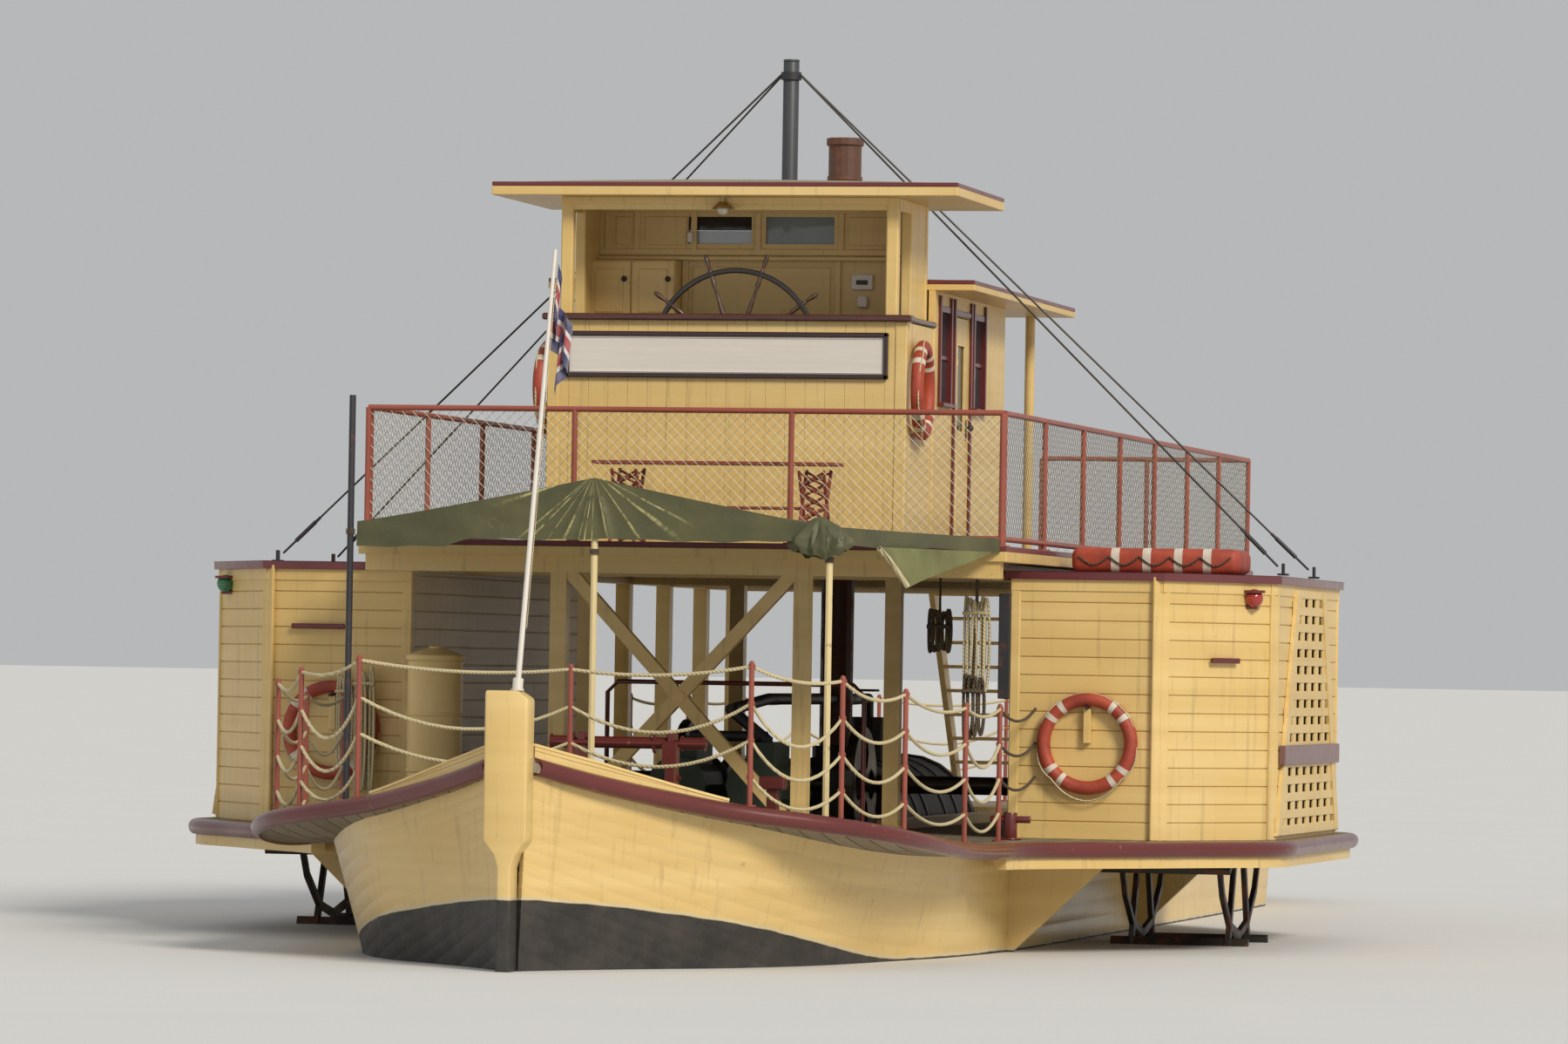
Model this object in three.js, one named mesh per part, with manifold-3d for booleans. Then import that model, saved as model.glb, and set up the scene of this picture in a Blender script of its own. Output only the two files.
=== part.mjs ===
// Side-wheel river paddle steamer, lying at rest on its flat bottom.
// Millimetres, +Z up, bow toward -Y, port side toward +X, origin at the centre of the flat bottom.
import * as THREE from 'three';
import Module from 'manifold-3d';
import { mergeVertices } from 'three/addons/utils/BufferGeometryUtils.js';

const wasm = await Module();
wasm.setup();

// Driving dimensions
const SEAT = 0.3; // gap between two pieces that touch
const RUN = 5; // running clearance of moving pieces
const BOW_Y = -11000;
const WATERLINE_Z = 750;
const DECK_Z = 1590;
const DECK_THICKNESS = 100;
const STEM_BACK_Y = -10800;
const SHEER_RISE = 600; // at the back of the stem
const SHEER_START_Y = -6600;
const SHEER_CURVE = 2.5; // power of the run forward
const HALF_BEAM = 2350;
const STEM_HALF_WIDTH = 150;
const STEM_TOP_Z = 2640;
const STRAKE_RADIUS = 60;
const STRAKE_DROP = 60; // strake's centre below the deck's top
const WELL = { halfWidth: 1050, front: -3700, back: 2700, floor: 550 };

const SHAFT_Y = -2350;
const SHAFT_Z = 1930;
const SHAFT_RADIUS = 70;
const SHAFT_HALF_LENGTH = 4020;
const WHEEL_RADIUS = 1550;
const FLOAT_INNER_X = 2710;
const FLOAT_OUTER_X = 3780;
const FLOAT_COUNT = 8;
const FLOAT_DEPTH = 330;
const HOOP_RADIUS = 1080;
const WHEEL_WELL = { inner: 2420, outer: 3950, halfLength: 1600 };
const SPUR_X = -750;
const SPUR_RADIUS = 480;
const PINION_RADIUS = 120;
const CRANK_Y = SHAFT_Y - SPUR_RADIUS - PINION_RADIUS - RUN - 1;
const FLYWHEEL_X = 750;
const FLYWHEEL_RADIUS = 450;

const BOX = { inner: 2300, shoulder: 3440, outer: 4130, front: -5000, chamfer: -3950, top: 3580, wall: 40 };
const UPPER = { halfWidth: 2450, front: -6000, back: 5600, top: 3730, thickness: 110 };
const FRAME_TOP_Z = UPPER.top - UPPER.thickness - SEAT;
const FRAME_DEPTH = 120;
const RAIL_HEIGHT = 1000;
const PIPE = 21;

const CABIN_FLOOR_Z = UPPER.top + SEAT;
const WHEELHOUSE = {
  halfWidth: 1375, front: -4550, back: -3430, sill: 5485, head: 6290, top: 6370, wall: 60, sideWindowBack: -4030,
};
const DECKHOUSE = { halfWidth: 1375, front: -3430, back: -550, top: 5730, wall: 50 };
const STEERING = { y: -4265, z: 5200, rim: 630, handle: 790, spokes: 10 };
const PLATFORM_Z = 4350;
const MAST = { y: -2440, radius: 62, top: 7580 };
const FUNNEL = { y: -370, radius: 135, top: 7110, foot: 2200 };
const BOILER = { z: 1500, radius: 600, front: -900, back: 2400 };
const RUDDER = { y: 10010, stock: 45, back: 10860, top: 1350, bottom: 100 };

const SIDES = [['port', 1], ['starboard', -1]];

// Deck edge and hull, from bow to stern: y, half-width of the deck, then of the hull at its top,
// at the waterline and at its flat bottom
const STATIONS = [
  [STEM_BACK_Y + SEAT, 151, 110, 60, 40],
  [-10450, 520, 440, 290, 160],
  [-10080, 950, 830, 580, 370],
  [-9790, 1290, 1110, 830, 570],
  [-9500, 1760, 1400, 1120, 810],
  [-9100, 2200, 1640, 1380, 1040],
  [-8600, 2410, 1840, 1620, 1280],
  [-8000, 2500, 2030, 1800, 1500],
  [-7000, 2570, 2240, 2050, 1800],
  [SHEER_START_Y, 2600, 2290, 2150, 1900],
  [-5150, 3550, 2350, 2320, 2060],
  [-4000, 4250, 2350, 2350, 2080],
  [-700, 4250, 2350, 2350, 2080],
  [450, 3550, 2350, 2350, 2080],
  [1900, 2600, 2350, 2350, 2080],
  [7500, 2500, 2350, 2300, 1950],
  [8775, 2380, 2050, 1750, 1050],
  [9460, 2170, 1500, 1100, 450],
  [9950, 1850, 500, 160, 90],
  [10395, 1420, 0, 0, 0],
  [10735, 850, 0, 0, 0],
  [10940, 300, 0, 0, 0],
];
const SPONSON_FIRST = STATIONS.findIndex((row) => row[0] === SHEER_START_Y);
const SPONSON_LAST = STATIONS.findIndex((row) => row[0] === 1900);

// A closed geometry as a solid, and a solid as a named mesh of the boat
function solid(geometry) {
  geometry.deleteAttribute('normal');
  geometry.deleteAttribute('uv');
  const merged = mergeVertices(geometry, 1e-3);
  return new wasm.Manifold(new wasm.Mesh({
    numProp: 3,
    vertProperties: new Float32Array(merged.attributes.position.array),
    triVerts: new Uint32Array(merged.index.array),
  }));
}

function join(...pieces) {
  return pieces.flat().reduce((whole, piece) => whole.add(piece));
}

function cut(whole, ...pieces) {
  return pieces.flat().reduce((rest, piece) => rest.subtract(piece), whole);
}

// A rectangular block from two opposite corners
function block([x0, x1], [y0, y1], [z0, z1]) {
  const geometry = new THREE.BoxGeometry(Math.abs(x1 - x0), Math.abs(y1 - y0), Math.abs(z1 - z0));
  geometry.translate((x0 + x1) / 2, (y0 + y1) / 2, (z0 + z1) / 2);
  return solid(geometry);
}

// A round bar between two points; turn rotates its flats by a part of one side
function rod(from, to, radius, sides = 8, turn = 0) {
  const start = new THREE.Vector3(...from);
  const along = new THREE.Vector3(...to).sub(start);
  const length = along.length();
  const geometry = new THREE.CylinderGeometry(radius, radius, length, sides, 1, false, turn * 2 * Math.PI / sides);
  geometry.translate(0, length / 2, 0);
  const up = new THREE.Vector3(0, 1, 0);
  geometry.applyQuaternion(new THREE.Quaternion().setFromUnitVectors(up, along.normalize()));
  geometry.translate(start.x, start.y, start.z);
  return solid(geometry);
}

// A journal and the hole it turns in, both many-sided, with the seat's gap between them
const JOURNAL_SIDES = 16;
function journal(from, to, radius) {
  return rod(from, to, radius, JOURNAL_SIDES);
}
function bore(from, to, radius) {
  return rod(from, to, (radius + SEAT) / Math.cos(Math.PI / JOURNAL_SIDES), JOURNAL_SIDES, 0.5);
}

// A prism: an outline of [u, v] points, across x (u = y, v = z), y (u = x, v = z) or z (u = x, v = y)
const PRISM_AXES = {
  x: [[0, 1, 0], [0, 0, 1], [1, 0, 0]],
  y: [[1, 0, 0], [0, 0, 1], [0, -1, 0]],
  z: [[1, 0, 0], [0, 1, 0], [0, 0, 1]],
};
function prism(axis, outline, from, to, holes = []) {
  const turnedLeft = (points) => {
    const corners = points.map(([u, v]) => new THREE.Vector2(u, v));
    return THREE.ShapeUtils.isClockWise(corners) ? corners.reverse() : corners;
  };
  const shape = new THREE.Shape(turnedLeft(outline));
  for (const hole of holes) shape.holes.push(new THREE.Path(turnedLeft(hole)));
  const low = Math.min(from, to);
  const high = Math.max(from, to);
  const geometry = new THREE.ExtrudeGeometry(shape, { depth: high - low, bevelEnabled: false });
  const [u, v, w] = PRISM_AXES[axis].map((direction) => new THREE.Vector3(...direction));
  geometry.applyMatrix4(new THREE.Matrix4().makeBasis(u, v, w));
  const start = axis === 'y' ? high : low;
  geometry.translate(axis === 'x' ? start : 0, axis === 'y' ? start : 0, axis === 'z' ? start : 0);
  return solid(geometry);
}

// A closed skin over a row of convex loops with equal numbers of points
function loft(loops) {
  const count = loops[0].length;
  const points = loops.flat();
  const faces = [];
  for (let row = 0; row + 1 < loops.length; row += 1) {
    for (let column = 0; column < count; column += 1) {
      const a = row * count + column;
      const b = row * count + (column + 1) % count;
      faces.push([a, b, b + count], [a, b + count, a + count]);
    }
  }
  const last = points.length - count;
  for (let column = 1; column + 1 < count; column += 1) {
    faces.push([0, column + 1, column], [last, last + column, last + column + 1]);
  }
  const corner = (index) => new THREE.Vector3(...points[index]);
  const volume = faces.reduce((sum, [a, b, c]) => sum + corner(a).dot(corner(b).cross(corner(c))), 0);
  const order = volume > 0 ? faces : faces.map(([a, b, c]) => [a, c, b]);
  const geometry = new THREE.BufferGeometry();
  geometry.setAttribute('position', new THREE.Float32BufferAttribute(points.flat(), 3));
  geometry.setIndex(order.flat());
  return solid(geometry);
}

// A solid of revolution about a vertical axis, from a profile of [radius, z] points
function turned(profile, x, y, z, sides = 16) {
  const geometry = new THREE.LatheGeometry(profile.map(([r, h]) => new THREE.Vector2(r, h)), sides);
  geometry.rotateX(Math.PI / 2);
  geometry.translate(x, y, z);
  return solid(geometry);
}

const boat = new THREE.Group();
function piece(name, shape, colour, roughness = 0.6, metalness = 0) {
  const { vertProperties, triVerts } = shape.getMesh();
  const geometry = new THREE.BufferGeometry();
  geometry.setAttribute('position', new THREE.BufferAttribute(vertProperties, 3));
  geometry.setIndex(new THREE.BufferAttribute(triVerts, 1));
  const mesh = new THREE.Mesh(geometry, new THREE.MeshStandardMaterial({ color: colour, roughness, metalness }));
  mesh.name = name;
  boat.add(mesh);
}

const CREAM = '#e6c884';
const MAROON = '#7a2c2c';
const RED_OXIDE = '#8a4a3c';
const BLACK = '#2c2a28';
const STEEL = '#6a6a68';
const DECK_GREY = '#8c7f6c';
const ORANGE = '#c4502e';

// Height of the deck's top: level amidships, then straight lengths that rise toward the bow
function sheer(y) {
  const height = (at) => {
    const run = Math.max(0, (SHEER_START_Y - at) / (SHEER_START_Y - STEM_BACK_Y));
    return DECK_Z + SHEER_RISE * run ** SHEER_CURVE;
  };
  const next = STATIONS.findIndex((row) => row[0] >= y);
  if (next <= 0) return height(STATIONS[0][0]);
  const [y0] = STATIONS[next - 1];
  const [y1] = STATIONS[next];
  return height(y0) + (height(y1) - height(y0)) * (y - y0) / (y1 - y0);
}

// Half-width of the deck at a place along the boat
function deckEdge(y) {
  const next = STATIONS.findIndex((row) => row[0] >= y);
  const [y0, w0] = STATIONS[Math.max(0, next - 1)];
  const [y1, w1] = STATIONS[Math.max(1, next)];
  return w0 + (w1 - w0) * (y - y0) / (y1 - y0);
}

// Outward miter of a path of [x, y] points at one of them; ends of an open path use their one side
function miter(path, index, closed) {
  const at = (i) => new THREE.Vector2(...path[(i + path.length) % path.length].slice(0, 2));
  const normal = (a, b) => {
    const along = b.clone().sub(a).normalize();
    return new THREE.Vector2(along.y, -along.x);
  };
  const before = closed || index > 0 ? normal(at(index - 1), at(index)) : null;
  const after = closed || index < path.length - 1 ? normal(at(index), at(index + 1)) : null;
  const sum = (before ?? after).clone().add(after ?? before);
  return sum.multiplyScalar(2 / sum.lengthSq());
}

function offset(path, distance) {
  return path.map(([x, y], index) => {
    const out = miter(path, index, true);
    return [x + out.x * distance, y + out.y * distance];
  });
}

// A moulding along the deck's edge: a section of [outward, up] points swept along a path
function edgeMoulding(path, section, endsAcross) {
  const loops = path.map(([x, y], index) => {
    const out = miter(path, index, false);
    const end = index === 0 || index === path.length - 1;
    if (end && endsAcross) out.set(0, -1 / Math.abs(out.y));
    return section.map(([across, up]) => [x + out.x * across, y + out.y * across, sheer(y) + up]);
  });
  return loft(loops);
}

// Hull: solid under its deck, with the open machinery well and the knees under the sponsons
function hull() {
  const rows = STATIONS.filter((row) => row[2] > 0);
  const loops = rows.map(([y, , top, water, bottom]) => {
    const half = [
      [bottom, 0],
      [bottom + 0.72 * (water - bottom), 120],
      [water, 420],
      [water, WATERLINE_Z],
      [top, sheer(y) - DECK_THICKNESS - SEAT],
    ];
    const starboard = half.map(([x, z]) => [-x, y, z]).reverse();
    return [...half.map(([x, z]) => [x, y, z]), ...starboard];
  });
  const { halfWidth, front, back, floor } = WELL;
  const well = block([-halfWidth, halfWidth], [front, back], [floor, DECK_Z]);
  const knees = SIDES.flatMap(([, side]) => [BOX.front - 120, 2 * SHAFT_Y - BOX.front + 40].map((y) => prism('y', [
    [side * 2200, WATERLINE_Z],
    [side * (HALF_BEAM + 20), WATERLINE_Z],
    [side * 3050, DECK_Z - 195 - SEAT],
    [side * 2200, DECK_Z - 195 - SEAT],
  ], y, y + 80)));
  const heel = block([-60, 60], [9790, RUDDER.y + 110], [0, 80]);
  return join(cut(loft(loops), well), ...knees, heel);
}

// Stem post with the raised boards of the bow on both sides of it
function stemPost() {
  const post = loft([
    [0, 50], [1450, 50], [1630, STEM_HALF_WIDTH], [STEM_TOP_Z - 60, STEM_HALF_WIDTH],
    [STEM_TOP_Z, STEM_HALF_WIDTH - 50],
  ].map(([z, half]) => {
    const bevel = z === STEM_TOP_Z ? 50 : 0;
    return [
      [-half, BOW_Y + bevel, z], [half, BOW_Y + bevel, z],
      [half, STEM_BACK_Y - bevel, z], [-half, STEM_BACK_Y - bevel, z],
    ];
  }));
  const boardThickness = 60;
  const boardTop = [
    [STEM_BACK_Y - 40, 2300], [STEM_BACK_Y + SEAT, 2295], [-10450, 2170], [-10080, 2024], [-9800, 1925],
  ];
  const boards = SIDES.map(([, side]) => loft(boardTop.map(([y, top]) => {
    const outer = deckEdge(Math.max(y, STEM_BACK_Y + SEAT));
    const foot = sheer(y) + SEAT;
    return [
      [side * outer, y, foot], [side * outer, y, top],
      [side * (outer - boardThickness), y, top], [side * (outer - boardThickness), y, foot],
    ];
  })));
  return join(post, ...boards);
}

// Main deck with its sponson beams, edge timbers, wheel wells and two bollards
function mainDeck() {
  const slab = loft(STATIONS.map(([y, edge]) => {
    const top = sheer(y);
    return [[-edge, y, top - DECK_THICKNESS], [edge, y, top - DECK_THICKNESS], [edge, y, top], [-edge, y, top]];
  }));
  const beamDrop = 195;
  const low = DECK_Z - beamDrop;
  const high = DECK_Z - DECK_THICKNESS + 1;
  const pieces = SIDES.flatMap(([, side]) => {
    const rows = STATIONS.slice(SPONSON_FIRST, SPONSON_LAST + 1).map(([y, edge]) => [side * edge, y]);
    const path = side > 0 ? rows : rows.reverse();
    const timber = edgeMoulding(path, [
      [-100, -beamDrop], [0, -beamDrop], [0, 1 - DECK_THICKNESS], [-100, 1 - DECK_THICKNESS],
    ]);
    const beams = [-6000, -5120, -4200, -500, 340, 1250].map((y) => (
      block([side * (HALF_BEAM + SEAT), side * (deckEdge(y) - 60)], [y, y + 80], [low, high])
    ));
    const bollard = join(
      rod([side * 2350, -5620, DECK_Z - 5], [side * 2350, -5620, DECK_Z + 170], 50, 10),
      rod([side * 2350, -5620 - 150, DECK_Z + 120], [side * 2350, -5620 + 150, DECK_Z + 120], 26, 8),
    );
    return [timber, ...beams, bollard];
  });
  const wells = SIDES.map(([, side]) => block(
    [side * WHEEL_WELL.inner, side * WHEEL_WELL.outer],
    [SHAFT_Y - WHEEL_WELL.halfLength, SHAFT_Y + WHEEL_WELL.halfLength],
    [low - 10, DECK_Z + 10],
  ));
  const { halfWidth, front, back } = WELL;
  const hatch = block([-halfWidth, halfWidth], [front, back], [DECK_Z - 200, DECK_Z + 10]);
  const trunk = rod([0, RUDDER.y, DECK_Z - 200], [0, RUDDER.y, DECK_Z + 10], RUDDER.stock + 12, 16);
  return cut(join(slab, ...pieces), ...wells, hatch, trunk);
}

// Half-round guard strake round the whole deck, from one side of the stem to the other
function guardStrake() {
  const port = STATIONS.map(([y, edge]) => [edge, y]);
  const path = [...port, ...port.map(([x, y]) => [-x, y]).reverse()];
  const arc = [-90, -54, -18, 18, 54, 90].map((degrees) => {
    const angle = degrees * Math.PI / 180;
    return [SEAT + STRAKE_RADIUS * Math.cos(angle), STRAKE_RADIUS * Math.sin(angle) - STRAKE_DROP];
  });
  return edgeMoulding(path, arc, true);
}

piece('hull', hull(), CREAM);
piece('stem_post', stemPost(), CREAM);
piece('main_deck', mainDeck(), DECK_GREY, 0.85);
piece('guard_strake', guardStrake(), MAROON, 0.45);

// Paddle boxes: planked walls under a roof, with a trapezoid of small openings on the outer side
const GRILLE = { foot: 1650, head: 3450, footHalf: 1540, headHalf: 720, border: 30, thickness: 30, rows: 14, columns: 4 };
const GRILLE_BAND = [2150, 2300];

function grilleOutline(grow) {
  return [
    [SHAFT_Y - GRILLE.footHalf - grow, GRILLE.foot - grow],
    [SHAFT_Y + GRILLE.footHalf + grow, GRILLE.foot - grow],
    [SHAFT_Y + GRILLE.headHalf + grow, GRILLE.head + grow],
    [SHAFT_Y - GRILLE.headHalf - grow, GRILLE.head + grow],
  ];
}

function paddleBox(side) {
  const back = 2 * SHAFT_Y - BOX.front;
  const outline = [
    [BOX.inner, BOX.front], [BOX.shoulder, BOX.front], [BOX.outer, BOX.chamfer],
    [BOX.outer, 2 * SHAFT_Y - BOX.chamfer], [BOX.shoulder, back], [BOX.inner, back],
  ];
  const placed = (points) => points.map(([x, y]) => [side * x, y]);
  const roofFoot = BOX.top - 40;
  const walls = prism('z', placed(outline), DECK_Z + SEAT, roofFoot, [placed(offset(outline, -BOX.wall))]);
  const roof = prism('z', placed(offset(outline, 40)), roofFoot, BOX.top);
  const opening = prism('x', grilleOutline(-GRILLE.border), side * (BOX.outer - 100), side * (BOX.outer + 50));
  const shaftHole = rod(
    [side * (BOX.inner - 50), SHAFT_Y, SHAFT_Z], [side * (BOX.inner + 100), SHAFT_Y, SHAFT_Z], SHAFT_RADIUS + 20, 16,
  );
  return cut(join(walls, roof), opening, shaftHole);
}

function paddleBoxGrille(side) {
  const inner = side * (BOX.outer + SEAT);
  const outer = inner + side * GRILLE.thickness;
  const panel = prism('x', grilleOutline(GRILLE.border), inner, outer);
  const pitch = (GRILLE.head - GRILLE.foot) / GRILLE.rows;
  const openings = [];
  for (let row = 0; row < GRILLE.rows; row += 1) {
    const low = GRILLE.foot + row * pitch + pitch * 0.2;
    const high = low + pitch * 0.6;
    const clearsBand = high < GRILLE_BAND[0] || low > GRILLE_BAND[1];
    if (clearsBand) {
      const share = (high - GRILLE.foot) / (GRILLE.head - GRILLE.foot);
      const half = GRILLE.footHalf + (GRILLE.headHalf - GRILLE.footHalf) * share - 50;
      const step = 2 * half / GRILLE.columns;
      for (let column = 0; column < GRILLE.columns; column += 1) {
        const start = SHAFT_Y - half + column * step;
        openings.push(block([inner - 20 * side, outer + 20 * side], [start + 30, start + step - 30], [low, high]));
      }
    }
  }
  const bandHalf = GRILLE.footHalf - 130;
  const band = block([inner, outer + side * 25], [SHAFT_Y - bandHalf, SHAFT_Y + bandHalf], GRILLE_BAND);
  return join(cut(panel, ...openings), band);
}

// Outer bearing of the paddle shaft, on the deck strip outboard of the wheel
function shaftBearing(side) {
  const inner = side * (WHEEL_WELL.outer + 12);
  const outer = side * (BOX.outer - BOX.wall - 6);
  const foot = DECK_Z + SEAT;
  const pedestal = prism('x', [
    [SHAFT_Y - 260, foot], [SHAFT_Y + 260, foot], [SHAFT_Y + 260, foot + 50],
    [SHAFT_Y + 130, SHAFT_Z + 110], [SHAFT_Y - 130, SHAFT_Z + 110], [SHAFT_Y - 260, foot + 50],
  ], inner, outer);
  return cut(pedestal, bore([inner - side * 50, SHAFT_Y, SHAFT_Z], [outer + side * 50, SHAFT_Y, SHAFT_Z], SHAFT_RADIUS));
}

// Paddle wheel: two spoked frames on a tube hub, with a row of float boards bolted across them
function paddleWheel(side) {
  const hubRadius = 170;
  const hub = rod(
    [side * (FLOAT_INNER_X + 60), SHAFT_Y, SHAFT_Z], [side * (FLOAT_OUTER_X - 60), SHAFT_Y, SHAFT_Z], hubRadius, 12,
  );
  const frames = [FLOAT_INNER_X + 140, FLOAT_OUTER_X - 180].map((x) => {
    const span = [side * x, side * (x + 40)];
    const hoop = cut(
      rod([span[0], SHAFT_Y, SHAFT_Z], [span[1], SHAFT_Y, SHAFT_Z], HOOP_RADIUS + 60, 2 * FLOAT_COUNT),
      rod([span[0] - side * 90, SHAFT_Y, SHAFT_Z], [span[1] + side * 90, SHAFT_Y, SHAFT_Z], HOOP_RADIUS, 2 * FLOAT_COUNT),
    );
    const arms = [];
    for (let index = 0; index < FLOAT_COUNT; index += 1) {
      arms.push(radial(index, [span[0], span[1]], [hubRadius - 20, WHEEL_RADIUS - 60], 35));
    }
    return [hoop, ...arms];
  });
  const floats = [];
  for (let index = 0; index < FLOAT_COUNT; index += 1) {
    const span = [side * FLOAT_INNER_X, side * FLOAT_OUTER_X];
    floats.push(radial(index, span, [WHEEL_RADIUS - FLOAT_DEPTH, WHEEL_RADIUS - 4], 22));
  }
  const keyHole = [side * (FLOAT_INNER_X - 50), side * (FLOAT_OUTER_X + 50)];
  return cut(
    join(hub, ...frames.flat(), ...floats),
    rod([keyHole[0], SHAFT_Y, SHAFT_Z], [keyHole[1], SHAFT_Y, SHAFT_Z], SHAFT_RADIUS + SEAT, JOURNAL_SIDES),
  );
}

// A bar that stands out from the paddle shaft at one of the float angles
function radial(index, [x0, x1], [r0, r1], halfThickness) {
  const geometry = new THREE.BoxGeometry(Math.abs(x1 - x0), 2 * halfThickness, r1 - r0);
  geometry.translate((x0 + x1) / 2, 0, (r0 + r1) / 2);
  geometry.rotateX((index + 0.5) * 2 * Math.PI / FLOAT_COUNT);
  geometry.translate(0, SHAFT_Y, SHAFT_Z);
  return solid(geometry);
}

for (const [name, side] of SIDES) {
  piece(`paddle_box_${name}`, paddleBox(side), CREAM);
  piece(`paddle_box_grille_${name}`, paddleBoxGrille(side), CREAM);
  piece(`shaft_bearing_${name}`, shaftBearing(side), BLACK, 0.6, 0.5);
  piece(`paddle_wheel_${name}`, paddleWheel(side), BLACK, 0.8);
}

// Paddle shaft with its spur wheel
function paddleShaft() {
  const shaft = journal([-SHAFT_HALF_LENGTH, SHAFT_Y, SHAFT_Z], [SHAFT_HALF_LENGTH, SHAFT_Y, SHAFT_Z], SHAFT_RADIUS);
  const spur = rod([SPUR_X - 40, SHAFT_Y, SHAFT_Z], [SPUR_X + 40, SHAFT_Y, SHAFT_Z], SPUR_RADIUS, 32);
  return join(shaft, spur);
}

// Crankshaft with flywheel, pinion and two crank discs
const CRANK_RADIUS = 45;
function flywheel() {
  const disc = (x, half, radius, sides) => rod([x - half, CRANK_Y, SHAFT_Z], [x + half, CRANK_Y, SHAFT_Z], radius, sides);
  const windows = [0, 1, 2, 3].map((index) => {
    const angle = index * Math.PI / 2;
    const y = CRANK_Y + 230 * Math.cos(angle);
    const z = SHAFT_Z + 230 * Math.sin(angle);
    return rod([FLYWHEEL_X - 80, y, z], [FLYWHEEL_X + 80, y, z], 120, 8);
  });
  return join(
    journal([-830, CRANK_Y, SHAFT_Z], [830, CRANK_Y, SHAFT_Z], CRANK_RADIUS),
    cut(disc(FLYWHEEL_X, 40, FLYWHEEL_RADIUS, 24), ...windows),
    disc(SPUR_X, 45, PINION_RADIUS, 16),
    disc(-300, 35, 180, 12),
    disc(300, 35, 180, 12),
  );
}

// Engine: bed on the well's floor and the deck, two cylinders forward, bearings for both shafts
function engine() {
  const foot = DECK_Z + SEAT;
  const bedTop = 1700;
  const bed = join(
    block([-620, 620], [WELL.front + 60, -1700], [WELL.floor + SEAT, bedTop]),
    block([-620, 620], [-4700, -3500], [foot, bedTop]),
  );
  const pedestals = [-540, 540].flatMap((x) => [[SHAFT_Y, SHAFT_RADIUS], [CRANK_Y, CRANK_RADIUS]].map(([y, radius]) => (
    block([x - 60, x + 60], [y - 110, y + 110], [bedTop - 10, SHAFT_Z + radius + 60])
  )));
  const cylinders = [-300, 300].flatMap((x) => [
    rod([x, -4660, SHAFT_Z], [x, -3800, SHAFT_Z], 195, 12),
    rod([x, -4690, SHAFT_Z], [x, -4640, SHAFT_Z], 225, 12),
    rod([x, -3860, SHAFT_Z], [x, -3800, SHAFT_Z], 225, 12),
    block([x - 130, x + 130], [-4640, -3820], [bedTop - 10, SHAFT_Z]),
    block([x - 110, x + 110], [-4500, -3960], [SHAFT_Z + 150, SHAFT_Z + 330]),
    block([x - 40, x + 40], [-3820, -3200], [SHAFT_Z - 90, SHAFT_Z - 50]),
    block([x - 40, x + 40], [-3240, -3200], [bedTop - 10, SHAFT_Z - 50]),
  ]);
  const holes = [[SHAFT_Y, SHAFT_RADIUS], [CRANK_Y, CRANK_RADIUS]].map(([y, radius]) => (
    bore([-700, y, SHAFT_Z], [700, y, SHAFT_Z], radius)
  ));
  return cut(join(bed, ...pedestals, ...cylinders), ...holes);
}

// Boiler on two saddles, with its smokebox forward, a steam dome and the funnel's seat
function boiler() {
  const { z, radius, front, back } = BOILER;
  const saddles = [-700, 1700].map((y) => block([-450, 450], [y - 90, y + 90], [WELL.floor + SEAT, z - 200]));
  return join(
    rod([0, front, z], [0, back, z], radius, 24),
    rod([0, front - 60, z], [0, front + 750, z], radius + 20, 24),
    rod([0, back - 60, z], [0, back + 60, z], radius + 20, 24),
    rod([0, 900, z], [0, 900, z + radius + 330], 190, 16),
    rod([0, FUNNEL.y, z], [0, FUNNEL.y, FUNNEL.foot], FUNNEL.radius + 55, 16),
    ...saddles,
  );
}

// Funnel: a long thin pipe from the smokebox through both decks' roofs, open at its top
function funnel() {
  const foot = FUNNEL.foot + SEAT;
  const tube = rod([0, FUNNEL.y, foot], [0, FUNNEL.y, FUNNEL.top], FUNNEL.radius, 16);
  const rim = rod([0, FUNNEL.y, FUNNEL.top - 60], [0, FUNNEL.y, FUNNEL.top], FUNNEL.radius + 18, 16);
  const mouth = rod([0, FUNNEL.y, FUNNEL.top - 900], [0, FUNNEL.y, FUNNEL.top + 10], FUNNEL.radius - 18, 16);
  return cut(join(tube, rim), mouth);
}

piece('paddle_shaft', paddleShaft(), BLACK, 0.5, 0.7);
piece('flywheel', flywheel(), BLACK, 0.5, 0.7);
piece('engine', engine(), '#3c4038', 0.5, 0.4);
piece('boiler', boiler(), '#3a3836', 0.7, 0.3);
piece('funnel', funnel(), '#5a3c2e', 0.7, 0.3);

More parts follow.
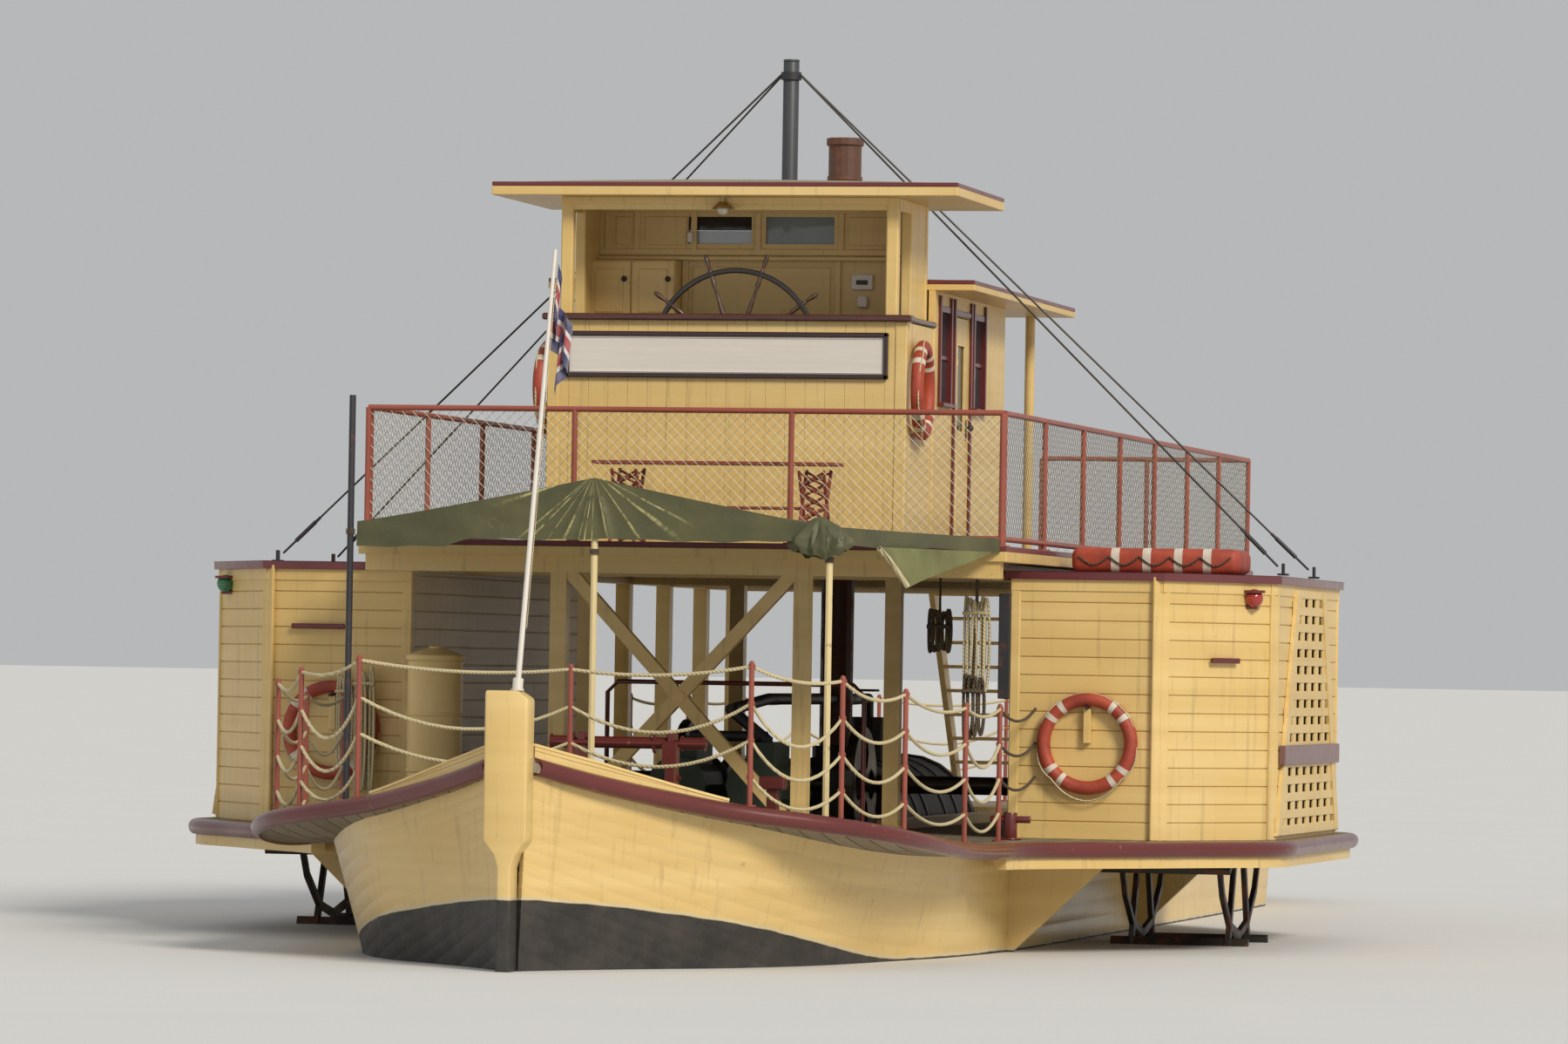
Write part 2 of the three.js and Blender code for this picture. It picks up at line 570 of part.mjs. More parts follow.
// Timber frame that carries the upper deck: crossed front braces, beams, stringers and posts
const FRAME_FRONT_Y = UPPER.front + 30;
function upperDeckFrame() {
  const beamFoot = FRAME_TOP_Z - FRAME_DEPTH;
  const post = (x, y) => block([x - 60, x + 60], [y, y + 120], [DECK_Z + SEAT, FRAME_TOP_Z - 10]);
  const stringers = SIDES.map(([, side]) => (
    block([side * 2120, side * 2240], [FRAME_FRONT_Y, UPPER.back - 100], [beamFoot, FRAME_TOP_Z])
  ));
  const last = UPPER.back - 220;
  const beams = [[FRAME_FRONT_Y, 2400], [-4000, 2200], [1240, 2200], [2700, 2200], [4100, 2200], [last, 2200]].map(
    ([y, half]) => block([-half, half], [y, y + 120], [beamFoot, FRAME_TOP_Z]),
  );
  const posts = [
    [920, FRAME_FRONT_Y], [1200, -4000], [1200, 1240], [2180, 1240], [2180, 2700], [2180, 4100], [2180, last],
  ].flatMap(([x, y]) => [post(x, y), post(-x, y)]);
  const brace = (side) => prism('y', [
    [side * -920, beamFoot + 20], [side * -790, beamFoot + 20], [side * 920, DECK_Z + 90], [side * 790, DECK_Z + 90],
  ], FRAME_FRONT_Y + 10, FRAME_FRONT_Y + 90);
  return join(...stringers, ...beams, ...posts, brace(1), brace(-1));
}

// Upper deck, with its hole for the funnel
function upperDeck() {
  const foot = UPPER.top - UPPER.thickness;
  const slab = block([-UPPER.halfWidth, UPPER.halfWidth], [UPPER.front, UPPER.back], [foot, UPPER.top]);
  return cut(slab, rod([0, FUNNEL.y, foot - 10], [0, FUNNEL.y, UPPER.top + 10], FUNNEL.radius + 30, 16));
}

// Pipe rails of the upper deck: one across the front, one along each side with its aft return
const RAIL_LINE = UPPER.halfWidth - 50;
const RAIL_LEVELS = [80, RAIL_HEIGHT];
function railRun(corners, posts, levels) {
  const foot = UPPER.top + SEAT;
  const bars = corners.slice(1).flatMap((end, index) => levels.map((level) => (
    rod([...corners[index], UPPER.top + level - PIPE], [...end, UPPER.top + level - PIPE], PIPE, 4)
  )));
  const uprights = posts.map(([x, y]) => rod([x, y, foot], [x, y, UPPER.top + RAIL_HEIGHT - PIPE], PIPE, 4));
  return join(...bars, ...uprights);
}

function sideRail(side) {
  const x = side * RAIL_LINE;
  const front = UPPER.front + 120;
  const back = UPPER.back - 50;
  const stations = 8;
  const posts = Array.from({ length: stations }, (_, index) => [x, front + (back - front) * index / (stations - 1)]);
  const corners = [[x, front], [x, back], [side * 560, back]];
  return railRun(corners, [...posts, [side * 1500, back], [side * 560, back]], RAIL_LEVELS);
}

const frontRailY = UPPER.front + 50;
const frontRail = railRun(
  [[-RAIL_LINE, frontRailY], [RAIL_LINE, frontRailY]],
  [[-RAIL_LINE, frontRailY], [-820, frontRailY], [820, frontRailY], [RAIL_LINE, frontRailY]],
  RAIL_LEVELS,
);

// Stair from the aft main deck to the upper deck's aft edge
function companionStair() {
  const foot = DECK_Z + SEAT;
  const top = UPPER.top;
  const start = UPPER.back + 1400;
  const end = UPPER.back + SEAT;
  const slope = (top - foot) / (start - end);
  const stringers = [-1, 1].map((side) => prism('x', [
    [start, foot], [start + 160, foot], [end + 100, top], [end, top], [end, top - 240],
  ], side * 400, side * 450));
  const treads = Array.from({ length: 9 }, (_, index) => {
    const z = foot + (index + 1) * (top - foot) / 10;
    const y = start - (z - foot) / slope;
    return block([-410, 410], [y - 90, y + 130], [z - 30, z]);
  });
  return join(...stringers, ...treads);
}

piece('upper_deck_frame', upperDeckFrame(), CREAM);
piece('upper_deck', upperDeck(), DECK_GREY, 0.85);
piece('upper_rail_forward', frontRail, RED_OXIDE);
for (const [name, side] of SIDES) piece(`upper_rail_${name}`, sideRail(side), RED_OXIDE);
piece('companion_stair', companionStair(), CREAM);

// A hinged door of a cabin side: two barrels on a vertical pin outside the wall, opening outward.
// wall is the outer face of the cabin side, y the jamb on the hinge side
const DOOR = { thickness: 45, inset: 3, pin: 15, barrel: 12, barrelHeight: 80 };
const DECKHOUSE_DOOR = { y: -2640, width: 590, low: 3765, high: 5570 };

function hingeHeights({ low, high }) {
  return [low + 250, high - 330];
}

function door(side, wall, opening) {
  const { y, width, low, high } = opening;
  const outer = wall - DOOR.inset;
  const leaf = block(
    [side * (outer - DOOR.thickness), side * outer], [y + RUN, y + width - RUN], [low + RUN, high - RUN],
  );
  const glass = block(
    [side * (outer - DOOR.thickness - 9), side * (outer + 9)], [y + 130, y + width - 130], [low + 900, high - 200],
  );
  const hinges = hingeHeights(opening).flatMap((z) => [
    rod([side * (wall + DOOR.pin), y, z], [side * (wall + DOOR.pin), y, z + DOOR.barrelHeight], DOOR.barrel, 12),
    block([side * (wall + 1), side * (wall + 9)], [y, y + 70], [z, z + DOOR.barrelHeight]),
    block([side * (outer - 10), side * (wall + 9)], [y + 12, y + 70], [z, z + DOOR.barrelHeight]),
  ]);
  return join(cut(leaf, glass), ...hinges);
}

function hingeLugs(side, wall, opening) {
  return hingeHeights(opening).flatMap((z) => [
    block([side * (wall - 5), side * (wall + DOOR.pin + 9)], [opening.y - 50, opening.y], [z - 40, z - SEAT]),
    rod([side * (wall + DOOR.pin), opening.y, z - 40], [side * (wall + DOOR.pin), opening.y, z - SEAT], 9, 12),
  ]);
}

// A cabin side: a wall along y with its window and door openings cut through, each as [y, z] ranges
function cabinSide(side, { halfWidth, wall, top }, [y0, y1], openings, lugs) {
  const panel = block([side * (halfWidth - wall), side * halfWidth], [y0, y1], [CABIN_FLOOR_Z, top]);
  const cuts = openings.map(([across, up]) => (
    block([side * (halfWidth - wall - 30), side * (halfWidth + 30)], across, up)
  ));
  return join(cut(panel, ...cuts), ...lugs);
}

// A cabin end: a wall along x
function cabinEnd(half, [y0, y1], top, openings) {
  const panel = block([-half, half], [y0, y1], [CABIN_FLOOR_Z, top]);
  return cut(panel, ...openings.map(([across, up]) => block(across, [y0 - 30, y1 + 30], up)));
}

// A cabin roof with a slight camber, its edges standing out all round
function cabinRoof(half, foot, edge, [y0, y1], holes) {
  const low = foot + SEAT;
  const crown = 25;
  const slab = prism('y', [
    [-half, low], [half, low], [half, low + edge], [half * 0.5, low + edge + crown * 0.75], [0, low + edge + crown],
    [-half * 0.5, low + edge + crown * 0.75], [-half, low + edge],
  ], y0, y1);
  return cut(slab, ...holes.map(([y, radius]) => rod([0, y, foot - 50], [0, y, foot + 250], radius, 16)));
}

// Wheelhouse: open front above its sill, a window in each side, and in its rear two small lights and
// the low doorway from the deckhouse with two steps up to it
function wheelhouseFront() {
  const { halfWidth, front, wall, sill, head, top } = WHEELHOUSE;
  const panel = cabinEnd(halfWidth, [front, front + wall], top, [[[-halfWidth + 120, halfWidth - 120], [sill, head]]]);
  const sillMoulding = block([-halfWidth - 60, halfWidth + 60], [front - 60, front + 10], [sill - 50, sill]);
  const nameBoard = block([-1250, 1250], [front - 40, front + 10], [5000, 5350]);
  return join(panel, sillMoulding, nameBoard);
}

function wheelhouseRear() {
  const { halfWidth, back, wall, top } = WHEELHOUSE;
  const doorway = [-1150, -450];
  const panel = cabinEnd(halfWidth, [back - wall, back], top, [
    [[-490, -60], [6060, 6290]],
    [[50, 590], [6060, 6290]],
    [doorway, [PLATFORM_Z + 20, WHEELHOUSE.sill]],
  ]);
  const rise = (PLATFORM_Z - CABIN_FLOOR_Z) / 3;
  const steps = [1, 2].map((index) => (
    block(doorway, [back - 10, back + 600 - 250 * index], [CABIN_FLOOR_Z, CABIN_FLOOR_Z + index * rise])
  ));
  return join(panel, ...steps);
}

piece('wheelhouse_front', wheelhouseFront(), CREAM);
for (const [name, side] of SIDES) {
  const { front, back, wall, sill, head, sideWindowBack } = WHEELHOUSE;
  piece(`wheelhouse_${name}`, cabinSide(side, WHEELHOUSE, [front + wall + SEAT, back - wall - SEAT], [
    [[front + wall + 100, sideWindowBack], [sill, head]],
  ], []), CREAM);
}
piece('wheelhouse_rear', wheelhouseRear(), CREAM);
piece('wheelhouse_roof', cabinRoof(1800, WHEELHOUSE.top, 100, [-4750, -2900], []), CREAM);

// Steering platform across the wheelhouse on two bearers, with the stand of the steering wheel
const AXLE_RADIUS = 25;
const STAND = { y: -4130, halfWidth: 110, halfDepth: 60 };
function steeringPlatform() {
  const half = WHEELHOUSE.halfWidth - WHEELHOUSE.wall - SEAT;
  const front = WHEELHOUSE.front + WHEELHOUSE.wall + SEAT;
  const back = WHEELHOUSE.back - WHEELHOUSE.wall - SEAT;
  const bearers = [front, back - 60].map((y) => block([-half, half], [y, y + 60], [CABIN_FLOOR_Z, PLATFORM_Z - 10]));
  return cut(
    join(
      block([-half, half], [front, back], [PLATFORM_Z - 60, PLATFORM_Z]),
      ...bearers,
      block(
        [-STAND.halfWidth, STAND.halfWidth],
        [STAND.y - STAND.halfDepth, STAND.y + STAND.halfDepth],
        [PLATFORM_Z - 10, STEERING.z + 120],
      ),
    ),
    bore([0, STAND.y - 100, STEERING.z], [0, STAND.y + 100, STEERING.z], AXLE_RADIUS),
  );
}

// Steering wheel: rim, hub and turned spokes that run on as handles
function steeringWheel() {
  const { y, z, rim, handle, spokes } = STEERING;
  const ring = cut(
    rod([0, y - 25, z], [0, y + 25, z], rim + 25, 20),
    rod([0, y - 50, z], [0, y + 50, z], rim - 25, 20),
  );
  const bars = Array.from({ length: spokes }, (_, index) => {
    const angle = (index + 0.5) * 2 * Math.PI / spokes;
    return rod([0, y, z], [handle * Math.sin(angle), y, z + handle * Math.cos(angle)], 17, 4);
  });
  const hub = rod([0, y - 45, z], [0, y + 45, z], 110, 10);
  const axle = journal([0, y, z], [0, STAND.y + STAND.halfDepth + 20, z], AXLE_RADIUS);
  return join(ring, ...bars, hub, axle);
}

piece('steering_platform', steeringPlatform(), '#a88a5c', 0.8);
piece('steering_wheel', steeringWheel(), BLACK, 0.5);

// Deckhouse behind the wheelhouse: tall windows and a door in each side, a porch roof aft
for (const [name, side] of SIDES) {
  const opening = DECKHOUSE_DOOR;
  const { front, back } = DECKHOUSE;
  piece(`deckhouse_${name}`, cabinSide(side, DECKHOUSE, [front + SEAT, back], [
    [[-3250, -2842], [4880, 5580]],
    [[-1902, -1453], [4880, 5580]],
    [[opening.y, opening.y + opening.width], [opening.low, opening.high]],
  ], hingeLugs(side, DECKHOUSE.halfWidth, opening)), CREAM);
  piece(`deckhouse_door_${name}`, door(side, DECKHOUSE.halfWidth, opening), CREAM);
}
const deckhouseInner = DECKHOUSE.halfWidth - DECKHOUSE.wall - SEAT;
piece('deckhouse_aft', cabinEnd(deckhouseInner, [DECKHOUSE.back - DECKHOUSE.wall, DECKHOUSE.back], DECKHOUSE.top, [
  [[-900, -350], [4700, 5450]],
  [[350, 900], [4700, 5450]],
]), CREAM);

// Deckhouse roof with the two posts of its aft porch
const PORCH = { y: 780, x: 1330, back: 900 };
piece('deckhouse_roof', join(
  cabinRoof(1680, DECKHOUSE.top, 80, [DECKHOUSE.front + SEAT, PORCH.back], [
    [MAST.y, MAST.radius + 20], [FUNNEL.y, FUNNEL.radius + 30],
  ]),
  ...[-1, 1].map((side) => (
    rod([side * PORCH.x, PORCH.y, CABIN_FLOOR_Z], [side * PORCH.x, PORCH.y, DECKHOUSE.top + 10], 40, 8)
  )),
), CREAM);

// Mast stepped on the upper deck, and its four main stays down to plates on the paddle boxes
const STAY_FEET = [[4000, -2800], [4000, -1200]];
const STAY_TOP_Z = MAST.top - 120;
function mastStays() {
  const band = cut(
    rod([0, MAST.y, STAY_TOP_Z - 40], [0, MAST.y, STAY_TOP_Z + 40], MAST.radius + 30, 12),
    rod([0, MAST.y, STAY_TOP_Z - 60], [0, MAST.y, STAY_TOP_Z + 60], MAST.radius + SEAT, 12),
  );
  const foot = BOX.top + SEAT;
  const stays = SIDES.flatMap(([, side]) => STAY_FEET.flatMap(([x, y]) => [
    rod([side * (MAST.radius + 12), MAST.y + Math.sign(y - MAST.y) * 22, STAY_TOP_Z], [side * x, y, foot + 20], 11, 6),
    block([side * (x - 40), side * (x + 40)], [y - 40, y + 40], [foot, foot + 60]),
  ]));
  return join(band, ...stays);
}
piece('mast', rod([0, MAST.y, CABIN_FLOOR_Z], [0, MAST.y, MAST.top], MAST.radius, 12), '#3e4043');
piece('mast_stays', mastStays(), BLACK, 0.6, 0.5);

// Foredeck canopy: one sheet from the upper deck's front edge to three poles, highest at the middle one,
// with its hem hanging down along the front and both sides
const CANOPY = {
  front: -8640, back: UPPER.front - 10, frontHalf: 1720, backHalf: 2400, edge: 3810, backEdge: 3790, peak: 325,
  hem: 3670, backHem: 3690,
};
const SHEET = 16;
const HEM_THICKNESS = 8;
function canopyTop(across, along) {
  const edge = CANOPY.edge + (CANOPY.backEdge - CANOPY.edge) * along;
  return edge + CANOPY.peak * (1 - Math.abs(across)) ** 1.1 * (1 - along) ** 1.1;
}

function canopy() {
  const columns = [-1, -0.75, -0.5, -0.25, 0, 0.25, 0.5, 0.75, 1];
  const rows = [0, 0.2, 0.4, 0.6, 0.8, 1];
  const halfAt = (along) => CANOPY.frontHalf + (CANOPY.backHalf - CANOPY.frontHalf) * along;
  const yAt = (along) => CANOPY.front + (CANOPY.back - CANOPY.front) * along;
  const point = (across, along, drop) => [across * halfAt(along), yAt(along), canopyTop(across, along) - drop];
  const width = columns.length;
  const layer = (drop) => rows.flatMap((along) => columns.map((across) => point(across, along, drop)));
  const points = [...layer(0), ...layer(SHEET)];
  const under = width * rows.length;
  const faces = [];
  for (let row = 0; row + 1 < rows.length; row += 1) {
    for (let column = 0; column + 1 < width; column += 1) {
      const a = row * width + column;
      const d = a + width;
      faces.push([a, a + 1, d + 1], [a, d + 1, d]);
      faces.push([under + a, under + d + 1, under + a + 1], [under + a, under + d, under + d + 1]);
    }
  }
  const border = [
    ...columns.map((_, column) => column),
    ...rows.slice(1).map((_, row) => (row + 1) * width + width - 1),
    ...columns.slice(1).map((_, column) => under - 2 - column),
    ...rows.slice(1, -1).map((_, row) => (rows.length - 2 - row) * width),
  ];
  border.forEach((a, index) => {
    const b = border[(index + 1) % border.length];
    faces.push([a, under + a, under + b], [a, under + b, b]);
  });
  const geometry = new THREE.BufferGeometry();
  geometry.setAttribute('position', new THREE.Float32BufferAttribute(points.flat(), 3));
  geometry.setIndex(faces.flat());

  const arch = columns.map((across) => [across * CANOPY.frontHalf, canopyTop(across, 0) - 1]).reverse();
  const frontHem = prism(
    'y',
    [[-CANOPY.frontHalf, CANOPY.hem], [CANOPY.frontHalf, CANOPY.hem], ...arch],
    CANOPY.front,
    CANOPY.front + HEM_THICKNESS,
  );
  const sideHems = SIDES.map(([, side]) => loft([[0, CANOPY.hem], [1, CANOPY.backHem]].map(([along, low]) => {
    const [outer, inner] = [halfAt(along), halfAt(along) - HEM_THICKNESS].map((half) => side * half);
    const high = canopyTop(1, along) - 1;
    return [[outer, yAt(along), low], [outer, yAt(along), high], [inner, yAt(along), high], [inner, yAt(along), low]];
  })));
  return join(solid(geometry), frontHem, ...sideHems);
}

// Canopy poles: one under the peak and one under the port corner, their heads shaped to the sheet,
// and a taller one beside the starboard corner
const POLE_RADIUS = 24;
function pole(x, y, top) {
  return rod([x, y, sheer(y - POLE_RADIUS) + SEAT], [x, y, top], POLE_RADIUS, 8);
}
function poleUnderSheet(x, y) {
  const parts = cut(pole(x, y, CANOPY.edge + CANOPY.peak), canopy().translate([0, 0, -SEAT])).decompose();
  return parts.reduce((lowest, part) => (part.boundingBox().min[2] < lowest.boundingBox().min[2] ? part : lowest));
}
piece('foredeck_canopy', canopy(), '#4a5a36', 0.6);
piece('canopy_pole_centre', poleUnderSheet(0, CANOPY.front + 40), CREAM);
piece('canopy_pole_port', poleUnderSheet(CANOPY.frontHalf - 30, CANOPY.front + 40), CREAM);
piece('canopy_pole_starboard', pole(-CANOPY.frontHalf - 40, CANOPY.front - 30, 4700), BLACK);

// Rope rails: pipe stanchions with sagging ropes between them
const ROPE = 12;
const ROPE_SAG = 80;
const ROPE_LEVELS = [270, 500, 730, 960];
const STANCHION = 20;
const STANCHION_HEIGHT = 1000;
function ropeRail(places, levels) {
  const stanchions = places.map(([x, y]) => (
    rod([x, y, sheer(y - STANCHION) + SEAT], [x, y, sheer(y) + STANCHION_HEIGHT], STANCHION, 4)
  ));
  const path = places.flatMap(([x, y], index) => {
    if (index === 0) return [[x, y, 0]];
    const [x0, y0] = places[index - 1];
    return [[(x0 + x) / 2, (y0 + y) / 2, ROPE_SAG], [x, y, 0]];
  });
  const ropes = levels.map((level) => loft(path.map(([x, y, sag], index) => {
    const out = miter(path, index, false).multiplyScalar(ROPE);
    const z = sheer(y) + level - sag;
    return [[x + out.x, y + out.y, z], [x, y, z + ROPE], [x - out.x, y - out.y, z], [x, y, z - ROPE]];
  })));
  return join(...stanchions, ...ropes);
}

const FOREDECK_STANCHIONS = [[1392, -9690], [1936, -9240], [2266, -8680], [2435, -7360], [2470, -6250]];
const STERN_STANCHIONS = [[2450, 2700], [2410, 4700], [2370, 6700], [2250, 8565], [1750, 9790], [700, 10690]];
for (const [name, side] of SIDES) {
  const places = FOREDECK_STANCHIONS.map(([x, y]) => [side * x, y]);
  piece(`foredeck_rope_rail_${name}`, ropeRail(places, ROPE_LEVELS), RED_OXIDE);
}
piece('stern_rope_rail', ropeRail([
  ...STERN_STANCHIONS,
  ...STERN_STANCHIONS.map(([x, y]) => [-x, y]).reverse(),
], ROPE_LEVELS.slice(1)), RED_OXIDE);

// Windlass on the foredeck: two cheeks on a bed, with the barrel and its warping heads between them
const WINDLASS = { y: -7500, z: 2270, cheek: 330, radius: 24, barrel: 42, head: 45, reach: 240 };
function windlassFrame() {
  const foot = [WINDLASS.y - 160, WINDLASS.y + 160].map((y) => [y, sheer(y) + SEAT]);
  const cheeks = [-1, 1].map((side) => prism('x', [
    ...foot, [WINDLASS.y + 60, WINDLASS.z + 70], [WINDLASS.y - 60, WINDLASS.z + 70],
  ], side * (WINDLASS.cheek - 25), side * (WINDLASS.cheek + 25)));
  const bed = prism('x', [...foot, ...foot.map(([y, z]) => [y, z + 70]).reverse()], -WINDLASS.cheek, WINDLASS.cheek);
  const axis = [[-600, WINDLASS.y, WINDLASS.z], [600, WINDLASS.y, WINDLASS.z]];
  return cut(join(...cheeks, bed), bore(...axis, WINDLASS.radius));
}
function windlassBarrel() {
  const { y, z } = WINDLASS;
  const heads = [-1, 1].map((side) => rod(
    [side * (WINDLASS.cheek + 60), y, z], [side * (WINDLASS.cheek + WINDLASS.reach), y, z], WINDLASS.head, 14,
  ));
  const end = WINDLASS.cheek + WINDLASS.reach + 10;
  const half = WINDLASS.cheek - 40;
  const axle = journal([-end, y, z], [end, y, z], WINDLASS.radius);
  return join(axle, rod([-half, y, z], [half, y, z], WINDLASS.barrel, 14), ...heads);
}
piece('windlass_frame', windlassFrame(), MAROON, 0.5);
piece('windlass_barrel', windlassBarrel(), MAROON, 0.5);

// Upright drum with a cone lid, beside the starboard paddle box
piece('foredeck_drum', turned(
  [[0, 0], [210, 0], [210, 1250], [220, 1250], [220, 1280], [30, 1350], [0, 1350]],
  -1980, -5480, DECK_Z + SEAT, 16,
), CREAM);

// Lifebuoys: on the front of each paddle box and on each side of the wheelhouse
const BUOY = { ring: 328, tube: 52 };
function lifebuoy(x, y, z, sideways) {
  const geometry = new THREE.TorusGeometry(BUOY.ring, BUOY.tube, 8, 16);
  geometry.rotateX(Math.PI / 2);
  if (sideways) geometry.rotateZ(Math.PI / 2);
  geometry.translate(x, y, z);
  return solid(geometry);
}
for (const [name, side] of SIDES) {
  const clear = BUOY.tube + SEAT;
  piece(`box_lifebuoy_${name}`, lifebuoy(side * 2900, BOX.front - clear, 2300, false), ORANGE);
  piece(`wheelhouse_lifebuoy_${name}`, lifebuoy(side * (WHEELHOUSE.halfWidth + clear), -4180, 4935, true), ORANGE);
}

// Life float on the port paddle box
piece('life_float', cut(
  block([2560, 3840], [-3980, -3330], [BOX.top + SEAT, BOX.top + 190]),
  block([2760, 3640], [-3800, -3510], [BOX.top - 50, BOX.top + 250]),
), ORANGE);

// Flagstaff raked aft from the stem's head, with its flag hanging limp
const STAFF = { foot: [50, -10900, STEM_TOP_Z], head: [90, -10220, 5650], radius: 22 };
function flagstaff() {
  const base = [STAFF.foot[0], STAFF.foot[1], STEM_TOP_Z + SEAT];
  const staff = rod([base[0], base[1], base[2] + 10], STAFF.head, STAFF.radius, 8);
  return join(staff, rod(base, [base[0], base[1], base[2] + 80], 45, 10));
}
function flag() {
  const [, y0, z0] = STAFF.foot;
  const [, y1, z1] = STAFF.head;
  const staffAt = (z) => y0 + (y1 - y0) * (z - z0) / (z1 - z0);
  const [low, high] = [4640, 5560];
  const cloth = prism('x', [
    [staffAt(low), low], [staffAt(low) + 170, low], [staffAt(high) + 170, high], [staffAt(high), high],
  ], -25, 195);
  return cut(cloth, rod([...STAFF.foot.slice(0, 2), STEM_TOP_Z + SEAT + 10], STAFF.head, STAFF.radius + 2 * SEAT, 8));
}
piece('flagstaff', flagstaff(), '#d8d2c4');
piece('bow_flag', flag(), '#a04040', 0.9);

// Rudder: blade on a stock that passes up through the deck to its tiller
function rudder() {
  const { y, stock, back, top, bottom } = RUDDER;
  const post = rod([0, y, 80 + SEAT], [0, y, 2050], stock, 16);
  const blade = block([-30, 30], [y - 20, back], [bottom + 20, top]);
  const tiller = block([-35, 35], [y - 900, y + 60], [1960, 2020]);
  return join(post, blade, tiller);
}
piece('rudder', rudder(), CREAM);

export default boat;
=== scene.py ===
"""Looks of a side-wheel river paddle steamer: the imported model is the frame, this script dresses it.
Metres, +Z up, bow toward -Y, port side toward +X, waterline at z 0.75."""
import math
from contextlib import contextmanager

import bpy
import numpy as np
from mathutils import Matrix, Vector


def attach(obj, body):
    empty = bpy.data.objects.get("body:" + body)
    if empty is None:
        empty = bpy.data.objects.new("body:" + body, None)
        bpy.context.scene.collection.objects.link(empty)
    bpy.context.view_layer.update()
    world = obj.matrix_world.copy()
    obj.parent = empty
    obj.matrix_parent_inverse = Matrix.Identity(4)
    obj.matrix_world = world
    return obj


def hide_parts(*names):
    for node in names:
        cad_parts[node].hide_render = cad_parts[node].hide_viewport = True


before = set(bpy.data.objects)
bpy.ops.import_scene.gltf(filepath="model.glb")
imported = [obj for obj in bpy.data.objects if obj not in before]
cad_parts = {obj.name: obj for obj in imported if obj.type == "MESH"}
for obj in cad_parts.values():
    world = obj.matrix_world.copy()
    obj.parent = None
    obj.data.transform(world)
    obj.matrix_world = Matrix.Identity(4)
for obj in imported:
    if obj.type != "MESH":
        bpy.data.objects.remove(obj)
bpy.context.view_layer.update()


# Camera, light and floor
# The view is from the bank, 13 degrees off the bow toward port and 2.07 m above the water, through a
# long lens that fills the picture with the boat, held a degree off level. The light is a low warm sun
# through cloud, off the port bow. The floor lies at the waterline.
WATERLINE = 0.75
EYE = Vector((12.822, -60.539, 2.82))
SIGHTED = Vector((0.0, -5.0, 2.82))
AIM_RIGHT = math.radians(0.555)
AIM_UP = math.radians(1.10)
LENS = 174.8
CAMERA_ROLL = math.radians(0.95)
SUN_FROM_ZENITH = math.radians(56)
SUN_TO_PORT = math.radians(44)
SUN_SPREAD = math.radians(16)
WARM_SUN = (1.0, 0.93, 0.82)
OVERCAST = (0.86, 0.87, 0.88, 1)

bpy.ops.object.camera_add(location=EYE)
camera = bpy.context.object
heading = SIGHTED - EYE
heading.rotate(Matrix.Rotation(-AIM_RIGHT, 3, "Z"))
heading.z = heading.length * math.tan(AIM_UP)
level_view = heading.to_track_quat("-Z", "Y").to_matrix()
camera.rotation_euler = (level_view @ Matrix.Rotation(CAMERA_ROLL, 3, "Z")).to_euler()
camera.data.lens = LENS
camera.data.sensor_width = 36
camera.data.clip_end = 3000
bpy.context.scene.camera = camera

bpy.ops.object.light_add(type="SUN", rotation=(SUN_FROM_ZENITH, 0, SUN_TO_PORT))
sun = bpy.context.object.data
sun.energy = 2.4
sun.angle = SUN_SPREAD
sun.color = WARM_SUN

world = bpy.data.worlds.new("studio")
bpy.context.scene.world = world
world.use_nodes = True
world.node_tree.nodes["Background"].inputs["Color"].default_value = OVERCAST
world.node_tree.nodes["Background"].inputs["Strength"].default_value = 0.55
bpy.context.scene.view_settings.view_transform = "Standard"


def linear(colour):
    """An sRGB hex colour as the linear values that a shader takes."""
    parts = [int(colour[i:i + 2], 16) / 255 for i in (1, 3, 5)]
    return [p / 12.92 if p <= 0.04045 else ((p + 0.055) / 1.055) ** 2.4 for p in parts] + [1.0]


def connect(made, links):
    """Feeds a node's inputs, each with a value, a hex colour, an output, or a node for its first output."""
    for socket, value in links.items():
        if isinstance(value, bpy.types.Node):
            value = value.outputs[0]
        if isinstance(value, bpy.types.NodeSocket):
            made.id_data.links.new(value, made.inputs[socket])
        else:
            made.inputs[socket].default_value = linear(value) if isinstance(value, str) else value


def add_node(tree, kind, links=None, **settings):
    """One shader node of a kind, with its settings and what feeds its inputs."""
    made = tree.nodes.new("ShaderNode" + kind)
    for name, value in settings.items():
        setattr(made, name, value)
    connect(made, links or {})
    return made


def new_material(name):
    """An empty material with its Principled shader and the piece's own coordinates in metres."""
    made = bpy.data.materials.new(name)
    made.use_nodes = True
    tree = made.node_tree
    place = add_node(tree, "TexCoord").outputs["Object"]
    return made, tree, tree.nodes["Principled BSDF"], place


def studio_floor():
    """Pale matt studio paper: even colour, no gloss."""
    made, tree, shader, place = new_material("pale_studio_paper")
    grain = add_node(tree, "TexNoise", {"Vector": place, "Scale": 0.4, "Detail": 3})
    tint = add_node(tree, "MixRGB", {"Fac": grain, "Color1": "#D9DADA", "Color2": "#DFDFDD"})
    connect(shader, {"Base Color": tint, "Roughness": 0.85})
    return made


bpy.ops.mesh.primitive_plane_add(size=3000, location=(0, 0, WATERLINE))
floor = bpy.context.object
floor.name = "studio_floor"
floor.data.materials.append(studio_floor())


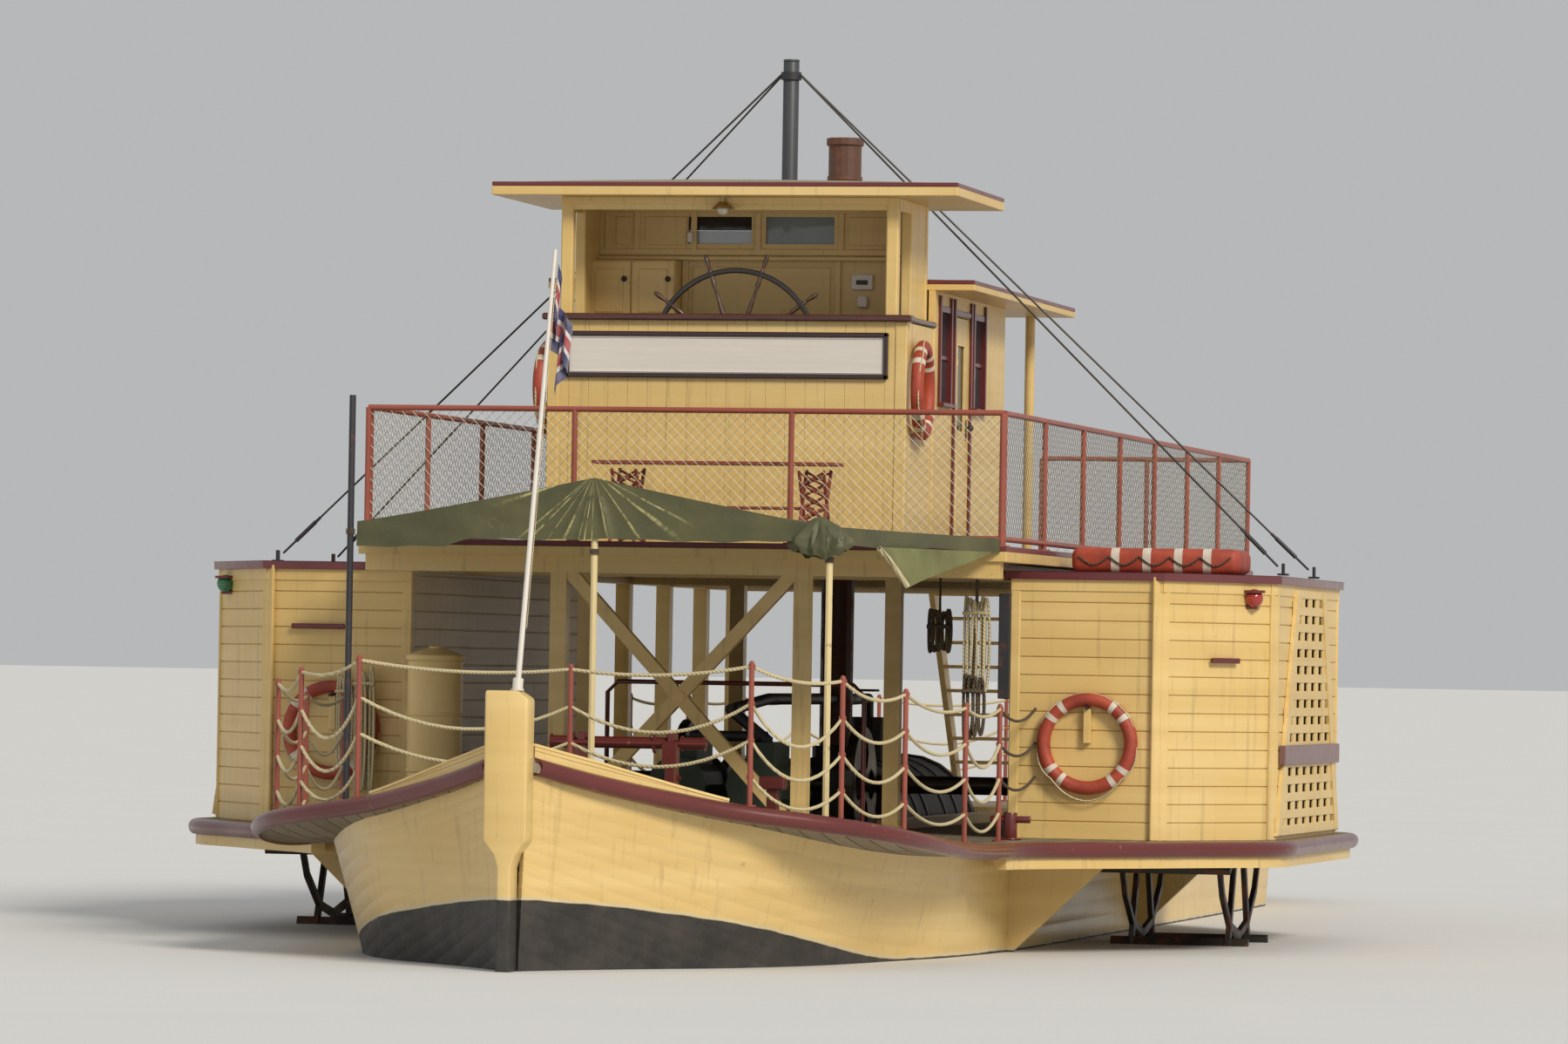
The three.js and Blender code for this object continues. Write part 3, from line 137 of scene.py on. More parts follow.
# Hull
# Carvel planks of red gum on frames, cream enamel down to a dark tarred boot-top with a pale line
# between. The planks are laid between the deck's edge and the flat bottom; the well is open above.
DECK_Z = 1.59
DECK_THICKNESS = 0.10
SHEER_START = -6.6
STEM_BACK = -10.8
SHEER_RISE = 0.6
SHEER_CURVE = 2.5
# Lines plan, bow to stern: y, half-width of the deck, then of the hull at its top, waterline and bottom
DECK_EDGE, HULL_TOP, HULL_WATER, HULL_BOTTOM = 1, 2, 3, 4
LINES = np.array([
    (-10.7997, 0.151, 0.110, 0.060, 0.040),
    (-10.45, 0.520, 0.440, 0.290, 0.160),
    (-10.08, 0.950, 0.830, 0.580, 0.370),
    (-9.79, 1.290, 1.110, 0.830, 0.570),
    (-9.50, 1.760, 1.400, 1.120, 0.810),
    (-9.10, 2.200, 1.640, 1.380, 1.040),
    (-8.60, 2.410, 1.840, 1.620, 1.280),
    (-8.00, 2.500, 2.030, 1.800, 1.500),
    (-7.00, 2.570, 2.240, 2.050, 1.800),
    (-6.60, 2.600, 2.290, 2.150, 1.900),
    (-5.15, 3.550, 2.350, 2.320, 2.060),
    (-4.00, 4.250, 2.350, 2.350, 2.080),
    (-0.70, 4.250, 2.350, 2.350, 2.080),
    (0.45, 3.550, 2.350, 2.350, 2.080),
    (1.90, 2.600, 2.350, 2.350, 2.080),
    (7.50, 2.500, 2.350, 2.300, 1.950),
    (8.775, 2.380, 2.050, 1.750, 1.050),
    (9.46, 2.170, 1.500, 1.100, 0.450),
    (9.95, 1.850, 0.500, 0.160, 0.090),
    (10.395, 1.420, 0.0, 0.0, 0.0),
    (10.735, 0.850, 0.0, 0.0, 0.0),
    (10.94, 0.300, 0.0, 0.0, 0.0),
])
HULL_END = 9.95
WELL = {"half": 1.05, "front": -3.70, "back": 2.70, "floor": 0.55}
BEAM_LOW = 1.395
KNEE_YS = (-5.12, 0.34)
KNEE_FOOT, KNEE_HEAD = 2.37, 3.05
STRAKES = 20
BILGE_STRAKES = 9
BILGE_SHARE = 0.56
TOPSIDE_SHARE = 0.44
SEAM = 0.0028
SEAM_EDGE = 0.0035
CREAM = "#DFBE77"
CREAM_SUN = "#E7CB8D"
CREAM_SHADE = "#CBA963"
BOOT_TOP = "#2A2826"


def fair(y, column):
    """A column of the lines plan at any y, on a fair curve without overshoot."""
    at, value = LINES[:, 0], LINES[:, column]
    step = np.diff(at)
    grade = np.diff(value) / step
    slope = np.zeros(len(at))
    for i in range(1, len(at) - 1):
        if grade[i - 1] * grade[i] > 0:
            slope[i] = 2 * grade[i - 1] * grade[i] / (grade[i - 1] + grade[i])
    slope[0], slope[-1] = grade[0], grade[-1]
    i = min(max(int(np.searchsorted(at, y)) - 1, 0), len(at) - 2)
    t = min(max((y - at[i]) / step[i], 0.0), 1.0)
    return float(
        (2 * t**3 - 3 * t**2 + 1) * value[i] + (t**3 - 2 * t**2 + t) * step[i] * slope[i]
        + (3 * t**2 - 2 * t**3) * value[i + 1] + (t**3 - t**2) * step[i] * slope[i + 1]
    )


def sheer(y):
    """Height of the deck's top: level amidships, rising toward the bow."""
    run = max(0.0, (SHEER_START - y) / (SHEER_START - STEM_BACK))
    return DECK_Z + SHEER_RISE * min(run, 1.04) ** SHEER_CURVE


def select_only(made):
    """Leaves one object selected and active."""
    bpy.ops.object.select_all(action="DESELECT")
    made.select_set(True)
    bpy.context.view_layer.objects.active = made


def apply_modifier(made, kind, **settings):
    """Adds a modifier with its settings and applies it."""
    select_only(made)
    modifier = made.modifiers.new(kind.title(), kind)
    for name, value in settings.items():
        setattr(modifier, name, value)
    bpy.ops.object.modifier_apply(modifier=modifier.name)
    return made


@contextmanager
def edit_mode(made):
    """Edit mode on one mesh, with all of it selected."""
    select_only(made)
    bpy.ops.object.mode_set(mode="EDIT")
    bpy.ops.mesh.select_all(action="SELECT")
    yield
    bpy.ops.object.mode_set(mode="OBJECT")


def primitive(kind, **settings):
    """A primitive on its own, with its place, turn and size applied to its mesh."""
    bpy.ops.object.select_all(action="DESELECT")
    getattr(bpy.ops.mesh, f"primitive_{kind}_add")(**settings)
    made = bpy.context.object
    bpy.ops.object.transform_apply(location=True, rotation=True, scale=True)
    return made


def laid_grid(rows, columns, place):
    """A primitive grid whose points are laid where place(row, column) says."""
    made = primitive("grid", x_subdivisions=columns - 1, y_subdivisions=rows - 1, size=1)
    points = [place(row, column) for row in range(rows) for column in range(columns)]
    made.data.vertices.foreach_set("co", np.array(points, np.float32).ravel())
    made.data.update()
    return made


def turn_outward(made, direction):
    """Turns an open sheet's faces over if most of them look away from a direction."""
    facing = sum(face.area * face.normal.dot(Vector(direction)) for face in made.data.polygons)
    if facing < 0:
        made.data.flip_normals()


def timber(low, high, eased=0.006):
    """A sawn timber between two corners, its edges eased."""
    low, high = Vector(low), Vector(high)
    made = primitive("cube", size=1, location=(low + high) / 2, scale=high - low)
    if eased:
        with edit_mode(made):
            bpy.ops.mesh.bevel(offset=eased, segments=1, affect="EDGES")
    return made


def joined(parts):
    """Several meshes as one, kept under the first one's name."""
    bpy.ops.object.select_all(action="DESELECT")
    for part in parts:
        part.select_set(True)
    bpy.context.view_layer.objects.active = parts[0]
    if len(parts) > 1:
        bpy.ops.object.join()
    return parts[0]


def copied(made, matrix):
    """A copy with its own mesh, moved by a matrix."""
    other = made.copy()
    other.data = made.data.copy()
    other.data.transform(matrix)
    if matrix.determinant() < 0:
        other.data.flip_normals()
    bpy.context.collection.objects.link(other)
    return other


MIRRORED = Matrix.Scale(-1, 4, (1, 0, 0))


def finish_piece(made, name, material, body="boat", stands_for=(), sharp=32):
    """Names a piece, gives it its finish and lets it ride on its body."""
    made.name = name
    made.data.name = name
    if material is not None:
        made.data.materials.clear()
        made.data.materials.append(material)
    select_only(made)
    bpy.ops.object.shade_smooth_by_angle(angle=math.radians(sharp))
    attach(made, body)
    if stands_for:
        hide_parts(*stands_for)
    return made


def overlaid(tree, under, over, pattern, start, end, most=1.0):
    """One colour laid over another as a pattern runs from start to end, covering at most a share of it."""
    share = add_node(tree, "MapRange", {"Value": pattern, "From Min": start, "From Max": end, "To Max": most})
    return add_node(tree, "MixRGB", {"Fac": share, "Color1": under, "Color2": over})


def relief(tree, *layers, strength=1.0):
    """A bump from layers, each a pattern and its height in metres."""
    height = None
    for pattern, metres in layers:
        layer = add_node(tree, "Math", {0: pattern, 1: metres}, operation="MULTIPLY")
        height = layer if height is None else add_node(tree, "Math", {0: height, 1: layer}, operation="ADD")
    return add_node(tree, "Bump", {"Height": height, "Distance": 1.0, "Strength": strength})


def painted_timber(name, colours, gloss=0.42, grime="#7E6A48", boot_top=False, grime_share=0.5):
    """Alkyd enamel brushed on sawn boards: soft gloss, faint brush marks, rain streaks, sun-faded drifts."""
    made, tree, shader, place = new_material(name)
    drift = add_node(tree, "TexNoise", {"Vector": place, "Scale": 0.55, "Detail": 4, "Roughness": 0.6})
    base = overlaid(tree, colours[0], colours[1], drift, 0.35, 0.65)
    board = add_node(tree, "Mapping", {"Vector": place, "Scale": (0.35, 0.35, 8.0)})
    each_board = add_node(tree, "TexNoise", {"Vector": board, "Scale": 1.0, "Detail": 2})
    tinted = overlaid(tree, base, colours[2], each_board, 0.3, 0.7, 0.45)
    rain = add_node(tree, "Mapping", {"Vector": place, "Scale": (16.0, 16.0, 0.9)})
    streaks = add_node(tree, "TexNoise", {"Vector": rain, "Scale": 1.0, "Detail": 5, "Roughness": 0.65})
    streaked = overlaid(tree, tinted, grime, streaks, 0.56, 0.78, grime_share)
    spots = add_node(tree, "TexNoise", {"Vector": place, "Scale": 7.0, "Detail": 6, "Roughness": 0.7})
    colour = overlaid(tree, streaked, "#8B7350", spots, 0.66, 0.74, 0.55)
    rough = add_node(tree, "MapRange", {"Value": spots, "To Min": gloss - 0.1, "To Max": gloss + 0.16})
    if boot_top:
        colour, rough = below_boot_top(tree, place, colour, rough)
    brush = add_node(tree, "Mapping", {"Vector": place, "Scale": (6.0, 6.0, 90.0)})
    marks = add_node(tree, "TexNoise", {"Vector": brush, "Scale": 1.0, "Detail": 3})
    unfair = add_node(tree, "TexNoise", {"Vector": place, "Scale": 2.4, "Detail": 2})
    bump = relief(tree, (marks, 0.0016), (unfair, 0.006), strength=0.6)
    connect(shader, {"Base Color": colour, "Roughness": rough, "Coat Weight": 0.12, "Coat Roughness": 0.25,
                     "Normal": bump})
    return made


def below_boot_top(tree, place, colour, rough):
    """The tarred bottom: its line stands 0.47 m above the water at the stem and runs out amidships."""
    axes = add_node(tree, "SeparateXYZ", {"Vector": place})
    line = add_node(tree, "MapRange", {"Value": axes.outputs["Y"], "From Min": -7.2, "From Max": -11.0,
                                       "To Min": 0.765, "To Max": 1.235}, interpolation_type="SMOOTHSTEP")
    wander = add_node(tree, "TexNoise", {"Vector": place, "Scale": 5.0, "Detail": 3})
    ragged = add_node(tree, "Math", {0: wander, 1: 0.018}, operation="MULTIPLY")
    over = add_node(tree, "Math", {0: axes.outputs["Z"], 1: line}, operation="SUBTRACT")
    above = add_node(tree, "Math", {0: over, 1: ragged}, operation="ADD")
    tarred = add_node(tree, "MapRange", {"Value": above, "From Min": 0.012, "From Max": 0.004})
    pale = overlaid(tree, colour, "#CFC3A2", above, 0.034, 0.026, 0.7)
    weed = add_node(tree, "TexNoise", {"Vector": place, "Scale": 3.0, "Detail": 6, "Roughness": 0.7})
    tar = overlaid(tree, BOOT_TOP, "#45403A", weed, 0.4, 0.7)
    whole = add_node(tree, "MixRGB", {"Fac": tarred, "Color1": pale, "Color2": tar})
    matt = add_node(tree, "MapRange", {"Value": tarred, "To Min": 0.0, "To Max": 0.3})
    rougher = add_node(tree, "Math", {0: rough, 1: matt}, operation="ADD", use_clamp=True)
    spread = add_node(tree, "MapRange", {"Value": rougher})
    return whole, spread


def hull_section(y):
    """Half a section from the keel to the sheer as points (x, z), rounded at the bilge."""
    top, water, bottom = (fair(y, column) for column in (HULL_TOP, HULL_WATER, HULL_BOTTOM))
    rail = sheer(y) - DECK_THICKNESS
    knots = [
        (0.0, 0.0), (bottom * 0.5, 0.0), (bottom, 0.0), (bottom + 0.72 * (water - bottom), 0.12),
        (water, 0.42), (water, WATERLINE), (top + 0.4 * (water - top), WATERLINE + 0.6 * (rail - WATERLINE)),
        (top, rail),
    ]
    girth = [0.0]
    for (x0, z0), (x1, z1) in zip(knots, knots[1:]):
        girth.append(girth[-1] + math.hypot(x1 - x0, z1 - z0))
    return knots, girth


def on_section(y, share):
    """The hull's side as (x, z) at y, a share of the way along the section's girth from the keel."""
    knots, girth = hull_section(y)
    at = share * girth[-1]
    x = float(np.interp(at, girth, [k[0] for k in knots]))
    z = float(np.interp(at, girth, [k[1] for k in knots]))
    return x, z


def planked_side():
    """Half of the hull's skin as laid planks, with a groove at each seam."""
    def seam_at(strake):
        """A seam's share of the girth: wide strakes up to the bilge, narrower ones above it."""
        if strake < BILGE_STRAKES:
            return BILGE_SHARE * strake / BILGE_STRAKES
        return BILGE_SHARE + TOPSIDE_SHARE * (strake - BILGE_STRAKES) / (STRAKES - BILGE_STRAKES)

    shares = []
    for strake in range(STRAKES):
        low, high = seam_at(strake), seam_at(strake + 1)
        shares += [(low, SEAM), (low + SEAM_EDGE, 0.0), ((low + high) / 2, 0.0), (high - SEAM_EDGE, 0.0)]
    shares.append((1.0, 0.0))
    ys = sorted({round(float(y), 4) for y in np.linspace(LINES[0, 0], HULL_END, 100)} | {SHEER_START, 7.5})

    def place(row, column):
        share, depth = shares[column]
        x, z = on_section(ys[row], share)
        return max(x - depth, 0.0) if z > 0.05 else x, ys[row], z + (depth if z <= 0.05 else 0.0)

    return laid_grid(len(ys), len(shares), place)


def hull_piece():
    """Skin, the machinery well's lining, the sponsons' knees, the transom and the rudder's heel."""
    skin = planked_side()
    turn_outward(skin, (1, 0, -0.2))
    apply_modifier(skin, "SOLIDIFY", thickness=0.045, offset=-1)
    for vertex in skin.data.vertices:
        vertex.co.x = max(vertex.co.x, 0.0)
    other = copied(skin, MIRRORED)
    half, front, back, low = WELL["half"], WELL["front"], WELL["back"], WELL["floor"]
    wall = 0.04
    top = DECK_Z - DECK_THICKNESS - 0.001
    lining = [
        timber((-half - wall, front - wall, low - wall), (half + wall, back + wall, low), 0),
        timber((-half - wall, front - wall, low), (-half, back + wall, top), 0),
        timber((half, front - wall, low), (half + wall, back + wall, top), 0),
        timber((-half, front - wall, low), (half, front, top), 0),
        timber((-half, back, low), (half, back + wall, top), 0),
    ]
    knees = []
    for side in (1, -1):
        for y in KNEE_YS:
            knee = timber((-0.5, y, WATERLINE), (0.5, y + 0.08, BEAM_LOW), 0.004)
            for vertex in knee.data.vertices:
                share = (vertex.co.z - WATERLINE) / (BEAM_LOW - WATERLINE)
                outer = KNEE_FOOT + (KNEE_HEAD - KNEE_FOOT) * share
                vertex.co.x = side * (2.2 if vertex.co.x < 0 else outer)
            knee.data.update()
            if side < 0:
                knee.data.flip_normals()
            knees.append(knee)
    transom = laid_grid(13, 2, lambda row, column: (
        (column * 2 - 1) * (on_section(HULL_END, row / 12)[0] - 0.004), HULL_END - 0.012,
        on_section(HULL_END, row / 12)[1]))
    apply_modifier(transom, "SOLIDIFY", thickness=0.03, offset=0)
    heel = timber((-0.06, 9.79, 0.0), (0.06, 10.12, 0.08))
    return joined([skin, other, *lining, *knees, transom, heel])


cream_hull_paint = painted_timber("cream_enamel_on_carvel_planks", (CREAM, CREAM_SUN, CREAM_SHADE),
                                  gloss=0.30, boot_top=True, grime_share=0.35)
finish_piece(hull_piece(), "planked_hull", cream_hull_paint, stands_for=["hull"], sharp=40)


# Stem post and bow boards
# One heavy hewn post, wide at its head and worked narrow below the strake, with the raised bulwark
# boards of the bow let in behind it and held by short inner timbers.
BOW_Y = -11.0
STEM_HALF = 0.15
STEM_TOP = 2.64
STEM_SHOULDER = (1.45, 1.63)
STEM_FOOT_HALF = 0.05
BOARD_TOPS = [(-10.84, 2.300), (-10.45, 2.170), (-10.08, 2.024), (-9.80, 1.925)]
BOARD_THICKNESS = 0.06


def stem_post():
    """The post, narrowed below its shoulder and cut away to port at its head, its edges rounded."""
    post = timber((-STEM_HALF, BOW_Y, 0.05), (STEM_HALF, STEM_BACK, STEM_TOP), 0)
    with edit_mode(post):
        for height in (*STEM_SHOULDER, 1.54, STEM_TOP - 0.055):
            bpy.ops.mesh.select_all(action="SELECT")
            bpy.ops.mesh.bisect(plane_co=(0, 0, height), plane_no=(0, 0, 1))
    for vertex in post.data.vertices:
        height = vertex.co.z
        if height <= STEM_SHOULDER[0] + 0.001:
            vertex.co.x = math.copysign(STEM_FOOT_HALF, vertex.co.x)
        elif height < STEM_SHOULDER[1] - 0.001:
            vertex.co.x *= 0.52
        elif height > STEM_TOP - 0.001:
            vertex.co.x *= 1.0 if vertex.co.x < 0 else 0.45
    apply_modifier(post, "BEVEL", width=0.018, segments=3, limit_method="ANGLE", angle_limit=math.radians(25))
    return post


def bow_boards():
    """Two boards and a capping on each side of the bow, with the short timbers that hold them."""
    tops = np.array(BOARD_TOPS)
    ys = np.linspace(-10.795, tops[-1, 0], 24)
    boards = []
    for low_share, high_share in ((0.0, 0.485), (0.515, 1.0)):
        def place(row, column, low_share=low_share, high_share=high_share):
            y = float(ys[row])
            foot, top = sheer(y) + 0.004, float(np.interp(y, tops[:, 0], tops[:, 1]))
            share = low_share if column == 0 else high_share
            return fair(y, DECK_EDGE) - 0.004, y, foot + (top - foot) * share
        board = laid_grid(len(ys), 2, place)
        turn_outward(board, (1, 0, 0))
        apply_modifier(board, "SOLIDIFY", thickness=BOARD_THICKNESS, offset=-1)
        boards.append(board)

    def cap_place(row, column):
        y = float(ys[row])
        top = float(np.interp(y, tops[:, 0], tops[:, 1]))
        return fair(y, DECK_EDGE) - (0.0 if column else BOARD_THICKNESS + 0.02), y, top
    cap = laid_grid(len(ys), 2, cap_place)
    turn_outward(cap, (0, 0, 1))
    apply_modifier(cap, "SOLIDIFY", thickness=0.018, offset=-1)
    boards.append(cap)
    for y in (-10.56, -10.25, -9.97):
        top = float(np.interp(y, tops[:, 0], tops[:, 1])) - 0.02
        x = fair(y, DECK_EDGE) - BOARD_THICKNESS
        boards.append(timber((x - 0.07, y - 0.035, sheer(y)), (x - 0.012, y + 0.035, top)))
    side = joined(boards)
    return [side, copied(side, MIRRORED)]


cream_timber_paint = painted_timber("cream_enamel_on_boards", (CREAM, CREAM_SUN, CREAM_SHADE))
finish_piece(joined([stem_post(), *bow_boards()]), "stem_and_bow_boards", cream_hull_paint,
             stands_for=["stem_post"])


# Main deck
# Caulked planks on beams that run out under the wheels, with edge timbers below the sponsons, the
# machinery hatch with its coaming, a well for each wheel and a pair of bollards.
SHAFT_Y = -2.35
HALF_BEAM = 2.35
WHEEL_WELL = {"inner": 2.42, "outer": 3.95, "half": 1.60}
SPONSON = (-6.6, 1.9)
SPONSON_BEAMS = (-6.0, KNEE_YS[0], -4.2, -0.5, KNEE_YS[1], 1.25)
BOLLARD = (2.44, -5.62)
STOCK_Y = 10.01


def weathered_planks(name, plank, along_x=False):
    """Bare planks scrubbed and greyed by weather, black pitch in the seams between them."""
    made, tree, shader, place = new_material(name)
    turned = add_node(tree, "Mapping",
                      {"Vector": place, "Rotation": (0, 0, 0 if along_x else math.radians(90))})
    bricks = add_node(tree, "TexBrick", {"Vector": turned, "Color1": "#9C8F79", "Color2": "#84765F",
                                         "Mortar": "#2D2925", "Scale": 1.0, "Mortar Size": 0.006,
                                         "Mortar Smooth": 0.2, "Brick Width": 4.2, "Row Height": plank},
                      offset=0.41)
    grain = add_node(tree, "Mapping", {"Vector": turned, "Scale": (3.0, 60.0, 60.0)})
    fibres = add_node(tree, "TexNoise", {"Vector": grain, "Scale": 1.0, "Detail": 6, "Roughness": 0.65})
    aged = overlaid(tree, bricks, "#5F5342", fibres, 0.35, 0.7, 0.5)
    stains = add_node(tree, "TexNoise", {"Vector": place, "Scale": 0.9, "Detail": 5})
    stained = overlaid(tree, aged, "#6B6254", stains, 0.5, 0.75, 0.4)
    bump = relief(tree, (bricks.outputs["Fac"], -0.004), (fibres, 0.0015))
    connect(shader, {"Base Color": stained, "Roughness": 0.8, "Normal": bump})
    return made


def bar(start, end, radius, sides=12):
    """A round bar between two points."""
    start, end = Vector(start), Vector(end)
    along = end - start
    return primitive("cylinder", vertices=sides, radius=radius, depth=along.length,
                     location=(start + end) / 2, rotation=along.to_track_quat("Z", "Y").to_euler())


def deck_rows(first, last, spacing=0.22):
    """Stations for laying a piece along the deck, fair through the lines plan's own."""
    count = max(2, round((last - first) / spacing) + 1)
    return [float(y) for y in np.linspace(first, last, count)]


def cut_away(made, cutters):
    """Takes the cutters out of a piece and deletes them."""
    tool = joined(cutters)
    apply_modifier(made, "BOOLEAN", object=tool, operation="DIFFERENCE", solver="EXACT", use_self=True)
    bpy.data.objects.remove(tool, do_unlink=True)
    return made


def main_deck():
    """The deck from bow to stern, with the wells, the hatch and the rudder stock's hole cut out."""
    ys = deck_rows(LINES[0, 0], LINES[-1, 0])
    columns = 29

    def place(row, column):
        y = ys[row]
        return (2 * column / (columns - 1) - 1) * fair(y, DECK_EDGE), y, sheer(y)
    slab = laid_grid(len(ys), columns, place)
    turn_outward(slab, (0, 0, 1))
    apply_modifier(slab, "SOLIDIFY", thickness=DECK_THICKNESS, offset=-1)
    cutters = [
        timber((side * WHEEL_WELL["inner"], SHAFT_Y - WHEEL_WELL["half"], 1.2),
               (side * WHEEL_WELL["outer"], SHAFT_Y + WHEEL_WELL["half"], 1.9), 0)
        for side in (1, -1)]
    cutters.append(timber((-WELL["half"], WELL["front"], 1.2), (WELL["half"], WELL["back"], 1.9), 0))
    cutters.append(bar((0, STOCK_Y, 1.2), (0, STOCK_Y, 2.2), 0.057, 24))
    return cut_away(slab, cutters)


def both_sides(made, *others):
    """A port piece joined with its mirrored copy, and with any others that belong to them."""
    return joined([made, copied(made, MIRRORED), *others])


def under_sponsons():
    """Beams and edge timber that carry the port sponson, and its bollard."""
    ys = deck_rows(*SPONSON)

    def place(row, column):
        return fair(ys[row], DECK_EDGE) - 0.002, ys[row], BEAM_LOW if column == 0 else DECK_Z - DECK_THICKNESS
    edge = laid_grid(len(ys), 2, place)
    turn_outward(edge, (1, 0, 0))
    apply_modifier(edge, "SOLIDIFY", thickness=0.1, offset=-1)
    parts = [edge]
    for y in SPONSON_BEAMS:
        parts.append(timber((HALF_BEAM, y, BEAM_LOW),
                            (fair(y, DECK_EDGE) - 0.06, y + 0.08, DECK_Z - DECK_THICKNESS)))
    for x in (WHEEL_WELL["inner"] - 0.05, WHEEL_WELL["outer"]):
        parts.append(timber((x, SHAFT_Y - 1.7, BEAM_LOW + 0.02),
                            (x + 0.05, SHAFT_Y + 1.7, DECK_Z - DECK_THICKNESS)))
    return joined(parts)


def coaming():
    """The low boards round the machinery hatch, open at its fore end."""
    half, front, back = WELL["half"], WELL["front"], WELL["back"]
    return joined([
        timber((-half - 0.06, front - 0.06, DECK_Z), (-half, back + 0.06, DECK_Z + 0.09)),
        timber((half, front - 0.06, DECK_Z), (half + 0.06, back + 0.06, DECK_Z + 0.09)),
        timber((-half, back, DECK_Z), (half, back + 0.06, DECK_Z + 0.09)),
    ])


def bollard():
    """A cross bollard: a round post on a flange, with a bar through it."""
    x, y = BOLLARD
    post = bar((x, y, DECK_Z - 0.004), (x, y, DECK_Z + 0.20), 0.05, 20)
    flange = bar((x, y, DECK_Z), (x, y, DECK_Z + 0.014), 0.085, 20)
    horn = bar((x - 0.15, y, DECK_Z + 0.15), (x + 0.15, y, DECK_Z + 0.15), 0.026, 14)
    made = joined([post, flange, horn])
    return apply_modifier(made, "BEVEL", width=0.007, segments=2, limit_method="ANGLE")


def gloss_maroon(name="maroon_gloss_enamel", colours=("#571F1D", "#6E2A27"), gloss=0.24):
    """Maroon gloss enamel, brushed thick over hardwood: deep shine, dull scuffs and chips to bare wood."""
    made, tree, shader, place = new_material(name)
    drift = add_node(tree, "TexNoise", {"Vector": place, "Scale": 1.3, "Detail": 4})
    tint = add_node(tree, "MixRGB", {"Fac": drift, "Color1": colours[0], "Color2": colours[1]})
    scuffs = add_node(tree, "TexNoise", {"Vector": place, "Scale": 9.0, "Detail": 7, "Roughness": 0.7})
    worn = overlaid(tree, tint, "#9C6E55", scuffs, 0.64, 0.7, 0.7)
    rough = add_node(tree, "MapRange", {"Value": scuffs, "To Min": gloss - 0.08, "To Max": gloss + 0.25})
    bump = relief(tree, (drift, 0.01), strength=0.5)
    connect(shader, {"Base Color": worn, "Roughness": rough, "Coat Weight": 0.35, "Coat Roughness": 0.12,
                     "Normal": bump})
    return made


deck_wood = weathered_planks("weathered_deck_planks", 0.14)
maroon_paint = gloss_maroon()
finish_piece(main_deck(), "main_deck_planks", deck_wood, stands_for=["main_deck"])
finish_piece(both_sides(under_sponsons()), "sponson_beams", cream_timber_paint)
finish_piece(coaming(), "hatch_coaming", cream_timber_paint)
finish_piece(both_sides(bollard()), "foredeck_bollards", maroon_paint)


# Guard strake
# Half-round rubbing timber bolted round the deck's edge in long lengths, its top flush with the deck,
# under several coats of maroon enamel.
STRAKE_RADIUS = 0.060
STRAKE_DROP = 0.060


def guard_strake():
    """The port side's strake, a half round swept along the deck's edge."""
    ys = deck_rows(LINES[0, 0], LINES[-1, 0], 0.16)
    arc = [math.radians(a) for a in range(-90, 91, 15)]

    def place(row, column):
        y = ys[row]
        ahead, behind = min(y + 0.05, LINES[-1, 0]), max(y - 0.05, LINES[0, 0])
        along = Vector((fair(ahead, DECK_EDGE) - fair(behind, DECK_EDGE), ahead - behind, 0)).normalized()
        out = Vector((along.y, -along.x, 0))
        if row in (0, len(ys) - 1):
            out = Vector((1, 0, 0)) if row == 0 else Vector((0.7, 0.0, 0))
        reach = STRAKE_RADIUS * math.cos(arc[column])
        return (
            fair(y, DECK_EDGE) + 0.0003 + out.x * reach, y + out.y * reach,
            sheer(y) - STRAKE_DROP + STRAKE_RADIUS * math.sin(arc[column]))
    made = laid_grid(len(ys), len(arc), place)
    turn_outward(made, (1, 0, 0))
    apply_modifier(made, "SOLIDIFY", thickness=0.03, offset=-1)
    return made


stern_y, strake_z = LINES[-1, 0], DECK_Z - STRAKE_DROP
aft_strake = bar((-0.31, stern_y, strake_z), (0.31, stern_y, strake_z), STRAKE_RADIUS, 20)
finish_piece(both_sides(guard_strake(), aft_strake), "maroon_guard_strake", maroon_paint,
             stands_for=["guard_strake"])


# Paddle boxes
# Horizontal weatherboards on a frame, with upright corner boards, a frieze plank under a felted flat
# roof with a maroon edge, and a hand-hold bolted to the forward faces.
BOX = {"inner": 2.30, "shoulder": 3.44, "outer": 4.13, "front": -5.00, "chamfer": -3.95, "top": 3.58}
SHAFT_Z = 1.93
BOX_BACK = 2 * SHAFT_Y - BOX["front"]
BOX_CHAMFER_BACK = 2 * SHAFT_Y - BOX["chamfer"]
BOX_ROOF_FOOT = BOX["top"] - 0.04
BOX_OVERHANG = 0.04
WEATHERBOARD = 0.135
BOARD_GAP = 0.006
BOX_SKIN = 0.022


def repeated(made, count, pitch):
    """A row of one piece at an even pitch."""
    return apply_modifier(made, "ARRAY", count=count, use_relative_offset=False, use_constant_offset=True,
                          constant_offset_displace=pitch)


def stood_along(made, start, along, foot):
    """Stands a piece built along X from the origin at a place, turned to a direction in plan."""
    turn = Matrix.Rotation(math.atan2(along.y, along.x), 4, "Z")
    made.data.transform(Matrix.Translation((start.x, start.y, foot)) @ turn)
    return made


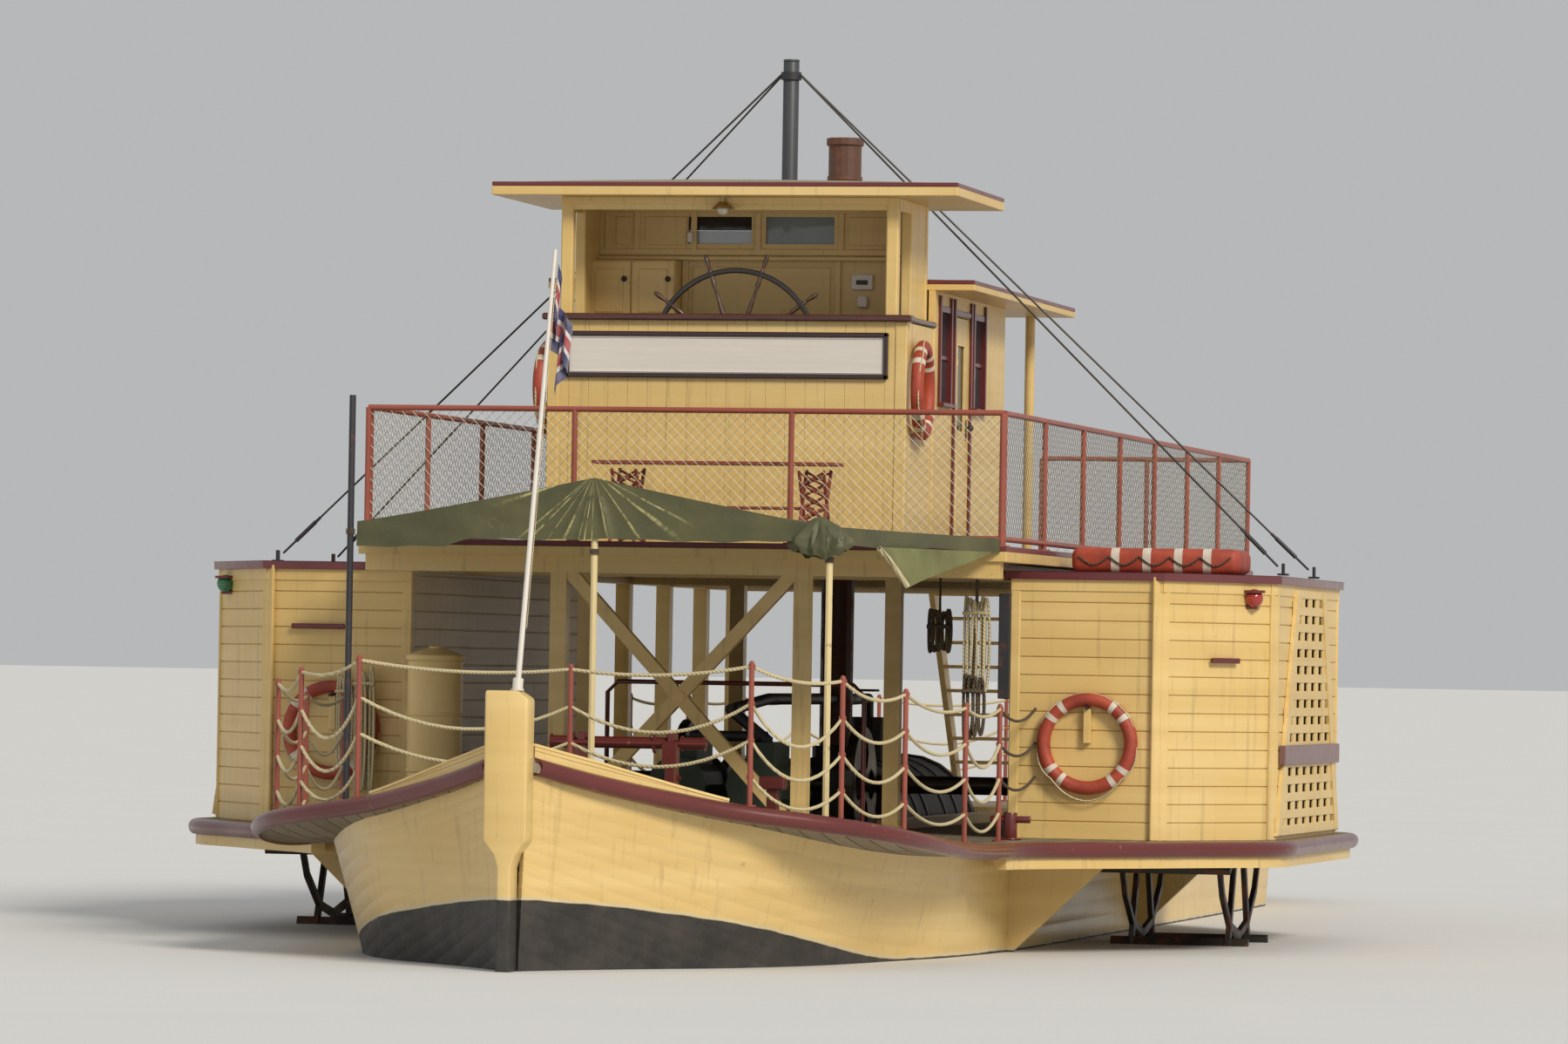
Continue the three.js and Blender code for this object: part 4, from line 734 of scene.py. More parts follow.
def boarded_wall(start, end, foot, top, pitch, thickness, gap=BOARD_GAP, eased=0.004):
    """Boards stacked between two points in plan, their outer faces on that line, to its right."""
    start, end = Vector((*start, 0)), Vector((*end, 0))
    along = end - start
    length = along.length
    count = math.ceil((top - foot) / pitch)
    board = timber((0, 0, 0), (length, thickness, pitch - gap), eased)
    repeated(board, count, (0, 0, pitch))
    backing = timber((0, thickness * 0.55, 0), (length, thickness + 0.012, top - foot), 0)
    if count * pitch > top - foot:
        with edit_mode(board):
            bpy.ops.mesh.bisect(plane_co=(0, 0, top - foot), plane_no=(0, 0, 1), clear_outer=True,
                                use_fill=True)
    return stood_along(joined([board, backing]), start, along, foot)


def corner_post(x, y, foot, top, half=0.035):
    """A square post about a point in plan."""
    return timber((x - half, y - half, foot), (x + half, y + half, top), 0.01)


def finish_pair(made, name, material, stands_for=None):
    """Finishes a port piece and its mirrored copy, with each one's side added to the names."""
    for side, piece in (("starboard", copied(made, MIRRORED)), ("port", made)):
        finish_piece(piece, f"{name}_{side}", material,
                     stands_for=[f"{stands_for}_{side}"] if stands_for else ())


def port_paddle_box():
    """Walls, corner boards and frieze of the port box, open on its outer side for the grille."""
    b = BOX
    plan = [
        (b["inner"], b["front"]), (b["shoulder"], b["front"]), (b["outer"], b["chamfer"]),
        (b["outer"], BOX_CHAMFER_BACK), (b["shoulder"], BOX_BACK), (b["inner"], BOX_BACK),
    ]
    foot, top = DECK_Z, BOX_ROOF_FOOT
    walls = [boarded_wall(p, q, foot, top, WEATHERBOARD, BOX_SKIN) for p, q in zip(plan, plan[1:])]
    inner = boarded_wall((b["inner"], BOX_BACK - 0.03), (b["inner"], b["front"] + 0.03), foot, top,
                         WEATHERBOARD, BOX_SKIN)
    outlet = [
        (SHAFT_Y - 1.49, 1.68), (SHAFT_Y + 1.49, 1.68), (SHAFT_Y + 0.70, 3.42), (SHAFT_Y - 0.70, 3.42)]
    cutter = timber((b["outer"] - 0.2, -1, 1.68), (b["outer"] + 0.2, 1, 3.42), 0)
    for vertex in cutter.data.vertices:
        low = vertex.co.z < 2.5
        pair = (outlet[0][0], outlet[1][0]) if low else (outlet[3][0], outlet[2][0])
        vertex.co.y = pair[0] if vertex.co.y < 0 else pair[1]
    cut_away(walls[2], [cutter])
    cut_away(inner, [bar((b["inner"] - 0.1, SHAFT_Y, SHAFT_Z), (b["inner"] + 0.2, SHAFT_Y, SHAFT_Z), 0.09,
                         24)])
    corners = [corner_post(b["inner"] + 0.036, b["front"] + 0.034, foot, top, 0.04)]
    corners.append(corner_post(b["inner"] + 0.036, BOX_BACK - 0.034, foot, top, 0.04))
    board = 0.075
    for (x, y), tilt in ((plan[1], 45), (plan[2], 75), (plan[3], 105), (plan[4], 135)):
        strip = timber((-board, -0.012, foot), (board, 0.014, top), 0.006)
        facing = Vector((math.cos(math.radians(tilt - 90)), math.sin(math.radians(tilt - 90))))
        turn = Matrix.Translation((x - 0.016 * facing.x, y - 0.016 * facing.y, 0)) @ Matrix.Rotation(
            math.atan2(facing.y, facing.x) + math.pi / 2, 4, "Z")
        strip.data.transform(turn)
        corners.append(strip)
    frieze = []
    for p, q in zip(plan, plan[1:]):
        plank = boarded_wall(p, q, top - 0.115, top, 0.115, 0.012, gap=0.0, eased=0.004)
        along = (Vector(q) - Vector(p)).normalized()
        plank.data.transform(Matrix.Translation((along.y * 0.010, -along.x * 0.010, 0)))
        frieze.append(plank)
    return joined([*walls, inner, *corners, *frieze])


def box_roof():
    """The roof slab of the port box: a flat slab with its edges rounded."""
    b, over = BOX, BOX_OVERHANG
    slant = over * 0.58
    plan = [
        (b["inner"] - over, b["front"] - over), (b["shoulder"] + slant, b["front"] - over),
        (b["outer"] + over, b["chamfer"] - slant), (b["outer"] + over, BOX_CHAMFER_BACK + slant),
        (b["shoulder"] + slant, BOX_BACK + over), (b["inner"] - over, BOX_BACK + over),
    ]
    slab = primitive("circle", vertices=6, radius=1, fill_type="NGON")
    for vertex, (x, y) in zip(slab.data.vertices, plan):
        vertex.co = (x, y, BOX_ROOF_FOOT - 0.03)
    turn_outward(slab, (0, 0, -1))
    with edit_mode(slab):
        bpy.ops.mesh.extrude_region_move(TRANSFORM_OT_translate={"value": (0, 0, 0.062)})
        bpy.ops.mesh.normals_make_consistent(inside=False)
    apply_modifier(slab, "BEVEL", width=0.008, segments=2, limit_method="ANGLE")
    return slab


def hand_hold(length):
    """A flat bar on two feet, built lying along X with its wall at y 0, facing -Y."""
    grip = timber((-length / 2, -0.055, -0.02), (length / 2, -0.030, 0.02), 0.006)
    feet = [timber((x - 0.02, -0.035, -0.015), (x + 0.02, 0.004, 0.015), 0.004)
            for x in (-length / 2 + 0.05, length / 2 - 0.05)]
    return joined([grip, *feet])


finish_pair(port_paddle_box(), "paddle_box_boards", cream_timber_paint, "paddle_box")

roof_edge_paint = gloss_maroon("maroon_roof_edge_enamel", ("#61262C", "#743338"), gloss=0.3)
finish_piece(both_sides(box_roof()), "paddle_box_roofs", roof_edge_paint)

chamfer_angle = math.atan2(BOX["chamfer"] - BOX["front"], BOX["outer"] - BOX["shoulder"])
port_hold = hand_hold(0.30)
port_hold.data.transform(Matrix.Translation((3.80, -4.452, 2.93)) @ Matrix.Rotation(chamfer_angle, 4, "Z"))
starboard_hold = hand_hold(0.42)
starboard_hold.data.transform(Matrix.Translation((-3.02, BOX["front"], 3.08)))
finish_piece(joined([port_hold, starboard_hold]), "paddle_box_hand_holds", maroon_paint)


# Sidelights
# Red lamp to port and green to starboard, each a round glass under a small hood, on a seat fixed below
# the roof's edge at the outer corner of its box.
SIDELIGHT = (4.0, -4.22, 3.40)


def sidelight():
    """The glass of the port lamp, and its hood and seat as one."""
    x, y, z = SIDELIGHT
    glass = primitive("uv_sphere", segments=20, ring_count=10, radius=0.07, location=SIDELIGHT)
    hood = bar((x, y, z + 0.04), (x, y, z + 0.06), 0.085, 20)
    seat = timber((x - 0.07, y - 0.02, z - 0.08), (x + 0.03, y + 0.10, z - 0.055), 0.004)
    return glass, joined([hood, seat])


def lamp_glass(name, colour):
    """Pressed lamp glass: clear gloss over a strong body colour."""
    made, tree, shader, place = new_material(name)
    ribs = add_node(tree, "TexWave", {"Vector": place, "Scale": 22.0}, bands_direction="Z")
    tint = add_node(tree, "MixRGB", {"Fac": ribs.outputs["Fac"], "Color1": colour[0], "Color2": colour[1]})
    connect(shader, {"Base Color": tint, "Roughness": 0.12, "Coat Weight": 0.6})
    return made


port_glass, port_housing = sidelight()
starboard_glass = copied(port_glass, MIRRORED)
finish_piece(port_glass, "sidelight_port", lamp_glass("red_lamp_glass", ("#8E1F1C", "#B23A30")))
finish_piece(starboard_glass, "sidelight_starboard", lamp_glass("green_lamp_glass", ("#1E5A3A", "#2F7D52")))
finish_piece(both_sides(port_housing), "sidelight_housings", maroon_paint)


# Paddle box grilles
# A trapezoid panel of crossing battens on the outer side of each box, that lets air and water out of
# the wheel's casing, with a plain rubbing board across it.
GRILLE = {"foot": 1.65, "head": 3.45, "foot_half": 1.54, "head_half": 0.72, "border": 0.03, "rows": 14}
GRILLE_BAND = (2.15, 2.30)
GRILLE_PITCH = 0.372


def port_grille():
    """The lattice with its frame as one piece, and the rubbing board across it."""
    g = GRILLE
    inner, outer = BOX["outer"] + 0.001, BOX["outer"] + 0.030
    foot, head = g["foot"] - g["border"], g["head"] + g["border"]
    reach = g["foot_half"] + g["border"]

    def half_at(z):
        share = (z - g["foot"]) / (g["head"] - g["foot"])
        return g["foot_half"] + (g["head_half"] - g["foot_half"]) * share
    pitch = (g["head"] - g["foot"]) / g["rows"]
    battens = []
    for row in range(g["rows"] + 1):
        z = g["foot"] + row * pitch
        half = half_at(z) + 0.01
        battens.append(timber((inner + 0.010, SHAFT_Y - half, z - 0.033),
                              (outer - 0.004, SHAFT_Y + half, z + 0.033), 0.003))
    columns = 9
    for column in range(columns):
        y = (column - (columns - 1) / 2) * GRILLE_PITCH
        top = g["head"]
        if abs(y) > g["head_half"]:
            share = (g["foot_half"] - abs(y)) / (g["foot_half"] - g["head_half"])
            top = g["foot"] + share * (g["head"] - g["foot"])
        if top > g["foot"] + 0.1:
            battens.append(timber((inner + 0.002, SHAFT_Y + y - 0.085, g["foot"]),
                                  (inner + 0.019, SHAFT_Y + y + 0.085, top), 0.003))
    frame_low = timber((inner, SHAFT_Y - reach, foot), (outer, SHAFT_Y + reach, g["foot"] + 0.045), 0.004)
    frame_high = timber((inner, SHAFT_Y - g["head_half"] - 0.03, g["head"] - 0.03),
                        (outer, SHAFT_Y + g["head_half"] + 0.03, head), 0.004)
    cheeks = []
    for side in (-1, 1):
        cheek = timber((inner + 0.001, -0.5, foot + 0.002), (outer + 0.003, 0.5, head - 0.002), 0.004)
        for vertex in cheek.data.vertices:
            edge = half_at(vertex.co.z) + 0.03
            within = edge - 0.20 if vertex.co.y < 0 else edge
            vertex.co.y = SHAFT_Y + side * within
        if side < 0:
            cheek.data.flip_normals()
        cheeks.append(cheek)
    lattice = joined([*battens, frame_low, frame_high, *cheeks])
    half = g["foot_half"] - 0.13
    band = timber((inner, SHAFT_Y - half, GRILLE_BAND[0]), (outer + 0.025, SHAFT_Y + half, GRILLE_BAND[1]),
                  0.008)
    return lattice, band


port_lattice, port_band = port_grille()
finish_pair(port_lattice, "paddle_box_lattice", cream_timber_paint, "paddle_box_grille")
band_paint = gloss_maroon("faded_maroon_rubbing_board", ("#6B4A4A", "#7C5955"), gloss=0.45)
finish_piece(both_sides(port_band), "grille_rubbing_boards", band_paint)


# Paddle wheels, shaft and machinery
# Red gum floats bolted to iron arms and hoops, a forged shaft in pedestal bearings, and a steam engine
# ahead of a locomotive-type boiler in the open well. Their shapes are the frame's own.
def painted_iron(name, colours, rust="#6B3F28", gloss=0.5, rust_from=0.58):
    """Black or dark enamel on iron, dulled by heat and water, rust breaking through in patches."""
    made, tree, shader, place = new_material(name)
    drift = add_node(tree, "TexNoise", {"Vector": place, "Scale": 3.0, "Detail": 5})
    tint = add_node(tree, "MixRGB", {"Fac": drift, "Color1": colours[0], "Color2": colours[1]})
    patches = add_node(tree, "TexNoise", {"Vector": place, "Scale": 6.0, "Detail": 8, "Roughness": 0.7})
    patch_span = add_node(tree, "MapRange",
                          {"Value": patches, "From Min": rust_from, "From Max": rust_from + 0.1,
                           "To Max": 0.85})
    rusted = add_node(tree, "MixRGB", {"Fac": patch_span, "Color1": tint, "Color2": rust})
    rough = add_node(tree, "MapRange", {"Value": patch_span, "To Min": gloss, "To Max": 0.9})
    bump = relief(tree, (patches, 0.004))
    connect(shader, {"Base Color": rusted, "Roughness": rough, "Normal": bump})
    return made


def worn_steel(name):
    """Oiled machined steel: grey metal with brown oil film and fine turning marks."""
    made, tree, shader, place = new_material(name)
    film = add_node(tree, "TexNoise", {"Vector": place, "Scale": 5.0, "Detail": 5})
    tint = add_node(tree, "MixRGB", {"Fac": film, "Color1": "#77726A", "Color2": "#4C443B"})
    rough = add_node(tree, "MapRange", {"Value": film, "To Min": 0.25, "To Max": 0.55})
    connect(shader, {"Base Color": tint, "Metallic": 0.9, "Roughness": rough})
    return made


def dress_node(node, material, eased=0.006):
    """Keeps a node of the frame: its finish, and a small live bevel on its edges."""
    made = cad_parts[node]
    made.data.materials.clear()
    made.data.materials.append(material)
    if eased:
        weld = made.modifiers.new("Weld", "WELD")
        weld.merge_threshold = 0.0002
        bevel = made.modifiers.new("Bevel", "BEVEL")
        bevel.width = eased
        bevel.segments = 1
        bevel.limit_method = "ANGLE"
        bevel.angle_limit = math.radians(35)


wheel_iron = painted_iron("wet_black_iron_and_red_gum", ("#24211E", "#3A332C"), gloss=0.45, rust_from=0.52)
black_iron = painted_iron("black_painted_iron", ("#26262A", "#35343A"))
engine_iron = painted_iron("green_engine_enamel", ("#2E3A30", "#3F4A3C"), rust="#3A2E22", rust_from=0.62)
boiler_plate = painted_iron("black_heat_paint_on_boiler_plate", ("#2A2827", "#413B36"), gloss=0.6)
funnel_plate = painted_iron("brown_heat_paint_on_funnel_plate", ("#573A2E", "#6A4636"), rust="#7C4A30",
                            rust_from=0.5)
oiled_steel = worn_steel("oiled_machined_steel")
for side in ("port", "starboard"):
    dress_node(f"paddle_wheel_{side}", wheel_iron, 0.004)
    dress_node(f"shaft_bearing_{side}", black_iron)
for node, material in (("paddle_shaft", oiled_steel), ("flywheel", oiled_steel), ("engine", engine_iron),
                       ("boiler", boiler_plate), ("funnel", funnel_plate)):
    dress_node(node, material)


def boiler_fittings():
    """Lagging bands round the boiler, and its smokebox door with strap and hand wheel."""
    y_front, z, radius = -0.90, 1.50, 0.60
    parts = []
    for y in (0.15, 0.55, 1.3, 1.8):
        band = primitive("cylinder", vertices=48, radius=radius + 0.006, depth=0.05, location=(0, y, z),
                         rotation=(math.pi / 2, 0, 0), end_fill_type="NOTHING")
        parts.append(apply_modifier(band, "SOLIDIFY", thickness=0.008, offset=0))
    door = bar((0, y_front - 0.09, z), (0, y_front - 0.055, z), 0.42, 40)
    strap = timber((-0.46, y_front - 0.115, z - 0.03), (0.46, y_front - 0.088, z + 0.03), 0.004)
    wheel = bar((0, y_front - 0.14, z), (0, y_front - 0.11, z), 0.07, 20)
    made = joined([*parts, door, strap, wheel])
    return apply_modifier(made, "BEVEL", width=0.004, segments=1, limit_method="ANGLE")


finish_piece(boiler_fittings(), "boiler_bands_and_smokebox_door", black_iron)


def steam_pipe():
    """Steam pipe from the boiler forward to the engine, where it branches, and its valve's hand wheel."""
    points = [(0, 0.9, 2.42), (0, 0.9, 2.58), (0, -2.9, 2.58), (0, -4.2, 2.5), (0.3, -4.25, 2.27)]
    pipes = [bar(a, b, 0.045, 14) for a, b in zip(points, points[1:])]
    cross = bar((-0.3, -4.25, 2.30), (0.3, -4.25, 2.30), 0.04, 14)
    drops = [bar((x, -4.25, 2.24), (x, -4.25, 2.30), 0.04, 14) for x in (-0.3, 0.3)]
    wheel = bar((0, 0.9, 2.64), (0, 0.9, 2.66), 0.09, 18)
    return joined([*pipes, cross, *drops, wheel])


finish_piece(steam_pipe(), "steam_pipe", black_iron)


# Upper deck frame
# Posts, beams and stringers of dressed timber, with crossed braces in the front bay bolted at their
# middle, all in cream enamel.
post_paint = painted_timber("cream_enamel_on_posts", (CREAM, CREAM_SUN, CREAM_SHADE), gloss=0.35)
dress_node("upper_deck_frame", post_paint, 0.010)


def frame_fittings():
    """The shoes of the posts and the bolt plate where the braces cross."""
    parts = []
    for x, y in ((0.92, -5.97), (1.20, -4.0), (1.20, 1.24), (2.18, 1.24), (2.18, 2.70), (2.18, 4.10),
                 (2.18, 5.38)):
        for side in (1, -1):
            px = side * x
            parts.append(timber((px - 0.075, y - 0.012, DECK_Z), (px + 0.075, y + 0.132, DECK_Z + 0.05),
                                0.006))
    plate = bar((0, -5.975, 2.595), (0, -5.955, 2.595), 0.05, 16)
    return joined([*parts, plate])


finish_piece(frame_fittings(), "post_shoes_and_brace_bolt", post_paint)


# Upper deck
# Narrow planks across the beams under painted canvas, with a deep cream fascia and a maroon capping
# along its edge.
UPPER = {"half": 2.45, "front": -6.00, "back": 5.60, "top": 3.73, "thickness": 0.11}


def upper_deck():
    """The slab, with the funnel's hole."""
    u = UPPER
    slab = timber((-u["half"] + 0.022, u["front"] + 0.022, u["top"] - u["thickness"]),
                  (u["half"] - 0.022, u["back"] - 0.022, u["top"]), 0.004)
    hole = bar((0, -0.37, 3.5), (0, -0.37, 3.9), 0.165, 32)
    return cut_away(slab, [hole])


def edging(half, y0, y1, low, high, board, eased):
    """A board along each edge of a deck or roof, the two side ones let in between the end ones."""
    return [
        timber((-half, y0, low), (half, y0 + board, high), eased),
        timber((-half, y1 - board, low), (half, y1, high), eased),
        timber((-half, y0 + board, low), (-half + board, y1 - board, high), eased),
        timber((half - board, y0 + board, low), (half, y1 - board, high), eased)]


deck_canvas = weathered_planks("grey_painted_deck_planks", 0.14, along_x=True)
finish_piece(upper_deck(), "upper_deck_planks", deck_canvas, stands_for=["upper_deck"])
UPPER_OUTLINE = (UPPER["half"], UPPER["front"], UPPER["back"])
fascia = edging(*UPPER_OUTLINE, UPPER["top"] - UPPER["thickness"], UPPER["top"] - 0.035, 0.022, 0.005)
capping = edging(*UPPER_OUTLINE, UPPER["top"] - 0.034, UPPER["top"] + 0.006, 0.05, 0.005)
finish_piece(joined(fascia), "upper_deck_fascia", cream_timber_paint)
finish_piece(joined(capping), "upper_deck_capping", roof_edge_paint)


# Upper rails
# Steel pipe rails in red oxide paint, welded at their posts, and filled from the bottom rail to the
# top one with diamond wire mesh.
RAIL_X = UPPER["half"] - 0.05
RAIL_FRONT_Y = UPPER["front"] + 0.05
RAIL_HEIGHTS = (0.08, 1.00)
PIPE = 0.021
MESH_PITCH = 0.058
WIRE = 0.0022


def rail_paint_material():
    """Red oxide primer and gloss on pipe, paler in random drifts, worn to grey in scattered patches."""
    made, tree, shader, place = new_material("red_oxide_paint_on_pipe")
    drift = add_node(tree, "TexNoise", {"Vector": place, "Scale": 2.2, "Detail": 5})
    tint = add_node(tree, "MixRGB", {"Fac": drift, "Color1": "#853F31", "Color2": "#A85C4B"})
    wear = add_node(tree, "TexNoise", {"Vector": place, "Scale": 14.0, "Detail": 6, "Roughness": 0.7})
    worn = overlaid(tree, tint, "#5C4A44", wear, 0.62, 0.7, 0.6)
    connect(shader, {"Base Color": worn, "Roughness": 0.42})
    return made


def galvanised_wire():
    """Zinc-coated wire gone dull: pale grey metal with a little cream paint left on it."""
    made, tree, shader, place = new_material("dull_galvanised_wire")
    drift = add_node(tree, "TexNoise", {"Vector": place, "Scale": 1.5, "Detail": 4})
    tint = add_node(tree, "MixRGB", {"Fac": drift, "Color1": "#B9B29E", "Color2": "#8E8878"})
    connect(shader, {"Base Color": tint, "Metallic": 0.35, "Roughness": 0.5})
    return made


rail_paint = rail_paint_material()
mesh_wire = galvanised_wire()


def pipe_run(points, radius=PIPE, sides=14):
    """Pipe through a row of points, with a ball where two lengths meet."""
    parts = [bar(a, b, radius, sides) for a, b in zip(points, points[1:])]
    for corner in points[1:-1]:
        parts.append(primitive("uv_sphere", segments=sides, ring_count=8, radius=radius, location=corner))
    return joined(parts)


def rail_frame(corners, posts):
    """Two pipes through the corners, with a flanged post at each place."""
    top = UPPER["top"]
    runs = [pipe_run([(x, y, top + level - PIPE) for x, y in corners]) for level in RAIL_HEIGHTS]
    uprights = [bar((x, y, top), (x, y, top + RAIL_HEIGHTS[-1] - PIPE), PIPE, 14) for x, y in posts]
    flanges = [bar((x, y, top + 0.001), (x, y, top + 0.013), 0.05, 16) for x, y in posts]
    return joined([*runs, *uprights, *flanges])


def wire_panel(start, end):
    """Diamond mesh stretched between two points in plan: two sets of slanted wires, cut to the rails."""
    start, end = Vector((*start, 0)), Vector((*end, 0))
    length = (end - start).length
    low, high = RAIL_HEIGHTS[0] - PIPE, RAIL_HEIGHTS[-1] - PIPE
    height = high - low
    wires = []
    for way in (1, -1):
        first = -height if way > 0 else 0.0
        count = int((length + height) / (MESH_PITCH * math.sqrt(2)))
        offset = way * WIRE * 0.9
        wire = bar((first, offset, 0), (first + way * height, offset, height), WIRE, 3)
        wires.append(repeated(wire, count, (MESH_PITCH * math.sqrt(2), 0, 0)))
    panel = joined(wires)
    with edit_mode(panel):
        for plane_x, normal in ((0.0, -1), (length, 1)):
            bpy.ops.mesh.select_all(action="SELECT")
            bpy.ops.mesh.bisect(plane_co=(plane_x, 0, 0), plane_no=(normal, 0, 0), clear_outer=True,
                                use_fill=True)
    return stood_along(panel, start, end - start, UPPER["top"] + low)


front_rail = rail_frame([(-RAIL_X, RAIL_FRONT_Y), (RAIL_X, RAIL_FRONT_Y)],
                        [(x, RAIL_FRONT_Y) for x in (-RAIL_X, -0.82, 0.82, RAIL_X)])
finish_piece(front_rail, "front_pipe_rail", rail_paint, stands_for=["upper_rail_forward"])
finish_piece(wire_panel((-RAIL_X, RAIL_FRONT_Y), (RAIL_X, RAIL_FRONT_Y)), "front_rail_mesh", mesh_wire)
RAIL_SIDE_FRONT = UPPER["front"] + 0.12
RAIL_BACK_Y = UPPER["back"] - 0.05
side_posts = [(RAIL_X, RAIL_SIDE_FRONT + (RAIL_BACK_Y - RAIL_SIDE_FRONT) * i / 7) for i in range(8)]
port_rail = rail_frame([(RAIL_X, RAIL_SIDE_FRONT), (RAIL_X, RAIL_BACK_Y), (0.56, RAIL_BACK_Y)],
                       [*side_posts, (1.5, RAIL_BACK_Y), (0.56, RAIL_BACK_Y)])
port_mesh = joined([wire_panel((RAIL_X, RAIL_SIDE_FRONT), (RAIL_X, RAIL_BACK_Y)),
                    wire_panel((RAIL_X, RAIL_BACK_Y), (0.56, RAIL_BACK_Y))])
finish_pair(port_rail, "side_pipe_rail", rail_paint, "upper_rail")
finish_pair(port_mesh, "side_rail_mesh", mesh_wire)


# Bench
# A slatted seat on crossed legs of flat-iron lattice, in the same red paint as the rails. It stands
# along the front rail.
def leg_lattice(x):
    """One leg: two uprights 0.2 m apart with crossed flats riveted between them."""
    bars = [timber((x + side * 0.092 - 0.012, -0.02, 0), (x + side * 0.092 + 0.012, 0.0, 0.63), 0.003)
            for side in (-1, 1)]
    for step in range(6):
        for way in (-1, 1):
            slant = timber((-0.009, -0.014 + 0.003 * way, -0.105), (0.009, -0.008 + 0.003 * way, 0.105),
                           0.0015)
            slant.data.transform(Matrix.Translation((x, 0, 0.075 + 0.097 * step)) @ Matrix.Rotation(
                way * math.radians(60), 4, "Y"))
            bars.append(slant)
    return joined(bars)


def bench():
    """Seat slats on two crossed pairs of lattice legs, with a stay between the pairs."""
    top = UPPER["top"]
    y = RAIL_FRONT_Y + 0.16
    parts = [timber((-0.73, y + i * 0.06, top + 0.585), (1.12, y + i * 0.06 + 0.045, top + 0.61), 0.004)
             for i in range(5)]
    for x in (-0.48, 0.94):
        for way in (-1, 1):
            leg = leg_lattice(x)
            leg.data.transform(Matrix.Translation((0, y + 0.14 - way * 0.17, top)) @ Matrix.Rotation(
                way * math.radians(-29), 4, "X"))
            for vertex in leg.data.vertices:
                vertex.co.z = max(vertex.co.z, top + 0.001)
            parts.append(leg)
    stay = bar((-0.48, y + 0.14, top + 0.27), (0.94, y + 0.14, top + 0.27), 0.012, 10)
    return joined([*parts, stay])


finish_piece(bench(), "upper_deck_bench", rail_paint)


# Companion stair
# Open treads of sawn board housed in two strings, nailed up and painted in cream enamel. It stands on the
# aft deck and leans on the upper deck's edge.
dress_node("companion_stair", cream_timber_paint, 0.006)


# Wheelhouse walls
# Upright boards up to a varnished sill, slim corner posts set in from them, and a header under the
# roof, so that the front stands open. A window in each side, all in the same cream enamel.
WHEELHOUSE = {
    "half": 1.375, "front": -4.55, "back": -3.43, "foot": 3.7303, "sill": 5.485, "head": 6.285, "top": 6.37,
    "window_back": -4.03}
POST_INSET = 0.07
CORNER_POST = 0.092
UPRIGHT_BOARD = 0.150
UPRIGHT_GAP = 0.0016


def upright_boards(start, end, foot, top, thickness=0.020, backing=0.014):
    """Boards side by side between two points in plan, their outer faces on that line, to its right."""
    start, end = Vector((*start, 0)), Vector((*end, 0))
    along = end - start
    count = max(1, round(along.length / UPRIGHT_BOARD))
    pitch = along.length / count
    board = timber((0, 0, 0), (pitch - UPRIGHT_GAP, thickness, top - foot), 0.002)
    repeated(board, count, (pitch, 0, 0))
    lining = timber((0, thickness * 0.6, 0), (along.length, thickness + backing, top - foot), 0)
    return stood_along(joined([board, lining]), start, along, foot)


def wheelhouse_front():
    """Boards up to the sill, the two corner posts with their cover boards, and the header."""
    w = WHEELHOUSE
    half, front, sill = w["half"], w["front"], w["sill"]
    parts = [upright_boards((-half, front), (half, front), w["foot"], sill - 0.05, backing=0.036)]
    inner = half - POST_INSET
    for side in (1, -1):
        outer = side * inner
        parts.append(timber(
            (min(outer, outer - side * CORNER_POST), front + 0.012, sill - 0.02),
            (max(outer, outer - side * CORNER_POST), front + 0.012 + CORNER_POST, w["top"]), 0.010))
        parts.append(timber((side * half - 0.045 - 0.03 * side, front - 0.010, w["foot"]),
                            (side * half + 0.045 - 0.03 * side, front + 0.02, sill - 0.05), 0.006))
    parts.append(timber((-inner, front + 0.020, w["head"] - 0.012), (inner, front + 0.060, w["top"]), 0.004))
    parts.append(timber((-inner, front + 0.008, w["head"] + 0.030), (inner, front + 0.022, w["top"]), 0.004))
    return joined(parts)


def wheelhouse_side():
    """The port side: boards below the sill, the window's opening, and a broad panel behind it."""
    w = WHEELHOUSE
    half, front, back, sill = w["half"], w["front"], w["back"], w["sill"]
    inner = half - POST_INSET
    parts = [upright_boards((half, front + 0.02), (half, back), w["foot"], sill - 0.05, backing=0.036)]
    parts.append(upright_boards((inner, w["window_back"]), (inner, back), sill - 0.05, w["top"],
                                backing=0.030))
    parts.append(timber((inner - 0.045, front + 0.10, w["head"] - 0.012), (inner, w["window_back"], w["top"]),
                        0.004))
    parts.append(timber((inner - 0.07, w["window_back"] - 0.03, sill - 0.02),
                        (inner + 0.006, w["window_back"] + 0.03, w["top"]), 0.006))
    parts.append(timber((inner - 0.05, back - 0.06, sill - 0.02), (inner + 0.008, back, w["top"]), 0.006))
    parts.append(timber((half - 0.05, back - 0.055, w["foot"]), (half + 0.010, back - 0.001, sill - 0.05),
                        0.006))
    return joined(parts)


finish_piece(wheelhouse_front(), "wheelhouse_front_boards", cream_timber_paint,
             stands_for=["wheelhouse_front"])
finish_pair(wheelhouse_side(), "wheelhouse_side_boards", cream_timber_paint, "wheelhouse")


# Wheelhouse sill and name board
# A dark varnished ledge let over the boards all round, and a pale board in a dark moulded frame, left
# blank, screwed under it.
NAME_BOARD = {"half": 1.25, "low": 5.000, "high": 5.350, "frame": 0.036}


